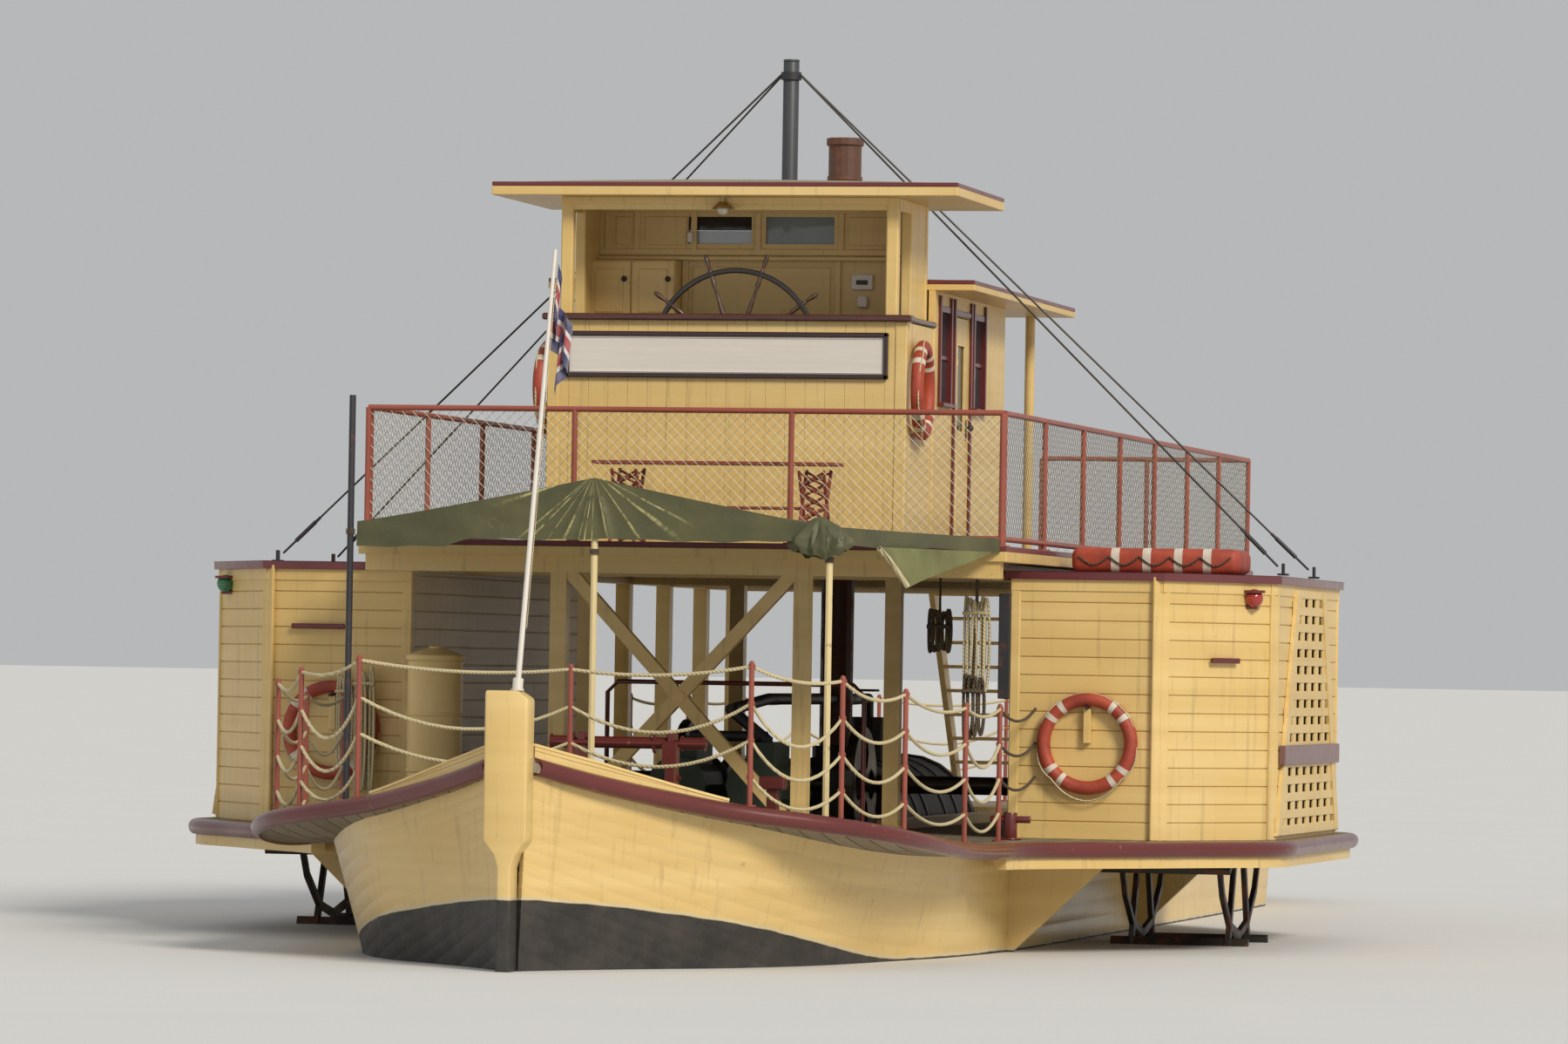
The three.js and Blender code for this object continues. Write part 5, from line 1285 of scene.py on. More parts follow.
def varnished(name, colours, gloss=0.22):
    """Marine varnish over hardwood: dark red-brown grain under a deep, slightly crazed gloss."""
    made, tree, shader, place = new_material(name)
    along = add_node(tree, "Mapping", {"Vector": place, "Scale": (2.0, 40.0, 40.0)})
    grain = add_node(tree, "TexNoise", {"Vector": along, "Scale": 1.0, "Detail": 6})
    tint = overlaid(tree, colours[0], colours[1], grain, 0.35, 0.65)
    rough = add_node(tree, "MapRange", {"Value": grain, "To Min": gloss - 0.05, "To Max": gloss + 0.15})
    connect(shader, {"Base Color": tint, "Roughness": rough, "Coat Weight": 0.6, "Coat Roughness": 0.15})
    return made


def sign_white():
    """Sign-writer's off-white enamel on a planed board: even, faintly brushed along, weathered at random."""
    made, tree, shader, place = new_material("off_white_sign_enamel")
    along = add_node(tree, "Mapping", {"Vector": place, "Scale": (1.2, 30.0, 30.0)})
    brush = add_node(tree, "TexNoise", {"Vector": along, "Scale": 1.0, "Detail": 4})
    tint = add_node(tree, "MixRGB", {"Fac": brush, "Color1": "#D3CCC2", "Color2": "#E1DCD4"})
    bump = relief(tree, (brush, 0.0012))
    connect(shader, {"Base Color": tint, "Roughness": 0.38, "Normal": bump})
    return made


def sill_ledge():
    """The ledge across the front and along both sides."""
    w = WHEELHOUSE
    reach, front, back = w["half"] + 0.055, w["front"] - 0.058, w["back"]
    low, high = w["sill"] - 0.052, w["sill"]
    parts = [timber((-reach, front, low), (reach, w["front"] + 0.11, high), 0.012)]
    for side in (1, -1):
        x0, x1 = sorted((side * (w["half"] - 0.12), side * (w["half"] + 0.02)))
        parts.append(timber((x0, w["front"] + 0.112, low + 0.008), (x1, back - 0.002, high - 0.004), 0.010))
    return joined(parts)


def name_board_frame():
    """The four mouldings round the name board."""
    b, y = NAME_BOARD, WHEELHOUSE["front"]
    edge = b["frame"]
    parts = [
        timber((-b["half"], y - 0.040, b["low"]), (b["half"], y - 0.001, b["low"] + edge), 0.007),
        timber((-b["half"], y - 0.040, b["high"] - edge), (b["half"], y - 0.001, b["high"]), 0.007),
        timber((-b["half"], y - 0.040, b["low"]), (-b["half"] + edge, y - 0.001, b["high"]), 0.007),
        timber((b["half"] - edge, y - 0.040, b["low"]), (b["half"], y - 0.001, b["high"]), 0.007)]
    return joined(parts)


dark_varnish = varnished("dark_varnish_on_hardwood", ("#43241F", "#5C332B"))
frame_enamel = varnished("dark_brown_moulding_enamel", ("#2A181A", "#3A2223"), gloss=0.3)
finish_piece(sill_ledge(), "wheelhouse_sill", dark_varnish)
finish_piece(name_board_frame(), "name_board_frame", frame_enamel)
field = timber((-NAME_BOARD["half"] + 0.02, WHEELHOUSE["front"] - 0.020, NAME_BOARD["low"] + 0.02),
               (NAME_BOARD["half"] - 0.02, WHEELHOUSE["front"] - 0.001, NAME_BOARD["high"] - 0.02), 0.003)
beads = [timber((-NAME_BOARD["half"] + 0.045, WHEELHOUSE["front"] - 0.026, z),
                (NAME_BOARD["half"] - 0.045, WHEELHOUSE["front"] - 0.018, z + 0.008), 0.002)
         for z in (NAME_BOARD["low"] + 0.042, NAME_BOARD["high"] - 0.050)]
finish_piece(joined([field, *beads]), "blank_name_board", sign_white())


# Wheelhouse rear wall
# Panelled boards with a shelf rail across them, a cupboard over the low doorway, two lights above the
# rail, a switch box, and the two steps that lead up from the deckhouse.
REAR_LIGHTS = ((-0.56, -0.06), (0.05, 0.59))
LIGHT_Z = (6.075, 6.285)
DOORWAY = (-1.15, -0.45)
PLATFORM_TOP = 4.35


def rear_wall():
    """The rear wall with its openings, rails, stiles and panels, and the steps at the doorway."""
    w = WHEELHOUSE
    inner, y1 = w["half"] - POST_INSET - 0.05, w["back"]
    y0 = y1 - 0.060
    wall = timber((-w["half"], y0, w["foot"]), (w["half"], y1, w["top"]), 0.003)
    cutters = [timber((x0, y0 - 0.1, LIGHT_Z[0]), (x1, y1 + 0.1, LIGHT_Z[1]), 0) for x0, x1 in REAR_LIGHTS]
    cutters.append(timber((DOORWAY[0], y0 - 0.1, PLATFORM_TOP + 0.02), (DOORWAY[1], y1 + 0.1, 5.44), 0))
    for side in (1, -1):
        x0, x1 = sorted((side * (inner + 0.05), side * (w["half"] + 0.1)))
        cutters.append(timber((x0, y0 - 0.1, w["sill"] - 0.05), (x1, y1 + 0.1, w["top"] + 0.1), 0))
    cut_away(wall, cutters)
    parts = [wall]
    for z, depth, height in ((5.945, 0.075, 0.030), (5.985, 0.022, 0.050), (6.315, 0.025, 0.050)):
        parts.append(timber((-inner, y0 - depth, z), (inner, y0 + 0.002, z + height), 0.005))
    for x in (-1.215, -0.985, -0.535, -0.030, 0.625, 1.205):
        parts.append(timber((x, y0 - 0.020, 6.03), (x + 0.045, y0 + 0.002, 6.325), 0.004))
    for x in (-0.60, 0.60, 1.205):
        parts.append(timber((x, y0 - 0.024, w["sill"] - 0.4), (x + 0.050, y0 + 0.002, 5.95), 0.005))
    for x0, x1 in ((-1.165, -0.990), (-0.935, -0.540), (0.675, 1.200)):
        parts.append(timber((x0 + 0.03, y0 - 0.010, 6.065), (x1 - 0.03, y0 + 0.002, 6.285), 0.006))
    parts.append(timber((-0.52, y0 - 0.010, 5.02), (0.57, y0 + 0.002, 5.90), 0.008))
    rise = (PLATFORM_TOP - w["foot"]) / 3
    for index in (1, 2):
        parts.append(timber((DOORWAY[0], y1 - 0.004, w["foot"]),
                            (DOORWAY[1], y1 + 0.60 - 0.25 * index, w["foot"] + index * rise), 0.006))
    return joined(parts)


def cupboard():
    """The cupboard over the doorway: a carcase with two framed doors."""
    y1 = WHEELHOUSE["back"] - 0.061
    y0 = y1 - 0.24
    parts = [timber((-1.295, y0 + 0.02, 5.46), (-0.605, y1, 5.935), 0.004)]
    for x0, x1 in ((-1.290, -0.955), (-0.945, -0.612)):
        parts.append(timber((x0, y0, 5.475), (x1, y0 + 0.022, 5.925), 0.005))
        parts.append(timber((x0 + 0.055, y0 - 0.006, 5.53), (x1 - 0.055, y0 + 0.004, 5.87), 0.008))
    return joined(parts)


def knobs():
    """The two knobs of the cupboard and the dark slot of the switch box."""
    made = [primitive("uv_sphere", segments=16, ring_count=8, radius=0.022,
                      location=(x, WHEELHOUSE["back"] - 0.322, 5.79)) for x in (-1.00, -0.655)]
    slot = timber((0.775, WHEELHOUSE["back"] - 0.105, 5.765), (0.865, WHEELHOUSE["back"] - 0.095, 5.800),
                  0.004)
    return joined([*made, slot])


def switch_box():
    """The switch box with its outlet below it, and a small box to starboard."""
    y = WHEELHOUSE["back"] - 0.061
    return joined([
        timber((0.735, y - 0.035, 5.725), (0.905, y, 5.845), 0.008),
        timber((0.785, y - 0.045, 5.590), (0.865, y, 5.680), 0.010),
        timber((-0.560, y - 0.050, 6.085), (-0.515, y, 6.165), 0.008)])


def window_glass(name, colour):
    """Old window glass with a faint waviness; its base colour is painted: near-black as painted shade, pale
    blue and grey as painted sky reflections.
    """
    made, tree, shader, place = new_material(name)
    wave = add_node(tree, "TexNoise", {"Vector": place, "Scale": 3.0, "Detail": 2})
    tint = add_node(tree, "MixRGB", {"Fac": wave, "Color1": colour[0], "Color2": colour[1]})
    bump = relief(tree, (wave, 0.01), strength=0.4)
    connect(shader, {"Base Color": tint, "Roughness": 0.06, "Specular IOR Level": 0.7, "Normal": bump})
    return made


inside_paint = painted_timber("aged_cream_enamel_inside", ("#D9BC7E", "#E2C88E", "#CBAC6C"), gloss=0.5,
                              grime="#7C6540", grime_share=0.3)
finish_piece(rear_wall(), "wheelhouse_rear_panelling", inside_paint,
             stands_for=["wheelhouse_rear"])
finish_piece(cupboard(), "wheelhouse_cupboard", cream_timber_paint)
finish_piece(knobs(), "cupboard_knobs", black_iron)
finish_piece(switch_box(), "switch_boxes", sign_white())
pane_y = WHEELHOUSE["back"] - 0.03
# The rear panes' colours are painted light and shade: the upper pane near-black as painted shade, the lower
# pale blue as a painted sky reflection, the port one grey-blue as a painted reflection.
glass_painted_shade = window_glass("window_glass_painted_shade", ("#1C2022", "#2B3033"))
glass_painted_sky_reflection = window_glass("window_glass_painted_sky_reflection", ("#A9B6C6", "#C6CED6"))
glass_painted_grey_reflection = window_glass("window_glass_painted_grey_reflection", ("#6E7A80", "#8C979B"))
finish_piece(timber((REAR_LIGHTS[0][0], pane_y, 6.18), (REAR_LIGHTS[0][1], pane_y + 0.006, LIGHT_Z[1]), 0),
             "rear_light_upper_pane", glass_painted_shade)
finish_piece(timber((REAR_LIGHTS[0][0], pane_y, LIGHT_Z[0]), (REAR_LIGHTS[0][1], pane_y + 0.006, 6.178), 0),
             "rear_light_lower_pane", glass_painted_sky_reflection)
finish_piece(timber((REAR_LIGHTS[1][0], pane_y, LIGHT_Z[0]), (REAR_LIGHTS[1][1], pane_y + 0.006, LIGHT_Z[1]),
                    0), "rear_light_port_pane", glass_painted_grey_reflection)
dress_node("steering_platform", varnished("oiled_platform_boards", ("#7D6440", "#8E744C"), gloss=0.5), 0.004)


# Cabin roofs
# Boarded roofs under painted canvas, almost flat, with a cream fascia all round and a maroon capping
# on its upper edge. The wheelhouse's stands out well over its open front.
def cabin_roof(half, y0, y1, foot, edge, crown, holes=()):
    """A roof as its canvas-covered boards, its fascia with the soffit, and its capping."""
    rows, columns = 12, 24

    def place(row, column):
        across = 2 * column / (columns - 1) - 1
        y = y0 + 0.01 + (y1 - y0 - 0.02) * row / (rows - 1)
        return across * (half - 0.01), y, foot + edge + crown * (1 - across * across) - 0.006
    canvas = laid_grid(rows, columns, place)
    turn_outward(canvas, (0, 0, 1))
    apply_modifier(canvas, "SOLIDIFY", thickness=0.022, offset=-1)
    soffit = timber((-half + 0.02, y0 + 0.02, foot + 0.0004), (half - 0.02, y1 - 0.02, foot + 0.02), 0)
    if holes:
        cutters = [bar((0, y, foot - 0.2), (0, y, foot + 0.4), radius, 32) for y, radius in holes]
        cut_away(canvas, [copied(cutter, Matrix.Identity(4)) for cutter in cutters])
        cut_away(soffit, cutters)
    top = foot + edge
    fascia_top = top - 0.034
    fascia = edging(half, y0, y1, foot, fascia_top, 0.022, 0.004)
    capping = edging(half, y0, y1, fascia_top + 0.0005, top, 0.030, 0.007)
    return canvas, joined([soffit, *fascia]), joined(capping)


def painted_canvas(name, colours):
    """Canvas bedded in paint: pale grey-buff, the weave just showing, dirtier in broad random drifts."""
    made, tree, shader, place = new_material(name)
    dirt = add_node(tree, "TexNoise", {"Vector": place, "Scale": 1.1, "Detail": 6, "Roughness": 0.65})
    tint = add_node(tree, "MixRGB", {"Fac": dirt, "Color1": colours[0], "Color2": colours[1]})
    weave = add_node(tree, "TexNoise", {"Vector": place, "Scale": 140.0, "Detail": 2})
    bump = relief(tree, (weave, 0.0015))
    connect(shader, {"Base Color": tint, "Roughness": 0.8, "Normal": bump})
    return made


roof_canvas = painted_canvas("grey_painted_roof_canvas", ("#A89F88", "#8B8270"))
WHEELHOUSE_ROOF = (1.80, -4.75, -2.90, WHEELHOUSE["top"] + 0.0004, 0.100, 0.025)
canvas, fascia, capping = cabin_roof(*WHEELHOUSE_ROOF)
finish_piece(canvas, "wheelhouse_roof_canvas", roof_canvas)
finish_piece(fascia, "wheelhouse_roof_fascia", cream_timber_paint,
             stands_for=["wheelhouse_roof"])
finish_piece(capping, "wheelhouse_roof_capping", roof_edge_paint)


# Wheelhouse lamp
# A pressed brass shade with a clear bulb under it, on a round arm that is screwed to the header of the
# wheelhouse front, over the wheel.
def brass():
    """Brass gone dull in the river air: warm brown metal in uneven patches."""
    made, tree, shader, place = new_material("dull_brass")
    film = add_node(tree, "TexNoise", {"Vector": place, "Scale": 30.0, "Detail": 4})
    tint = add_node(tree, "MixRGB", {"Fac": film, "Color1": "#8A7448", "Color2": "#C2AC7C"})
    connect(shader, {"Base Color": tint, "Metallic": 0.85, "Roughness": 0.35})
    return made


LAMP = (-0.04, WHEELHOUSE["front"] - 0.030, 6.295)


def lamp_shade():
    """The shade with its neck and arm."""
    x, y, z = LAMP
    shade = primitive("cone", vertices=28, radius1=0.085, radius2=0.030, depth=0.05, end_fill_type="NOTHING",
                      location=(x, y, z + 0.01))
    apply_modifier(shade, "SOLIDIFY", thickness=0.003, offset=0)
    neck = bar((x, y, z + 0.03), (x, y, z + 0.085), 0.022, 18)
    arm = bar((x, y, z + 0.07), (x, WHEELHOUSE["front"] + 0.03, z + 0.10), 0.010, 12)
    return joined([shade, neck, arm])


def bulb():
    """A bulb drawn in toward its cap."""
    x, y, z = LAMP
    made = primitive("uv_sphere", segments=24, ring_count=14, radius=0.045, location=(x, y, z - 0.022))
    for vertex in made.data.vertices:
        if vertex.co.z > z - 0.01:
            vertex.co.x = x + (vertex.co.x - x) * 0.8
            vertex.co.y = y + (vertex.co.y - y) * 0.8
    return made


finish_piece(lamp_shade(), "wheelhouse_lamp_shade", brass())
finish_piece(bulb(), "wheelhouse_lamp_bulb", lamp_glass("clear_bulb_glass", ("#D9D3C2", "#C9C0A8")))


# Steering wheel
# Turned hardwood spokes, ten of them, that run out through a bent rim as handles. They are let into an
# iron boss with a brass cap, on a short axle.
STEERING = {"y": -4.265, "z": 5.20, "rim": 0.63, "spokes": 10}


def face_outward(made):
    """Turns a closed mesh's faces outward."""
    with edit_mode(made):
        bpy.ops.mesh.normals_make_consistent(inside=False)


def turned_spoke():
    """One spoke with its handle, spun from its profile of (distance out, radius)."""
    profile = [(0.095, 0.017), (0.150, 0.017), (0.165, 0.023), (0.180, 0.013), (0.260, 0.016), (0.345, 0.020),
               (0.430, 0.015), (0.520, 0.012), (0.545, 0.021), (0.565, 0.018), (0.600, 0.018), (0.662, 0.018),
               (0.672, 0.012), (0.690, 0.013), (0.735, 0.020), (0.765, 0.018), (0.786, 0.010),
               (0.790, 0.0001)]
    sides = 12
    made = laid_grid(len(profile), sides + 1, lambda row, column: (
        profile[row][1] * math.cos(2 * math.pi * column / sides),
        profile[row][1] * math.sin(2 * math.pi * column / sides), profile[row][0]))
    turn_outward(made, (0, 0, 1))
    return apply_modifier(made, "WELD", merge_threshold=0.0002)


def steering_rim():
    """The rim, swept round from an eight-sided section."""
    s = STEERING
    section = [(-0.020, -0.012), (-0.020, 0.012), (-0.012, 0.020), (0.012, 0.020), (0.020, 0.012),
               (0.020, -0.012), (0.012, -0.020), (-0.012, -0.020)]
    turns = 72
    made = laid_grid(turns + 1, len(section) + 1, lambda row, column: (
        (s["rim"] + section[column % 8][0]) * math.sin(2 * math.pi * row / turns),
        s["y"] + section[column % 8][1],
        s["z"] + (s["rim"] + section[column % 8][0]) * math.cos(2 * math.pi * row / turns)))
    apply_modifier(made, "WELD", merge_threshold=0.0002)
    face_outward(made)
    return made


def steering_spokes():
    """All the spokes on their boss, and the axle."""
    s = STEERING
    first = turned_spoke()
    spokes = []
    for index in range(s["spokes"]):
        angle = (index + 0.5) * 2 * math.pi / s["spokes"]
        spokes.append(copied(first, Matrix.Translation((0, s["y"], s["z"])) @ Matrix.Rotation(angle, 4, "Y")))
    bpy.data.objects.remove(first, do_unlink=True)
    boss = bar((0, s["y"] - 0.045, s["z"]), (0, s["y"] + 0.045, s["z"]), 0.11, 40)
    axle = bar((0, s["y"], s["z"]), (0, -4.05, s["z"]), 0.0249, 20)
    apply_modifier(boss, "BEVEL", width=0.012, segments=2, limit_method="ANGLE")
    return joined([*spokes, boss, axle])


wheel_wood = varnished("worn_varnish_on_turned_wood", ("#3F2A20", "#5E4230"), gloss=0.35)
rim_iron = varnished("black_enamel_on_bent_rim", ("#1F1B1A", "#2E2725"), gloss=0.3)
finish_piece(steering_spokes(), "steering_wheel_spokes", wheel_wood, body="steering_wheel",
             stands_for=["steering_wheel"])
finish_piece(steering_rim(), "steering_wheel_rim", rim_iron, body="steering_wheel")
finish_piece(bar((0, STEERING["y"] - 0.058, STEERING["z"]), (0, STEERING["y"] - 0.045, STEERING["z"]), 0.045,
                 28), "steering_wheel_cap", brass(), body="steering_wheel")


# Deckhouse
# Tongued boards on a light frame, with maroon jambs and small sills round the windows and doors of
# each side, two windows aft, and panelled doors hung on pins at their fore edges.
DECKHOUSE = {"half": 1.375, "front": -3.4297, "back": -0.55, "foot": 3.7303, "top": 5.7297, "wall": 0.05}
SIDE_WINDOWS = ((-3.25, -2.842), (-1.902, -1.453))
SIDE_WINDOW_Z = (4.88, 5.58)
DOOR = {"front": -2.64, "back": -2.05, "foot": 3.765, "head": 5.57}
AFT_WINDOWS = ((-0.90, -0.35), (0.35, 0.90))
AFT_WINDOW_Z = (4.70, 5.45)
JAMB = 0.045
JAMB_PROUD = 0.022
HINGE_ZS = (4.014, 5.239)


def deckhouse_side():
    """The port side's boards, with its window and door openings and the hinge lugs."""
    d = DECKHOUSE
    wall = upright_boards((d["half"], d["front"]), (d["half"], d["back"]), d["foot"], d["top"], backing=0.030)
    cutters = [timber((1.2, y0, SIDE_WINDOW_Z[0]), (1.5, y1, SIDE_WINDOW_Z[1]), 0) for y0, y1 in SIDE_WINDOWS]
    cutters.append(timber((1.2, DOOR["front"] - 0.012, DOOR["foot"] - 0.005),
                          (1.5, DOOR["back"] + 0.006, DOOR["head"] + 0.005), 0))
    cut_away(wall, cutters)
    lugs = [bar((1.39, DOOR["front"], z - 0.05), (1.39, DOOR["front"], z), 0.016, 14) for z in HINGE_ZS]
    lugs += [timber((1.368, DOOR["front"] - 0.030, z - 0.046), (1.384, DOOR["front"] + 0.012, z - 0.004),
                    0.002) for z in HINGE_ZS]
    return joined([wall, *lugs])


def side_trim():
    """Jambs, heads and sills of the port side's openings."""
    outer = DECKHOUSE["half"]
    parts = []
    for y0, y1 in SIDE_WINDOWS:
        for y in (y0 - JAMB + 0.008, y1 - 0.008):
            parts.append(timber((outer - 0.045, y, SIDE_WINDOW_Z[0] - 0.03),
                                (outer + JAMB_PROUD, y + JAMB, DECKHOUSE["top"] - 0.03), 0.005))
        parts.append(timber((outer - 0.045, y0 - JAMB, SIDE_WINDOW_Z[0] - 0.035),
                            (outer + 0.055, y1 + JAMB, SIDE_WINDOW_Z[0]), 0.006))
        parts.append(timber((outer - 0.045, y0 + 0.008, SIDE_WINDOW_Z[1] - 0.004),
                            (outer + 0.012, y1 - 0.008, SIDE_WINDOW_Z[1] + 0.045), 0.004))
        middle = (SIDE_WINDOW_Z[0] + SIDE_WINDOW_Z[1]) / 2
        parts.append(timber((outer - 0.034, y0, middle - 0.016), (outer - 0.004, y1, middle + 0.016), 0.003))
    parts.append(timber((outer - 0.001, DOOR["front"] - JAMB - 0.022, DOOR["foot"]),
                        (outer + JAMB_PROUD, DOOR["front"] - 0.022, DECKHOUSE["top"] - 0.03), 0.005))
    parts.append(timber((outer - 0.001, DOOR["back"] + 0.008, DOOR["foot"]),
                        (outer + JAMB_PROUD, DOOR["back"] + 0.008 + JAMB, DECKHOUSE["top"] - 0.03), 0.005))
    parts.append(timber((outer - 0.001, DOOR["front"] - 0.02, DOOR["head"] + 0.008),
                        (outer + 0.016, DOOR["back"] + 0.008, DOOR["head"] + 0.05), 0.004))
    return joined(parts)


def side_panes():
    """The glass of the port side's windows."""
    outer = DECKHOUSE["half"]
    return joined([timber((outer - 0.026, y0 - 0.002, SIDE_WINDOW_Z[0] - 0.002),
                          (outer - 0.020, y1 + 0.002, SIDE_WINDOW_Z[1] + 0.002), 0)
                   for y0, y1 in SIDE_WINDOWS])


def deckhouse_aft():
    """The aft wall's boards with two window openings."""
    d = DECKHOUSE
    inner, y0 = d["half"] - d["wall"] - 0.0006, d["back"] - d["wall"]
    wall = upright_boards((inner, d["back"]), (-inner, d["back"]), d["foot"], d["top"], backing=0.029)
    cutters = [timber((x0, y0 - 0.1, AFT_WINDOW_Z[0]), (x1, d["back"] + 0.1, AFT_WINDOW_Z[1]), 0)
               for x0, x1 in AFT_WINDOWS]
    return cut_away(wall, cutters)


def aft_trim():
    """Jambs, sills, heads and glazing bars of the aft windows."""
    y1 = DECKHOUSE["back"] + 0.018
    y0 = DECKHOUSE["back"] - 0.045
    parts = []
    for x0, x1 in AFT_WINDOWS:
        for x in (x0 - JAMB + 0.008, x1 - 0.008):
            parts.append(timber((x, y0, AFT_WINDOW_Z[0]), (x + JAMB, y1, AFT_WINDOW_Z[1] + 0.04), 0.005))
        parts.append(timber((x0 - 0.05, y0, AFT_WINDOW_Z[0] - 0.03),
                            (x1 + 0.05, y1 + 0.03, AFT_WINDOW_Z[0] + 0.004), 0.006))
        parts.append(timber((x0 + 0.008, y0, AFT_WINDOW_Z[1] - 0.004),
                            (x1 - 0.008, y1, AFT_WINDOW_Z[1] + 0.04), 0.004))
        middle = (x0 + x1) / 2
        parts.append(timber((middle - 0.014, y0, AFT_WINDOW_Z[0]),
                            (middle + 0.014, y0 + 0.03, AFT_WINDOW_Z[1]), 0.003))
    return joined(parts)


# Painted shade: the cabin and door glass is near-black for the shade of the unlit cabin behind it.
cabin_glass_painted_shade = window_glass("cabin_window_glass_painted_shade", ("#262C2E", "#3B4448"))
finish_pair(deckhouse_side(), "deckhouse_side_boards", cream_timber_paint, "deckhouse")
finish_piece(both_sides(side_trim(), aft_trim()), "deckhouse_jambs_and_sills", maroon_paint)
aft_panes = [timber((x0 - 0.002, DECKHOUSE["back"] - 0.028, AFT_WINDOW_Z[0] - 0.002),
                    (x1 + 0.002, DECKHOUSE["back"] - 0.022, AFT_WINDOW_Z[1] + 0.002), 0)
             for x0, x1 in AFT_WINDOWS]
finish_piece(both_sides(side_panes(), *aft_panes), "deckhouse_window_glass", cabin_glass_painted_shade)
finish_piece(deckhouse_aft(), "deckhouse_aft_boards", cream_timber_paint,
             stands_for=["deckhouse_aft"])


# Deckhouse doors
# Framed leaves with one raised panel below and a light above, in cream enamel, each on two pins, with a
# black rim lock and a round knob at the aft edge.
def door_trim():
    """Glass, raised panel, lock and knob of the port door's leaf, on its outer face."""
    face = DECKHOUSE["half"] - 0.003
    light = (DOOR["front"] + 0.13, DOOR["front"] + 0.46, 4.665, 5.37)
    pane = timber((face - 0.026, light[0] - 0.003, light[2] - 0.003),
                  (face - 0.020, light[1] + 0.003, light[3] + 0.003), 0)
    edge = 0.022
    beads = [timber((face - 0.018, light[0], light[2]), (face + 0.002, light[0] + edge, light[3]), 0.003),
             timber((face - 0.018, light[1] - edge, light[2]), (face + 0.002, light[1], light[3]), 0.003),
             timber((face - 0.018, light[0] + edge, light[2]),
                    (face + 0.002, light[1] - edge, light[2] + edge), 0.003),
             timber((face - 0.018, light[0] + edge, light[3] - edge),
                    (face + 0.002, light[1] - edge, light[3]), 0.003)]
    panel = timber((face - 0.004, light[0] + 0.01, 3.90), (face + 0.005, light[1] - 0.01, 4.54), 0.004)
    lock_y = DOOR["back"] - 0.075
    plate = timber((face - 0.002, lock_y - 0.022, 4.62), (face + 0.003, lock_y + 0.022, 4.78), 0.001)
    knob = primitive("uv_sphere", segments=20, ring_count=10, radius=0.024,
                     location=(face + 0.040, lock_y, 4.72))
    shank = bar((face, lock_y, 4.72), (face + 0.024, lock_y, 4.72), 0.009, 12)
    return pane, joined([*beads, panel]), joined([plate, knob, shank])


panes, joinery, locks = door_trim()
for side in ("port", "starboard"):
    dress_node(f"deckhouse_door_{side}", cream_timber_paint, 0.003)
    turn = Matrix.Identity(4) if side == "port" else MIRRORED
    body = f"deckhouse_door_{side}"
    finish_piece(copied(panes, turn), f"door_glass_{side}", cabin_glass_painted_shade, body=body)
    finish_piece(copied(joinery, turn), f"door_panel_{side}", cream_timber_paint, body=body)
    finish_piece(copied(locks, turn), f"door_lock_{side}", black_iron, body=body)
for piece in (panes, joinery, locks):
    bpy.data.objects.remove(piece, do_unlink=True)

MAST = {"y": -2.44, "radius": 0.062, "top": 7.58}
FUNNEL_PLACE = {"y": -0.37, "radius": 0.135, "top": 7.11}
PORCH_POSTS = ((1.33, 0.78), (-1.33, 0.78))
canvas, fascia, capping = cabin_roof(1.68, -3.4293, 0.90, 5.7303, 0.080, 0.025,
                                     holes=((MAST["y"], MAST["radius"] + 0.004), (FUNNEL_PLACE["y"], 0.160)))
posts = [bar((x, y, DECKHOUSE["foot"]), (x, y, 5.7303), 0.04, 20) for x, y in PORCH_POSTS]
finish_piece(canvas, "deckhouse_roof_canvas", roof_canvas)
finish_piece(joined([fascia, *posts]), "deckhouse_roof_fascia_and_posts", cream_timber_paint,
             stands_for=["deckhouse_roof"])
finish_piece(capping, "deckhouse_roof_capping", roof_edge_paint)


# Mast and stays
# A short grey spar with a capped head and an iron band, held by four wire stays set up with turnbuckles
# on plates on the paddle boxes.
STAY_TOP = 7.46
STAY_FEET = ((4.00, -2.80), (4.00, -1.20))
STAY_FOOT_Z = 3.60


def grey_spar():
    """Dark grey enamel on a spar: satin, chalked by sun along the grain."""
    made, tree, shader, place = new_material("dark_grey_spar_enamel")
    along = add_node(tree, "Mapping", {"Vector": place, "Scale": (30.0, 30.0, 1.5)})
    chalk = add_node(tree, "TexNoise", {"Vector": along, "Scale": 1.0, "Detail": 5})
    tint = add_node(tree, "MixRGB", {"Fac": chalk, "Color1": "#36393D", "Color2": "#4E5255"})
    connect(shader, {"Base Color": tint, "Roughness": 0.45})
    return made


def tarred_wire():
    """Served wire under Stockholm tar: near-black with a dull waxy shine, the lay of the strands on it."""
    made, tree, shader, place = new_material("tarred_stay_wire")
    lay = add_node(tree, "TexWave", {"Vector": place, "Scale": 12.0}, bands_direction="DIAGONAL")
    tint = add_node(tree, "MixRGB", {"Fac": lay.outputs["Fac"], "Color1": "#242220", "Color2": "#3B3733"})
    connect(shader, {"Base Color": tint, "Roughness": 0.4})
    return made


def spar():
    """The mast with its rounded cap and the collar where it leaves the roof."""
    y, radius, top = MAST["y"], MAST["radius"], MAST["top"]
    pole = bar((0, y, DECKHOUSE["foot"]), (0, y, top - 0.02), radius, 32)
    cap = bar((0, y, top - 0.02), (0, y, top), radius + 0.002, 32)
    collar = bar((0, y, 5.825), (0, y, 5.90), radius + 0.022, 32)
    made = joined([pole, cap, collar])
    return apply_modifier(made, "BEVEL", width=0.006, segments=2, limit_method="ANGLE")


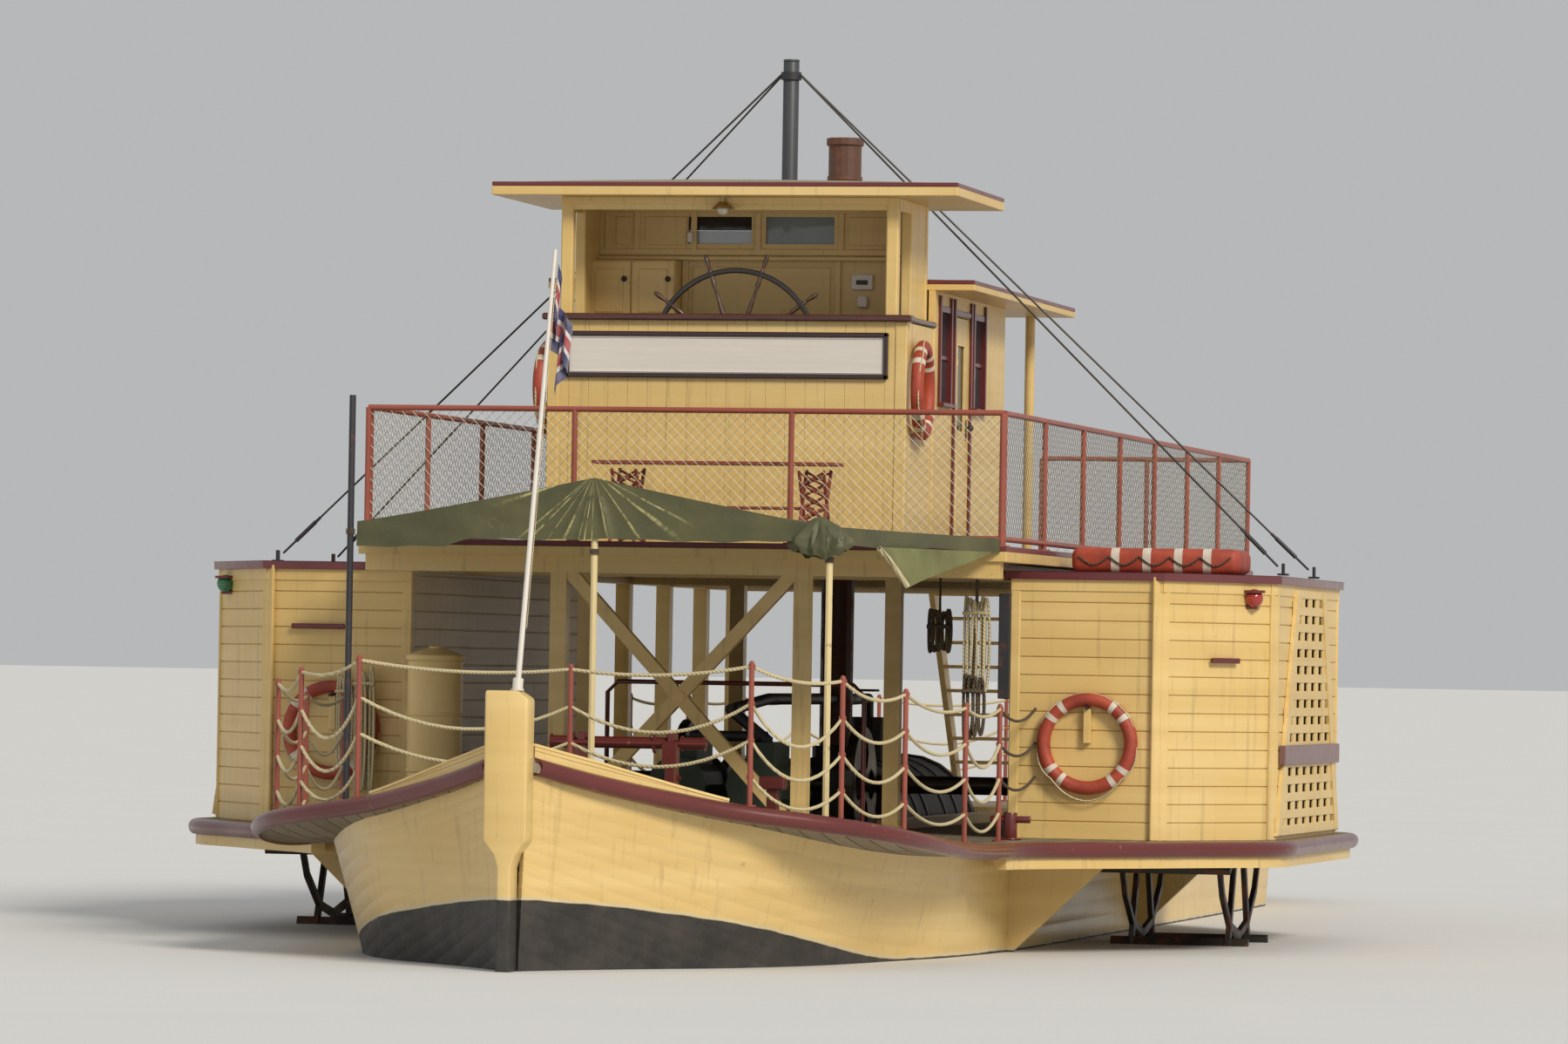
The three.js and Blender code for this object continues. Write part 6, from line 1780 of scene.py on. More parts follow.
def port_stays():
    """The port stays' wires, and their turnbuckles and plates."""
    wires, fittings = [], []
    for x, y in STAY_FEET:
        high = Vector((MAST["radius"] + 0.012, MAST["y"] + math.copysign(0.022, y - MAST["y"]), STAY_TOP))
        low = Vector((x, y, STAY_FOOT_Z + 0.02))
        along = (high - low).normalized()
        wires.append(bar(low + along * 0.42, high, 0.008, 8))
        fittings.append(bar(low + along * 0.06, low + along * 0.20, 0.009, 10))
        fittings.append(bar(low + along * 0.20, low + along * 0.42, 0.0165, 8))
        fittings.append(bar(low + along * 0.40, low + along * 0.47, 0.012, 8))
        fittings.append(timber((x - 0.04, y - 0.04, STAY_FOOT_Z - 0.0075),
                               (x + 0.04, y + 0.04, STAY_FOOT_Z + 0.008), 0.002))
        fittings.append(timber((x - 0.010, y - 0.028, STAY_FOOT_Z),
                               (x + 0.010, y + 0.028, STAY_FOOT_Z + 0.085), 0.003))
    return joined(wires), joined(fittings)


stay_paint = tarred_wire()
finish_piece(spar(), "mast_spar", grey_spar(), stands_for=["mast"])
wires, fittings = port_stays()
band = bar((0, MAST["y"], STAY_TOP - 0.04), (0, MAST["y"], STAY_TOP + 0.02), MAST["radius"] + 0.018, 32)
finish_piece(both_sides(wires), "mast_stay_wires", stay_paint,
             stands_for=["mast_stays"])
finish_piece(both_sides(fittings, band), "stay_turnbuckles_and_plates", black_iron)


# Funnel trim
# Rings of rolled angle riveted round the funnel's mouth, and a sheet-iron cone that covers the hole where
# it comes through the deckhouse roof.
def funnel_trim():
    """A ring at the mouth and one below it, and the flashing at the roof."""
    y, radius, top = FUNNEL_PLACE["y"], FUNNEL_PLACE["radius"], FUNNEL_PLACE["top"]
    rings = []
    for low, high, out in ((top - 0.055, top - 0.004, 0.008), (top - 0.34, top - 0.31, 0.006)):
        ring = primitive("cylinder", vertices=48, radius=radius + out / 2, depth=high - low,
                         location=(0, y, (low + high) / 2), end_fill_type="NOTHING")
        rings.append(apply_modifier(ring, "SOLIDIFY", thickness=out + 0.003, offset=0))
    flashing = primitive("cone", vertices=48, radius1=0.24, radius2=radius + 0.004, depth=0.12,
                         location=(0, y, 5.892), end_fill_type="NOTHING")
    rings.append(apply_modifier(flashing, "SOLIDIFY", thickness=0.004, offset=-1))
    return joined(rings)


finish_piece(funnel_trim(), "funnel_rings_and_flashing", funnel_plate)


# Foredeck canopy
# One coated tarpaulin with a sewn hem, lashed along the upper deck's edge and thrown over three poles,
# highest at the middle one, so that it creases away from there; its port corner is bunched and tied.
CANOPY = {"front": -8.640, "back": -6.010, "front_half": 1.72, "back_half": 2.40, "edge": 3.810,
          "back_edge": 3.790, "peak": 0.325, "hem": 3.680, "back_hem": 3.690}
FOLDS = ((7, 0.35, 0.60), (11, 1.95, 0.40))


def canopy_height(across, along):
    """The cloth's height at a share across (-1 to 1) and along (0 at the front)."""
    c = CANOPY
    edge = c["edge"] + (c["back_edge"] - c["edge"]) * along
    return edge + c["peak"] * (1 - min(abs(across), 1)) ** 1.1 * (1 - along) ** 1.1


def folds_at(angle):
    """Creases as sharp ridges with rounded hollows between them, where each wave's sine crosses zero."""
    skewed = angle + 0.16 * math.sin(3 * angle + 1.0)
    return sum(weight * (0.62 - abs(math.sin(count * skewed + phase)) ** 0.75)
               for count, phase, weight in FOLDS)


def fold_reach(distance):
    """How deep the creases are at a distance from the peak: none at it, deepest a quarter metre off."""
    return min(distance / 0.22, 1.0) * (0.10 + 0.90 * math.exp(-((max(distance - 0.22, 0.0) / 0.42) ** 2)))


def hem_height(across):
    """The front hem's height: lower to starboard, and uneven."""
    droop = 0.062 * max(0.0, min(1.0, (-across - 0.50) / 0.12))
    return CANOPY["hem"] + 0.020 - droop + 0.006 * math.sin(9 * across + 0.6) + 0.004 * math.sin(31 * across)


def canopy_cloth():
    """The sheet: its top, its front drop with creases, and a short drop on each side."""
    c = CANOPY
    columns, rows, drop_rows, side_columns = 161, 60, 18, 8
    peak_z = c["edge"] + c["peak"]

    def place(row, column):
        side = 0
        if column < side_columns:
            side, down = -1, (side_columns - column) / side_columns
        elif column >= side_columns + columns:
            side, down = 1, (column - side_columns - columns + 1) / side_columns
        across = side if side else 2 * (column - side_columns) / (columns - 1) - 1
        if row < drop_rows:
            fall = (drop_rows - row) / drop_rows
            top = canopy_height(across, 0)
            z = top + (hem_height(across) - top) * fall
            x = across * c["front_half"]
            below = peak_z + 0.03 - z
            angle = math.atan2(x, below)
            distance = math.hypot(x, below)
            depth = 0.030 * fold_reach(distance) * folds_at(angle) * min(1.0, 3.5 * fall)
            drag = (0.004 * math.sin(26 * (z - 0.25 * abs(x)) + 3 * x)
                    * min(1.0, 2.5 * fall) * min(1.0, abs(x)))
            return x, c["front"] - 0.010 * fall - depth - drag, z
        along = (row - drop_rows) / (rows - 1)
        half = c["front_half"] + (c["back_half"] - c["front_half"]) * along
        y = c["front"] + (c["back"] - c["front"]) * along
        z = canopy_height(across, along)
        x = across * half
        if side:
            low = hem_height(across) if along < 0.001 else (
                c["hem"] + (c["back_hem"] - c["hem"]) * along + 0.010 * math.sin(11 * along + side))
            wave = 0.010 * math.sin(23 * along + 2 * side) + 0.006 * math.sin(51 * along)
            return x + side * wave * down * min(1.0, 8 * along), y, z + (low - z) * down
        angle = math.atan2(x, (y - c["front"]) + 0.02)
        distance = math.hypot(x, y - c["front"])
        edge_free = min(1.0, 12 * along) * min(1.0, 10 * (1 - abs(across))) * min(1.0, 10 * (1 - along))
        z += (0.014 * fold_reach(distance) * folds_at(angle) - 0.016 * math.sin(math.pi * along)
              + 0.004 * math.sin(13 * x + 5 * y)) * edge_free
        return x, y, z
    cloth = laid_grid(rows + drop_rows, columns + 2 * side_columns, place)
    turn_outward(cloth, (0, -0.3, 1))
    apply_modifier(cloth, "WELD", merge_threshold=0.0004)
    return apply_modifier(cloth, "SOLIDIFY", thickness=0.003, offset=-1)


def bunched_corner():
    """The slack of the port corner, gathered round its pole and tied."""
    rows, columns = 22, 97
    heights = [(0.0, 0.010), (0.05, 0.045), (0.14, 0.070), (0.30, 0.120), (0.55, 0.168), (0.80, 0.180),
               (1.0, 0.150)]

    def place(row, column):
        share = row / (rows - 1)
        turn = 2 * math.pi * column / (columns - 1)
        radius = float(np.interp(share, [h[0] for h in heights], [h[1] for h in heights]))
        crumple = (0.26 * (0.6 - abs(math.sin(3.5 * turn + 0.6 + 1.6 * share)))
                   + 0.10 * math.sin(2 * turn + 1.0)
                   + 0.16 * (0.6 - abs(math.sin(6 * turn + 1.9 - 1.1 * share)))
                   + 0.03 * math.sin(23 * turn + 9 * share)) * min(1.0, 4 * share)
        radius *= 1 + crumple
        z = (3.878 - 0.262 * share + 0.024 * math.sin(2 * turn + 0.8) * share
             + 0.012 * math.sin(7 * turn) * share)
        return 1.62 + 1.05 * radius * math.cos(turn), -8.60 + 0.75 * radius * math.sin(turn), z
    bunch = laid_grid(rows, columns, place)
    turn_outward(bunch, (0, 0, 0.1))
    apply_modifier(bunch, "WELD", merge_threshold=0.0004)
    return apply_modifier(bunch, "SOLIDIFY", thickness=0.003, offset=1)


def hanging_flap():
    """A loose corner of the port hem that hangs open in a triangle."""
    rows, columns = 16, 24
    start, end, tip = Vector((1.90, -8.02, 3.685)), Vector((2.36, -6.18, 3.69)), Vector((2.075, -7.78, 3.400))

    def place(row, column):
        along, fall = column / (columns - 1), row / (rows - 1)
        top = start.lerp(end, along)
        low = tip.lerp(end, (along - 0.20) / 0.80) if along > 0.20 else start.lerp(tip, along / 0.20)
        point = top.lerp(low, fall)
        point.x += 0.022 * math.sin(7 * along + 2 * fall) * fall + 0.012
        return tuple(point)
    flap = laid_grid(rows, columns, place)
    turn_outward(flap, (1, 0, 0))
    apply_modifier(flap, "WELD", merge_threshold=0.0006)
    return apply_modifier(flap, "SOLIDIFY", thickness=0.003, offset=-1)


def coated_tarpaulin(name, colours):
    """PVC-coated woven tarpaulin: olive green, waxy gloss, pale worn patches at random, and painted
    highlights in pale lines along the creases near the peak.
    """
    made, tree, shader, place = new_material(name)
    drift = add_node(tree, "TexNoise", {"Vector": place, "Scale": 2.2, "Detail": 6, "Roughness": 0.6})
    tint = overlaid(tree, colours[0], colours[1], drift, 0.35, 0.68)
    cracks = add_node(tree, "TexNoise",
                      {"Vector": place, "Scale": 7.0, "Detail": 7, "Roughness": 0.72, "Distortion": 1.4})
    worn = overlaid(tree, tint, colours[2], cracks, 0.66, 0.74, 0.35)
    # Painted highlights: from here the pale colour is laid in thin lines along the creases that run out from
    # the peak, fading away from it and broken up by the cracks.
    axes = add_node(tree, "SeparateXYZ", {"Vector": place})
    behind = add_node(tree, "Math", {0: axes.outputs["Y"], 1: axes.outputs["Z"]}, operation="SUBTRACT")
    reach = add_node(tree, "Math", {0: behind, 1: CANOPY["edge"] + CANOPY["peak"] + 0.03 - CANOPY["front"]},
                     operation="ADD")
    turned = add_node(tree, "Math", {0: axes.outputs["X"], 1: reach}, operation="ARCTAN2")
    swing = add_node(tree, "Math", {0: turned, 1: 3.0, 2: 1.0}, operation="MULTIPLY_ADD")
    swing = add_node(tree, "Math", {0: swing}, operation="SINE")
    turned = add_node(tree, "Math", {0: swing, 1: 0.16, 2: turned}, operation="MULTIPLY_ADD")
    ridges = []
    for count, phase, weight in FOLDS:
        wave = add_node(tree, "Math", {0: turned, 1: count, 2: phase}, operation="MULTIPLY_ADD")
        sine = add_node(tree, "Math", {0: wave}, operation="SINE")
        size = add_node(tree, "Math", {0: sine}, operation="ABSOLUTE")
        ridges.append(add_node(tree, "MapRange",
                               {"Value": size, "From Min": 0.05, "From Max": 0.15, "To Min": 1.0,
                                "To Max": 0.0}))
    ridge = add_node(tree, "Math", {0: ridges[0], 1: ridges[1]}, operation="MAXIMUM")
    apart = add_node(tree, "VectorMath",
                     {0: place, 1: (0.03, CANOPY["front"], CANOPY["edge"] + CANOPY["peak"])},
                     operation="DISTANCE")
    near = add_node(tree, "MapRange",
                    {"Value": apart.outputs["Value"], "From Min": 0.46, "From Max": 0.80, "To Min": 1.0,
                     "To Max": 0.0})
    broken = add_node(tree, "MapRange", {"Value": cracks, "From Min": 0.38, "From Max": 0.56})
    # rubbed is the share of painted highlight on the creases.
    rubbed = add_node(tree, "Math", {0: ridge, 1: near}, operation="MULTIPLY")
    rubbed = add_node(tree, "Math", {0: rubbed, 1: broken}, operation="MULTIPLY")
    with_painted_highlights = add_node(tree, "MixRGB", {"Fac": rubbed, "Color1": worn, "Color2": colours[2]})
    rough = add_node(tree, "MapRange", {"Value": drift, "To Min": 0.42, "To Max": 0.62})
    crush = add_node(tree, "TexNoise", {"Vector": place, "Scale": 11.0, "Detail": 5, "Distortion": 0.8})
    weave = add_node(tree, "TexNoise", {"Vector": place, "Scale": 260.0, "Detail": 1})
    bump = relief(tree, (crush, 0.008), (weave, 0.0008), strength=0.75)
    connect(shader, {"Base Color": with_painted_highlights, "Roughness": rough, "Normal": bump})
    return made


# The third colour serves both the random pale wear and the painted crease highlights.
tarpaulin = coated_tarpaulin("olive_coated_tarpaulin", ("#494A30", "#5D5B39", "#B9B27A"))
# The flap is the same tarpaulin painted lighter, as painted sunlight on it.
flap_cloth_painted_sunlit = coated_tarpaulin("olive_tarpaulin_flap_painted_sunlit", ("#5F6035", "#7A7A48", "#B9B27A"))
canopy = finish_piece(joined([canopy_cloth(), bunched_corner()]), "foredeck_tarpaulin", tarpaulin,
                      stands_for=["foredeck_canopy"], sharp=50)
flap = finish_piece(hanging_flap(), "tarpaulin_loose_flap", flap_cloth_painted_sunlit, sharp=50)


# Canopy poles
# Steel tubes stood on the foredeck: two cream ones under the cloth and a dark one beside its starboard
# corner, with a lashing of cord where each meets the tarpaulin.
def pole_lashing(x, y, z):
    """Four turns of cord round a pole."""
    return [primitive("torus", major_segments=20, minor_segments=6, major_radius=0.029, minor_radius=0.005,
                      location=(x, y, z + index * 0.0105)) for index in range(4)]


pole_paint = painted_iron("cream_enamel_on_steel_tube", ("#D9C48F", "#E6D3A0"), rust="#8A6A48", gloss=0.38,
                          rust_from=0.62)
for node, material in (("canopy_pole_centre", pole_paint), ("canopy_pole_port", pole_paint),
                       ("canopy_pole_starboard", black_iron)):
    dress_node(node, material, 0)
lashings = [*pole_lashing(0, -8.60, 3.60), *pole_lashing(1.69, -8.60, 3.565),
            *pole_lashing(-1.76, -8.67, 3.72)]


def laid_rope(name, colours):
    """Three-strand laid rope: pale fibre with darker lays between the strands, greyed by hands and rain."""
    made, tree, shader, place = new_material(name)
    lay = add_node(tree, "TexWave", {"Vector": place, "Scale": 22.0, "Distortion": 1.0},
                   bands_direction="DIAGONAL")
    tint = add_node(tree, "MixRGB", {"Fac": lay.outputs["Fac"], "Color1": colours[1], "Color2": colours[0]})
    dirt = add_node(tree, "TexNoise", {"Vector": place, "Scale": 4.0, "Detail": 4})
    dirty = overlaid(tree, tint, colours[1], dirt, 0.5, 0.7, 0.5)
    bump = relief(tree, (lay.outputs["Fac"], 0.003))
    connect(shader, {"Base Color": dirty, "Roughness": 0.85, "Normal": bump})
    return made


pale_rope = laid_rope("cream_laid_rope", ("#D9CDA8", "#BBAB82"))
# The dark rope also serves as painted shade: the foredeck rope ends are pale ropes drawn in it where they
# hang in shadow.
dark_rope = laid_rope("brown_rope_and_painted_rope_shade", ("#6A5C48", "#3E352A"))
finish_piece(joined(lashings), "canopy_pole_lashings", dark_rope)


# Rope rails
# Stanchions of painted pipe in flanged sockets, with an eye at each level for four ropes: the top one
# set up nearly taut, the lower ones left to hang in deep curves. Round the stern there are three.
FOREDECK_STANCHIONS = ((1.392, -9.690), (1.936, -9.240), (2.266, -8.680), (2.435, -7.360), (2.470, -6.250))
STERN_STANCHIONS = ((2.450, 2.700), (2.410, 4.700), (2.370, 6.700), (2.250, 8.565), (1.750, 9.790),
                    (0.700, 10.690))
ROPE_LEVELS = ((0.205, (0.175, 0.135, 0.110, 0.13)), (0.455, (0.225, 0.150, 0.130, 0.17)),
               (0.705, (0.245, 0.125, 0.120, 0.17)), (0.960, (0.056, 0.085, 0.070, 0.06)))
ROPE_RADIUS = 0.0125
STANCHION_HEIGHT = 1.0


def rope_run(points, radius=ROPE_RADIUS, sides=8):
    """A closed round run of rope or rod through a row of points."""
    points = [Vector(point) for point in points]
    ends = [points[0], *points, points[-1]]
    frames, side = [], Vector((0, 0, 1))
    for index in range(len(points)):
        along = (points[min(index + 1, len(points) - 1)] - points[max(index - 1, 0)]).normalized()
        side = side - along * side.dot(along)
        if side.length < 0.05:
            side = along.orthogonal()
        side.normalize()
        frames.append((side.copy(), along.cross(side)))
    frames = [frames[0], *frames, frames[-1]]

    def place(row, column):
        turn = 2 * math.pi * column / sides
        reach = 0.00005 if row in (0, len(ends) - 1) else radius
        first, second = frames[row]
        return tuple(ends[row] + first * (reach * math.cos(turn)) + second * (reach * math.sin(turn)))
    made = laid_grid(len(ends), sides + 1, place)
    apply_modifier(made, "WELD", merge_threshold=0.0003)
    face_outward(made)
    return made


def sagging(places, height, sag, steps=12):
    """Points of a rope from stanchion to stanchion, in a curve that hangs by sag in each bay."""
    points = []
    for index, ((x0, y0), (x1, y1)) in enumerate(zip(places, places[1:])):
        bay = sag[index] if isinstance(sag, tuple) else sag
        for step in range(steps + (index == len(places) - 2)):
            share = step / steps
            x, y = x0 + (x1 - x0) * share, y0 + (y1 - y0) * share
            z = sheer(y0) + (sheer(y1) - sheer(y0)) * share + height - 4 * bay * share * (1 - share)
            points.append((x, y, z))
    return points


def stanchion(x, y):
    """A post with its deck flange and rounded head."""
    foot = sheer(y)
    post = bar((x, y, foot + 0.001), (x, y, foot + STANCHION_HEIGHT - 0.014), 0.0185, 14)
    flange = bar((x, y, foot + 0.001), (x, y, foot + 0.012), 0.045, 16)
    head = primitive("uv_sphere", segments=14, ring_count=8, radius=0.0185,
                     location=(x, y, foot + STANCHION_HEIGHT - 0.0185))
    return [post, flange, head]


def rope_eyes(places, levels):
    """A welded eye on each stanchion at each rope's level."""
    return [primitive("torus", major_segments=12, minor_segments=6, major_radius=0.022, minor_radius=0.0055,
                      location=(x, y, sheer(y) + height), rotation=(0, math.pi / 2, math.atan2(y, x)))
            for x, y in places for height in levels]


hem_strip = rope_run([(1.915, -8.00, 3.675), (1.965, -7.93, 3.610), (2.020, -7.86, 3.520),
                      (2.082, -7.785, 3.412)], 0.020, 8)
finish_piece(hem_strip, "flap_hem_batten", pale_rope)
levels = [height for height, _ in ROPE_LEVELS]
posts = []
for x, y in FOREDECK_STANCHIONS:
    posts += stanchion(x, y)
port_posts = joined([*posts, *rope_eyes(FOREDECK_STANCHIONS, levels)])
finish_pair(port_posts, "foredeck_stanchions", rail_paint)
BOX_EYE = (2.500, -5.010)
port_ropes = joined([rope_run(sagging(FOREDECK_STANCHIONS, height, sag)) for height, sag in ROPE_LEVELS])
# Painted shade: these ends carry on the pale ropes to the box, drawn in the dark rope because they hang in
# shadow.
box_ends = [rope_run(sagging([FOREDECK_STANCHIONS[-1], BOX_EYE], height, 0.09), 0.011)
            for height, _ in ROPE_LEVELS[1:]]
finish_piece(joined(box_ends), "foredeck_rope_ends", dark_rope)
finish_pair(port_ropes, "foredeck_ropes", pale_rope, "foredeck_rope_rail")

BOW_STANCHION = (0.07, -9.50)
first_port, first_starboard = FOREDECK_STANCHIONS[0], (-FOREDECK_STANCHIONS[0][0], FOREDECK_STANCHIONS[0][1])
bow_posts = joined([*stanchion(*BOW_STANCHION), *rope_eyes([BOW_STANCHION], levels)])
finish_piece(bow_posts, "bow_stanchion", rail_paint)
bow_ropes = [rope_run(sagging([first_port, BOW_STANCHION, first_starboard], height, sag))
             for height, sag in ((0.455, 0.175), (0.705, 0.19), (0.960, 0.05))]
finish_piece(joined(bow_ropes), "bow_ropes", pale_rope)

stern_places = [*STERN_STANCHIONS, *((-x, y) for x, y in reversed(STERN_STANCHIONS))]
posts = []
for x, y in stern_places:
    posts += stanchion(x, y)
finish_piece(joined([*posts, *rope_eyes(stern_places, levels[1:])]), "stern_stanchions", rail_paint)
finish_piece(joined([rope_run(sagging(stern_places, height, sag[3])) for height, sag in ROPE_LEVELS[1:]]),
             "stern_ropes", pale_rope, stands_for=["stern_rope_rail"])


# Windlass
# A hand windlass in maroon enamel: barrel and warping heads on one shaft in two bolted cheeks, with a
# ratchet wheel. Fairlead posts stand on the foredeck with it, and a pipe guard ahead of the well.
WINDLASS = {"y": -7.50, "z": 2.27, "cheek": 0.33}


def cheek_fittings():
    """Bolts on the cheeks' outer faces, and a small block inside each over the shaft."""
    w = WINDLASS
    parts = []
    for side in (1, -1):
        outer = side * (w["cheek"] + 0.0255)
        for y, z in ((w["y"] - 0.115, 1.80), (w["y"] + 0.115, 1.80), (w["y"] - 0.080, 2.02),
                     (w["y"] + 0.080, 2.02)):
            parts.append(bar((outer, y, z), (outer + side * 0.014, y, z), 0.016, 6))
        inner = side * (w["cheek"] - 0.0255)
        parts.append(timber((min(inner, inner - side * 0.012), w["y"] - 0.055, w["z"] + 0.028),
                            (max(inner, inner - side * 0.012), w["y"] + 0.055, w["z"] + 0.066), 0.003))
    return joined(parts)


def barrel_fittings():
    """The ratchet wheel, and the flanges of the warping heads."""
    w = WINDLASS
    parts = []
    teeth = 16
    ratchet = primitive("cylinder", vertices=2 * teeth, radius=0.075, depth=0.022,
                        location=(0.20, w["y"], w["z"]), rotation=(0, math.pi / 2, 0))
    for vertex in ratchet.data.vertices:
        turn = math.atan2(vertex.co.z - w["z"], vertex.co.y - w["y"])
        if round(turn / (math.pi / teeth)) % 2:
            vertex.co.y = w["y"] + (vertex.co.y - w["y"]) * 0.84
            vertex.co.z = w["z"] + (vertex.co.z - w["z"]) * 0.84
    parts.append(ratchet)
    for side in (1, -1):
        for x, radius, depth in ((0.397, 0.056, 0.014), (0.563, 0.056, 0.014)):
            parts.append(bar((side * (x - depth / 2), w["y"], w["z"]),
                             (side * (x + depth / 2), w["y"], w["z"]), radius, 28))
    made = joined(parts)
    return apply_modifier(made, "BEVEL", width=0.002, segments=1, limit_method="ANGLE")


dress_node("windlass_frame", maroon_paint, 0.006)
dress_node("windlass_barrel", maroon_paint, 0.004)
finish_piece(cheek_fittings(), "windlass_cheek_bolts", maroon_paint)
finish_piece(barrel_fittings(), "windlass_ratchet_and_flanges", maroon_paint,
             body="windlass_barrel")


def pipe_guard():
    """The guard of thin pipe ahead of the well, and the fairlead posts on the foredeck."""
    guard_y = -4.05
    guard = [rope_run([(-1.0, guard_y, DECK_Z), (-1.0, guard_y, 2.62), (-0.92, guard_y, 2.70),
                       (0.92, guard_y, 2.70), (1.0, guard_y, 2.62), (1.0, guard_y, DECK_Z)], 0.018, 10)]
    foot = sheer(-8.05)
    bar_z = foot + 0.64
    guard.append(rope_run([(-0.42, -8.05, bar_z), (0.70, -8.05, bar_z)], 0.020, 12))
    guard.append(timber((0.39, -8.10, bar_z - 0.16), (0.50, -8.00, bar_z + 0.015), 0.006))
    guard.append(timber((0.41, -8.08, foot), (0.48, -8.02, bar_z - 0.15), 0.005))
    guard.append(timber((-0.30, -8.08, foot), (-0.24, -8.02, bar_z), 0.005))
    foot = sheer(-7.9)
    guard.append(timber((1.12, -7.95, foot), (1.20, -7.87, foot + 0.42), 0.006))
    guard.append(timber((1.07, -7.98, foot + 0.34), (1.25, -7.84, foot + 0.43), 0.008))
    return joined(guard)


finish_piece(pipe_guard(), "guard_pipe_and_fairlead_posts", maroon_paint)


# Foredeck drum
# A sheet-steel drum with rolled hoops and a cone lid with a cap, in cream enamel with rust coming
# through. It stands on the foredeck by the starboard box.
def drum():
    """The drum, spun from its profile of (radius, height)."""
    x, y, z = -1.98, -5.48, DECK_Z + 0.0004
    profile = [(0.0001, 0), (0.210, 0), (0.210, 0.012), (0.206, 0.020), (0.206, 0.405), (0.214, 0.416),
               (0.214, 0.428), (0.206, 0.439), (0.206, 0.825), (0.214, 0.836), (0.214, 0.848), (0.206, 0.859),
               (0.206, 1.236), (0.220, 1.250), (0.220, 1.278), (0.214, 1.286), (0.060, 1.336), (0.052, 1.338),
               (0.052, 1.349), (0.0001, 1.350)]
    sides = 48
    made = laid_grid(len(profile), sides + 1, lambda row, column: (
        x + profile[row][0] * math.cos(2 * math.pi * column / sides),
        y + profile[row][0] * math.sin(2 * math.pi * column / sides), z + profile[row][1]))
    apply_modifier(made, "WELD", merge_threshold=0.0003)
    face_outward(made)
    return made


drum_paint = painted_iron("cream_enamel_on_sheet_steel", ("#DDBD79", "#E8CD90"), rust="#8A5A38", gloss=0.36,
                          rust_from=0.63)
finish_piece(drum(), "foredeck_drum_with_cone_lid", drum_paint, stands_for=["foredeck_drum"])


# Lifebuoys
# Canvas-covered rings in orange enamel with pairs of white bands, and a line held by the bands that
# hangs in loops round the outside. The front ones hang on pegs on the boxes, two edge-on beside the cabin.
BUOY = {"ring": 0.328, "tube": 0.052}
BOX_BUOY = (2.90, -5.0523, 2.30)
CABIN_BUOY = (1.442, -4.18, 4.935)


def painted_canvas_ring():
    """Orange enamel over sewn canvas: chalky, faded in drifts, the cloth's weave just proud."""
    made, tree, shader, place = new_material("orange_enamel_on_canvas")
    fade = add_node(tree, "TexNoise", {"Vector": place, "Scale": 5.0, "Detail": 6, "Roughness": 0.65})
    tint = overlaid(tree, "#93392A", "#B54C34", fade, 0.35, 0.65)
    scuff = add_node(tree, "TexNoise", {"Vector": place, "Scale": 22.0, "Detail": 5, "Roughness": 0.7})
    worn = overlaid(tree, tint, "#C98768", scuff, 0.62, 0.70, 0.5)
    weave = add_node(tree, "TexNoise", {"Vector": place, "Scale": 180.0, "Detail": 1})
    bump = relief(tree, (weave, 0.0015))
    connect(shader, {"Base Color": worn, "Roughness": 0.55, "Normal": bump})
    return made


def white_band_cloth():
    """White painted tape over canvas, yellowed and rubbed."""
    made, tree, shader, place = new_material("white_painted_tape")
    dirt = add_node(tree, "TexNoise", {"Vector": place, "Scale": 16.0, "Detail": 5})
    tint = add_node(tree, "MixRGB", {"Fac": dirt, "Color1": "#E6DFD2", "Color2": "#BDB19D"})
    connect(shader, {"Base Color": tint, "Roughness": 0.6})
    return made


def ring_grid(first, last, tube, turns, sides=20):
    """Part of a ring in the XZ plane, from one angle to another, closed when they are a whole turn apart."""

    def place(row, column):
        round_tube, round_ring = 2 * math.pi * column / sides, first + (last - first) * row / turns
        reach = BUOY["ring"] + tube * math.cos(round_tube)
        return reach * math.cos(round_ring), tube * math.sin(round_tube), reach * math.sin(round_ring)
    return laid_grid(turns + 1, sides + 1, place)


def lifebuoy_parts():
    """Ring, bands and line of one lifebuoy, centred on the origin and facing -Y."""
    ring = ring_grid(0, 2 * math.pi, BUOY["tube"] - 0.0012, 96)
    apply_modifier(ring, "WELD", merge_threshold=0.0004)
    bands = []
    for quarter in range(4):
        for offset in (-0.17, 0.17):
            middle = math.radians(45 + 90 * quarter) + offset
            band = ring_grid(middle - 0.062, middle + 0.062, BUOY["tube"], 4)
            apply_modifier(band, "WELD", merge_threshold=0.0004)
            bands.append(apply_modifier(band, "SOLIDIFY", thickness=0.003, offset=-1))
    for piece in (ring, *bands):
        face_outward(piece)
    line = []
    steps = 96
    reach = BUOY["ring"] + BUOY["tube"]
    for step in range(steps + 1):
        turn = 2 * math.pi * step / steps
        slack = abs(math.sin(2 * (turn - math.pi / 4)))
        out = reach - 0.008
        drop = 0.050 * slack if math.sin(turn) < 0.35 else 0.0
        line.append((out * math.cos(turn), -0.034 * (1 - 0.6 * slack), out * math.sin(turn) - drop))
    return ring, joined(bands), rope_run(line, 0.0065, 6)


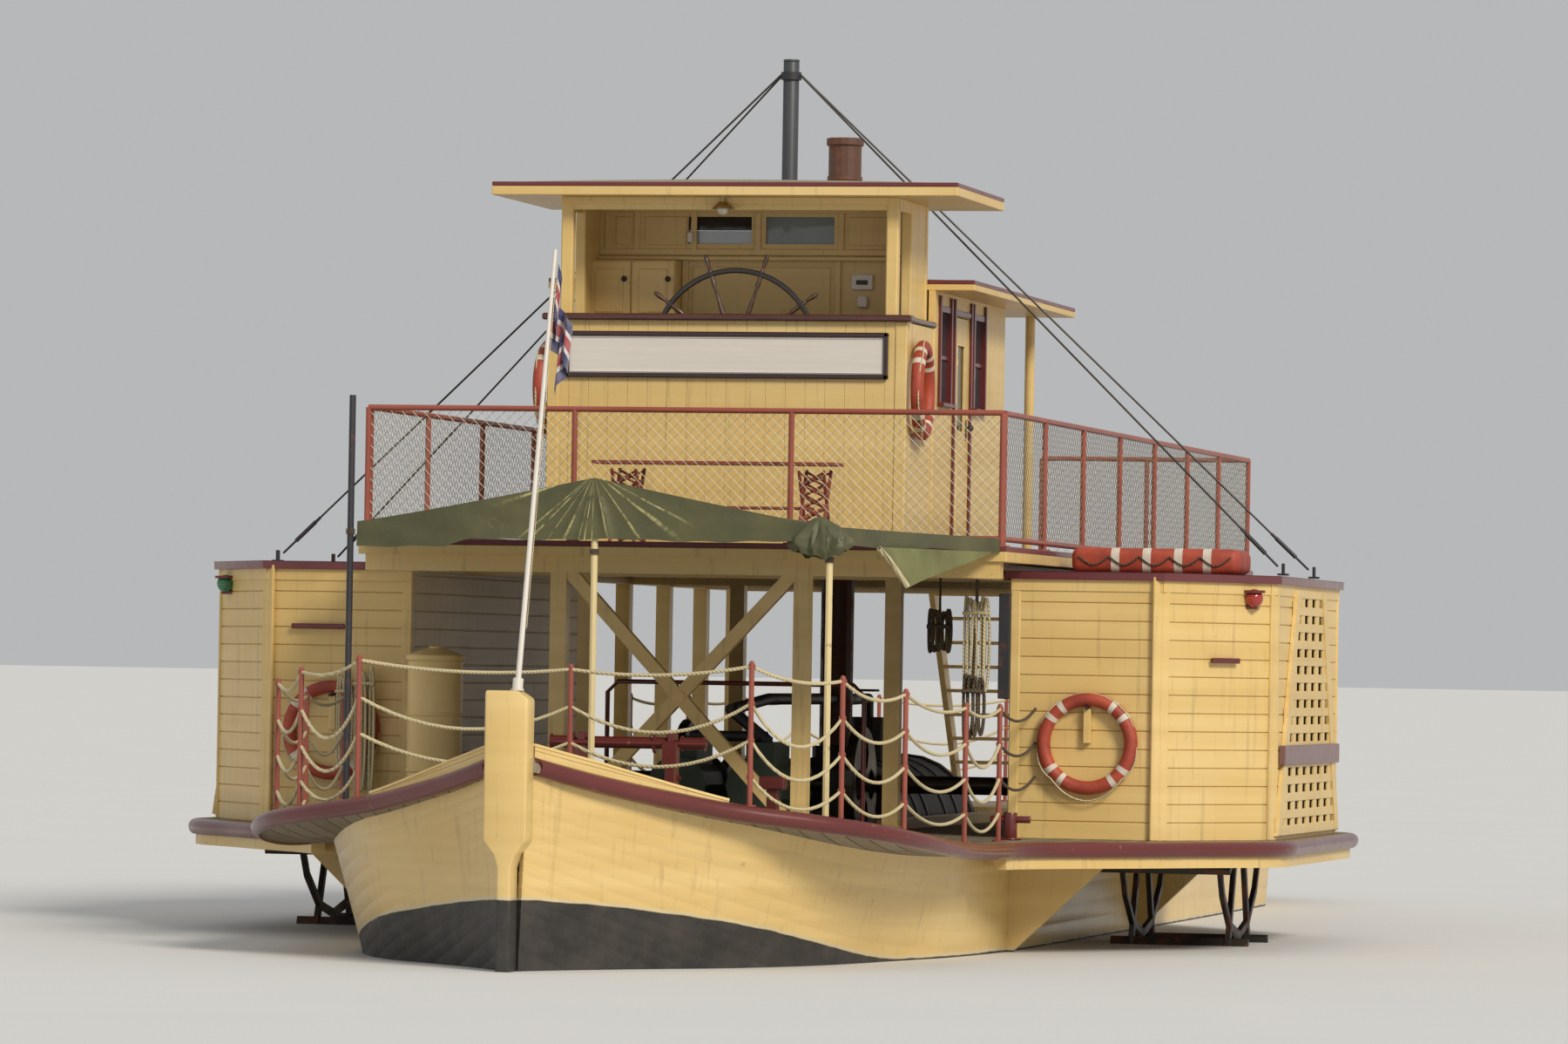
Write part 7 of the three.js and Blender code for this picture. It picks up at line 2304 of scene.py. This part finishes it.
ring_canvas = painted_canvas_ring()
band_tape = white_band_cloth()
ring, bands, line = lifebuoy_parts()
sideways = Matrix.Rotation(math.pi / 2, 4, "Z")
swung = Matrix.Rotation(math.radians(4), 4, "Z")
port_turn = swung @ sideways
starboard_turn = swung.inverted() @ sideways.inverted()
hangings = {
    "box_lifebuoy_port": Matrix.Translation(BOX_BUOY),
    "box_lifebuoy_starboard": Matrix.Translation((-BOX_BUOY[0], *BOX_BUOY[1:])),
    "wheelhouse_lifebuoy_port": Matrix.Translation(CABIN_BUOY) @ port_turn,
    "wheelhouse_lifebuoy_starboard": Matrix.Translation((-CABIN_BUOY[0], *CABIN_BUOY[1:])) @ starboard_turn,
}
for node, place in hangings.items():
    finish_piece(copied(ring, place), f"{node}_ring", ring_canvas, stands_for=[node],
                 sharp=60)
    finish_piece(copied(bands, place), f"{node}_bands", band_tape, sharp=60)
    finish_piece(copied(line, place), f"{node}_line", pale_rope, sharp=60)
for piece in (ring, bands, line):
    bpy.data.objects.remove(piece, do_unlink=True)

pegs = []
for side in (1, -1):
    pegs.append(bar((side * 2.90, -5.118, 2.30 + 0.262), (side * 2.90, -4.995, 2.30 + 0.262), 0.012, 10))
    pegs.append(bar((side * 1.49, -4.18, 5.197), (side * 1.37, -4.18, 5.197), 0.012, 10))
finish_piece(joined(pegs), "lifebuoy_pegs", black_iron)
toggles = [timber((side * 2.895 - 0.028, -5.062, 2.30), (side * 2.895 + 0.028, -5.003, 2.56), 0.006)
           for side in (1, -1)]
finish_piece(joined(toggles), "lifebuoy_cleats", cream_timber_paint)


# Life float
# A buoyant apparatus on the port box: padded tubes under orange painted canvas, joined in a rectangle,
# with white bands and a line in loops along its sides.
FLOAT = {"x": (2.56, 3.84), "y": (-3.98, -3.33), "z": (3.5805, 3.7695),
         "hole_x": (2.76, 3.64), "hole_y": (-3.80, -3.51)}


def float_body():
    """The padded rectangle with its open middle."""
    f = FLOAT
    body = timber((f["x"][0], f["y"][0], f["z"][0]), (f["x"][1], f["y"][1], f["z"][1]), 0)
    hole = timber((f["hole_x"][0], f["hole_y"][0], f["z"][0] - 0.1),
                  (f["hole_x"][1], f["hole_y"][1], f["z"][1] + 0.1), 0)
    cut_away(body, [hole])
    return apply_modifier(body, "BEVEL", width=0.062, segments=5, limit_method="ANGLE",
                          angle_limit=math.radians(40))


def float_bands():
    """Bands round the long tubes, rounded as the tubes are."""
    f = FLOAT
    bands = []
    low, high = f["z"][0] - 0.0005, f["z"][1] + 0.0015
    for x in (2.90, 3.14, 3.38, 3.60):
        for y0, y1 in ((f["y"][0] - 0.0015, f["hole_y"][0] + 0.0015),
                       (f["hole_y"][1] - 0.0015, f["y"][1] + 0.0015)):
            band = timber((x - 0.03, y0, low), (x + 0.03, y1, high), 0)
            select_only(band)
            bpy.ops.object.mode_set(mode="EDIT")
            bpy.ops.mesh.select_all(action="DESELECT")
            bpy.ops.object.mode_set(mode="OBJECT")
            for edge in band.data.edges:
                a, b = (band.data.vertices[i].co for i in edge.vertices)
                edge.select = abs(a.x - b.x) > 0.02
            bpy.ops.object.mode_set(mode="EDIT")
            bpy.ops.mesh.select_mode(type="EDGE")
            bpy.ops.mesh.bevel(offset=0.062, segments=5, affect="EDGES")
            bpy.ops.mesh.select_mode(type="VERT")
            bpy.ops.object.mode_set(mode="OBJECT")
            bands.append(band)
    return joined(bands)


def float_lines():
    """A line in loops along each long side."""
    f = FLOAT
    lines = []
    middle = (f["z"][0] + f["z"][1]) / 2
    for y in (f["y"][0] - 0.008, f["y"][1] + 0.008):
        points = []
        for step in range(61):
            share = step / 60
            loop = abs(math.sin(5 * math.pi * share))
            points.append((f["x"][0] + 0.06 + (f["x"][1] - f["x"][0] - 0.12) * share, y,
                           middle + 0.03 - 0.065 * loop))
        lines.append(rope_run(points, 0.007, 6))
    return joined(lines)


finish_piece(float_body(), "life_float_tubes", ring_canvas, stands_for=["life_float"],
             sharp=50)
finish_piece(float_bands(), "life_float_bands", band_tape, sharp=50)
finish_piece(float_lines(), "life_float_lines", dark_rope, sharp=60)


# Flagstaff and flag
# A white-painted staff in a flanged socket on the stem's head, raked aft, with a thin halyard, and a
# woven striped flag that hangs limp along it.
STAFF_FOOT = Vector((0.050, -10.900, 2.6403))
STAFF_HEAD = Vector((0.090, -10.220, 5.650))
FLAG = {"hoist": 0.36, "top": 5.550, "drop": 0.53}


def staff():
    """The tapered staff in its socket and foot plate."""
    pole = rope_run([STAFF_FOOT + (STAFF_HEAD - STAFF_FOOT) * (0.002 + 0.996 * step / 6)
                     for step in range(7)], 0.0195, 16)
    for vertex in pole.data.vertices:
        share = (vertex.co.z - STAFF_FOOT.z) / (STAFF_HEAD.z - STAFF_FOOT.z)
        centre = STAFF_FOOT.lerp(STAFF_HEAD, share)
        taper = 1.0 - 0.30 * max(0.0, min(1.0, share))
        vertex.co.x = centre.x + (vertex.co.x - centre.x) * taper
        vertex.co.y = centre.y + (vertex.co.y - centre.y) * taper
    socket = bar(STAFF_FOOT, STAFF_FOOT + Vector((0.001, 0.018, 0.08)), 0.036, 20)
    plate = bar(STAFF_FOOT, STAFF_FOOT + Vector((0, 0, 0.012)), 0.045, 20)
    return joined([pole, socket, plate])


def halyard():
    """The line along the staff."""
    offset = Vector((0.026, 0.004, 0))
    low, high = STAFF_FOOT.lerp(STAFF_HEAD, 0.14) + offset, STAFF_FOOT.lerp(STAFF_HEAD, 0.975) + offset * 0.8
    return rope_run([low.lerp(high, step / 10) for step in range(11)], 0.003, 5)


def limp_flag():
    """The flag, gathered at the staff and hanging in soft folds."""
    f = FLAG
    columns, rows = 110, 30

    def staff_point(z):
        return STAFF_FOOT.lerp(STAFF_HEAD, (z - STAFF_FOOT.z) / (STAFF_HEAD.z - STAFF_FOOT.z))

    def place(row, column):
        fly, fall = column / (columns - 1), row / (rows - 1)
        start = staff_point(f["top"] - f["hoist"] * fall)
        spread, free = fly ** 0.8, min(1.0, 2.5 * fly)
        x = (start.x + 0.026 + 0.042 * spread
             + 0.052 * math.sin(2 * math.pi * (1.6 * fly + 0.12 * fall) + 0.6) * free)
        y = (start.y + 0.020 + 0.060 * spread
             + 0.060 * math.sin(2 * math.pi * (4.2 * fly + 0.22 * fall)) * free * (1 - 0.20 * fall))
        z = f["top"] - f["hoist"] * fall - f["drop"] * fly ** 0.85 - 0.020 * math.sin(9 * fly) * fall
        return x, y, z
    cloth = laid_grid(rows, columns, place)
    turn_outward(cloth, (1, 0, 0))
    return apply_modifier(cloth, "SOLIDIFY", thickness=0.0012, offset=0)


def bunting():
    """Woven bunting dyed in stripes, a red one between two white and two blue ones, faded, its weave open."""
    made, tree, shader, place = new_material("striped_woven_bunting")
    laid = add_node(tree, "TexCoord").outputs["UV"]
    axes = add_node(tree, "SeparateXYZ", {"Vector": laid})
    middle = add_node(tree, "Math", {0: axes.outputs["Y"], 1: 0.5}, operation="SUBTRACT")
    apart = add_node(tree, "Math", {0: middle}, operation="ABSOLUTE")
    first = add_node(tree, "Math", {0: apart, 1: 0.13}, operation="GREATER_THAN")
    second = add_node(tree, "Math", {0: apart, 1: 0.24}, operation="GREATER_THAN")
    red_white = add_node(tree, "MixRGB", {"Fac": first, "Color1": "#A8343C", "Color2": "#D9D2CE"})
    striped = add_node(tree, "MixRGB", {"Fac": second, "Color1": red_white, "Color2": "#2A2F62"})
    fade = add_node(tree, "TexNoise", {"Vector": place, "Scale": 9.0, "Detail": 4})
    faded = overlaid(tree, striped, "#B9A9A6", fade, 0.4, 0.7, 0.3)
    weave = add_node(tree, "TexNoise", {"Vector": place, "Scale": 420.0, "Detail": 1})
    bump = relief(tree, (weave, 0.0008))
    connect(shader, {"Base Color": faded, "Roughness": 0.85, "Sheen Weight": 0.3, "Normal": bump})
    return made


staff_paint = painted_iron("white_enamel_on_staff", ("#D2CBC2", "#E0DAD0"), rust="#A89A86", gloss=0.4,
                           rust_from=0.64)
finish_piece(staff(), "bow_flagstaff", staff_paint, stands_for=["flagstaff"])
finish_piece(halyard(), "flag_halyard", pale_rope)
flag = finish_piece(limp_flag(), "striped_flag", bunting(), stands_for=["bow_flag"], sharp=60)


# Rudder
# A plank blade on an iron stock, which comes up through the deck to a straight tiller. Iron straps bolted
# through the blade run aft from the stock.
dress_node("rudder", cream_hull_paint, 0.006)


def rudder_straps():
    """Straps across the blade with their bolts."""
    straps = []
    for z in (0.32, 0.72, 1.14):
        straps.append(timber((-0.036, 9.99, z - 0.03), (0.036, 10.62, z + 0.03), 0.003))
        for y in (10.15, 10.35, 10.55):
            straps.append(bar((-0.042, y, z), (0.042, y, z), 0.011, 6))
    return joined(straps)


finish_piece(rudder_straps(), "rudder_straps", black_iron, body="rudder")


# Hanging gear
# Spare line kept by the gangway: hanks of pale and dark rope on lanyards from the upper deck's beams,
# a tarred board on the port box's corner, and a bunch of line over the starboard lifebuoy.
def hank(x, y, top, low, turns, width, radius, lean=0.0):
    """A hank of rope hung from a peg: long loops side by side, bound near the head."""
    runs = []
    for index in range(turns):
        shift = (index / max(1, turns - 1) - 0.5) * width
        depth = 0.018 * (index % 3) + 0.008
        points = []
        for step in range(25):
            turn = 2 * math.pi * step / 24
            points.append((x + shift + 0.016 * math.sin(turn) * (1 + 0.3 * (index % 2)),
                           y - depth - 0.010 * math.cos(2 * turn) + lean * (1 + math.cos(turn)),
                           (top + low) / 2 + (top - low) / 2 * math.cos(turn) * (1 - 0.04 * (index % 4))))
        runs.append(rope_run(points, radius, 6))
    runs.append(rope_run([(x - width / 2 - 0.02, y - 0.052, top - 0.13), (x, y - 0.060, top - 0.125),
                          (x + width / 2 + 0.02, y - 0.052, top - 0.13)], radius * 1.2, 6))
    return joined(runs)


finish_piece(hank(2.05, -5.012, 3.38, 2.66, 6, 0.16, 0.011), "pale_rope_hank", pale_rope,
             sharp=60)
finish_piece(timber((2.215, -5.030, 2.62), (2.300, -4.995, 3.40), 0.006), "hank_board", black_iron)
lanyards = [rope_run([(2.05, -5.020, 3.30), (2.05, -5.020, 3.625)], 0.010, 6),
            rope_run([(2.04, -5.075, 2.76), (2.045, -5.050, 3.10), (2.05, -5.035, 3.625)], 0.009, 6),
            rope_run([(1.68, -4.575, 3.24), (1.68, -4.575, 3.625)], 0.010, 6)]
finish_piece(joined(lanyards), "hank_lanyards", dark_rope, sharp=60)
finish_piece(joined([hank(-2.62, -5.125, 2.78, 1.80, 5, 0.12, 0.011),
                     hank(-2.78, -5.125, 2.72, 2.05, 4, 0.08, 0.010)]), "starboard_rope_hank", pale_rope,
             sharp=60)
finish_piece(joined([hank(2.04, -5.060, 2.80, 2.32, 4, 0.12, 0.013),
                     hank(1.68, -4.560, 3.28, 2.96, 5, 0.14, 0.014)]), "dark_rope_hanks", dark_rope,
             sharp=60)
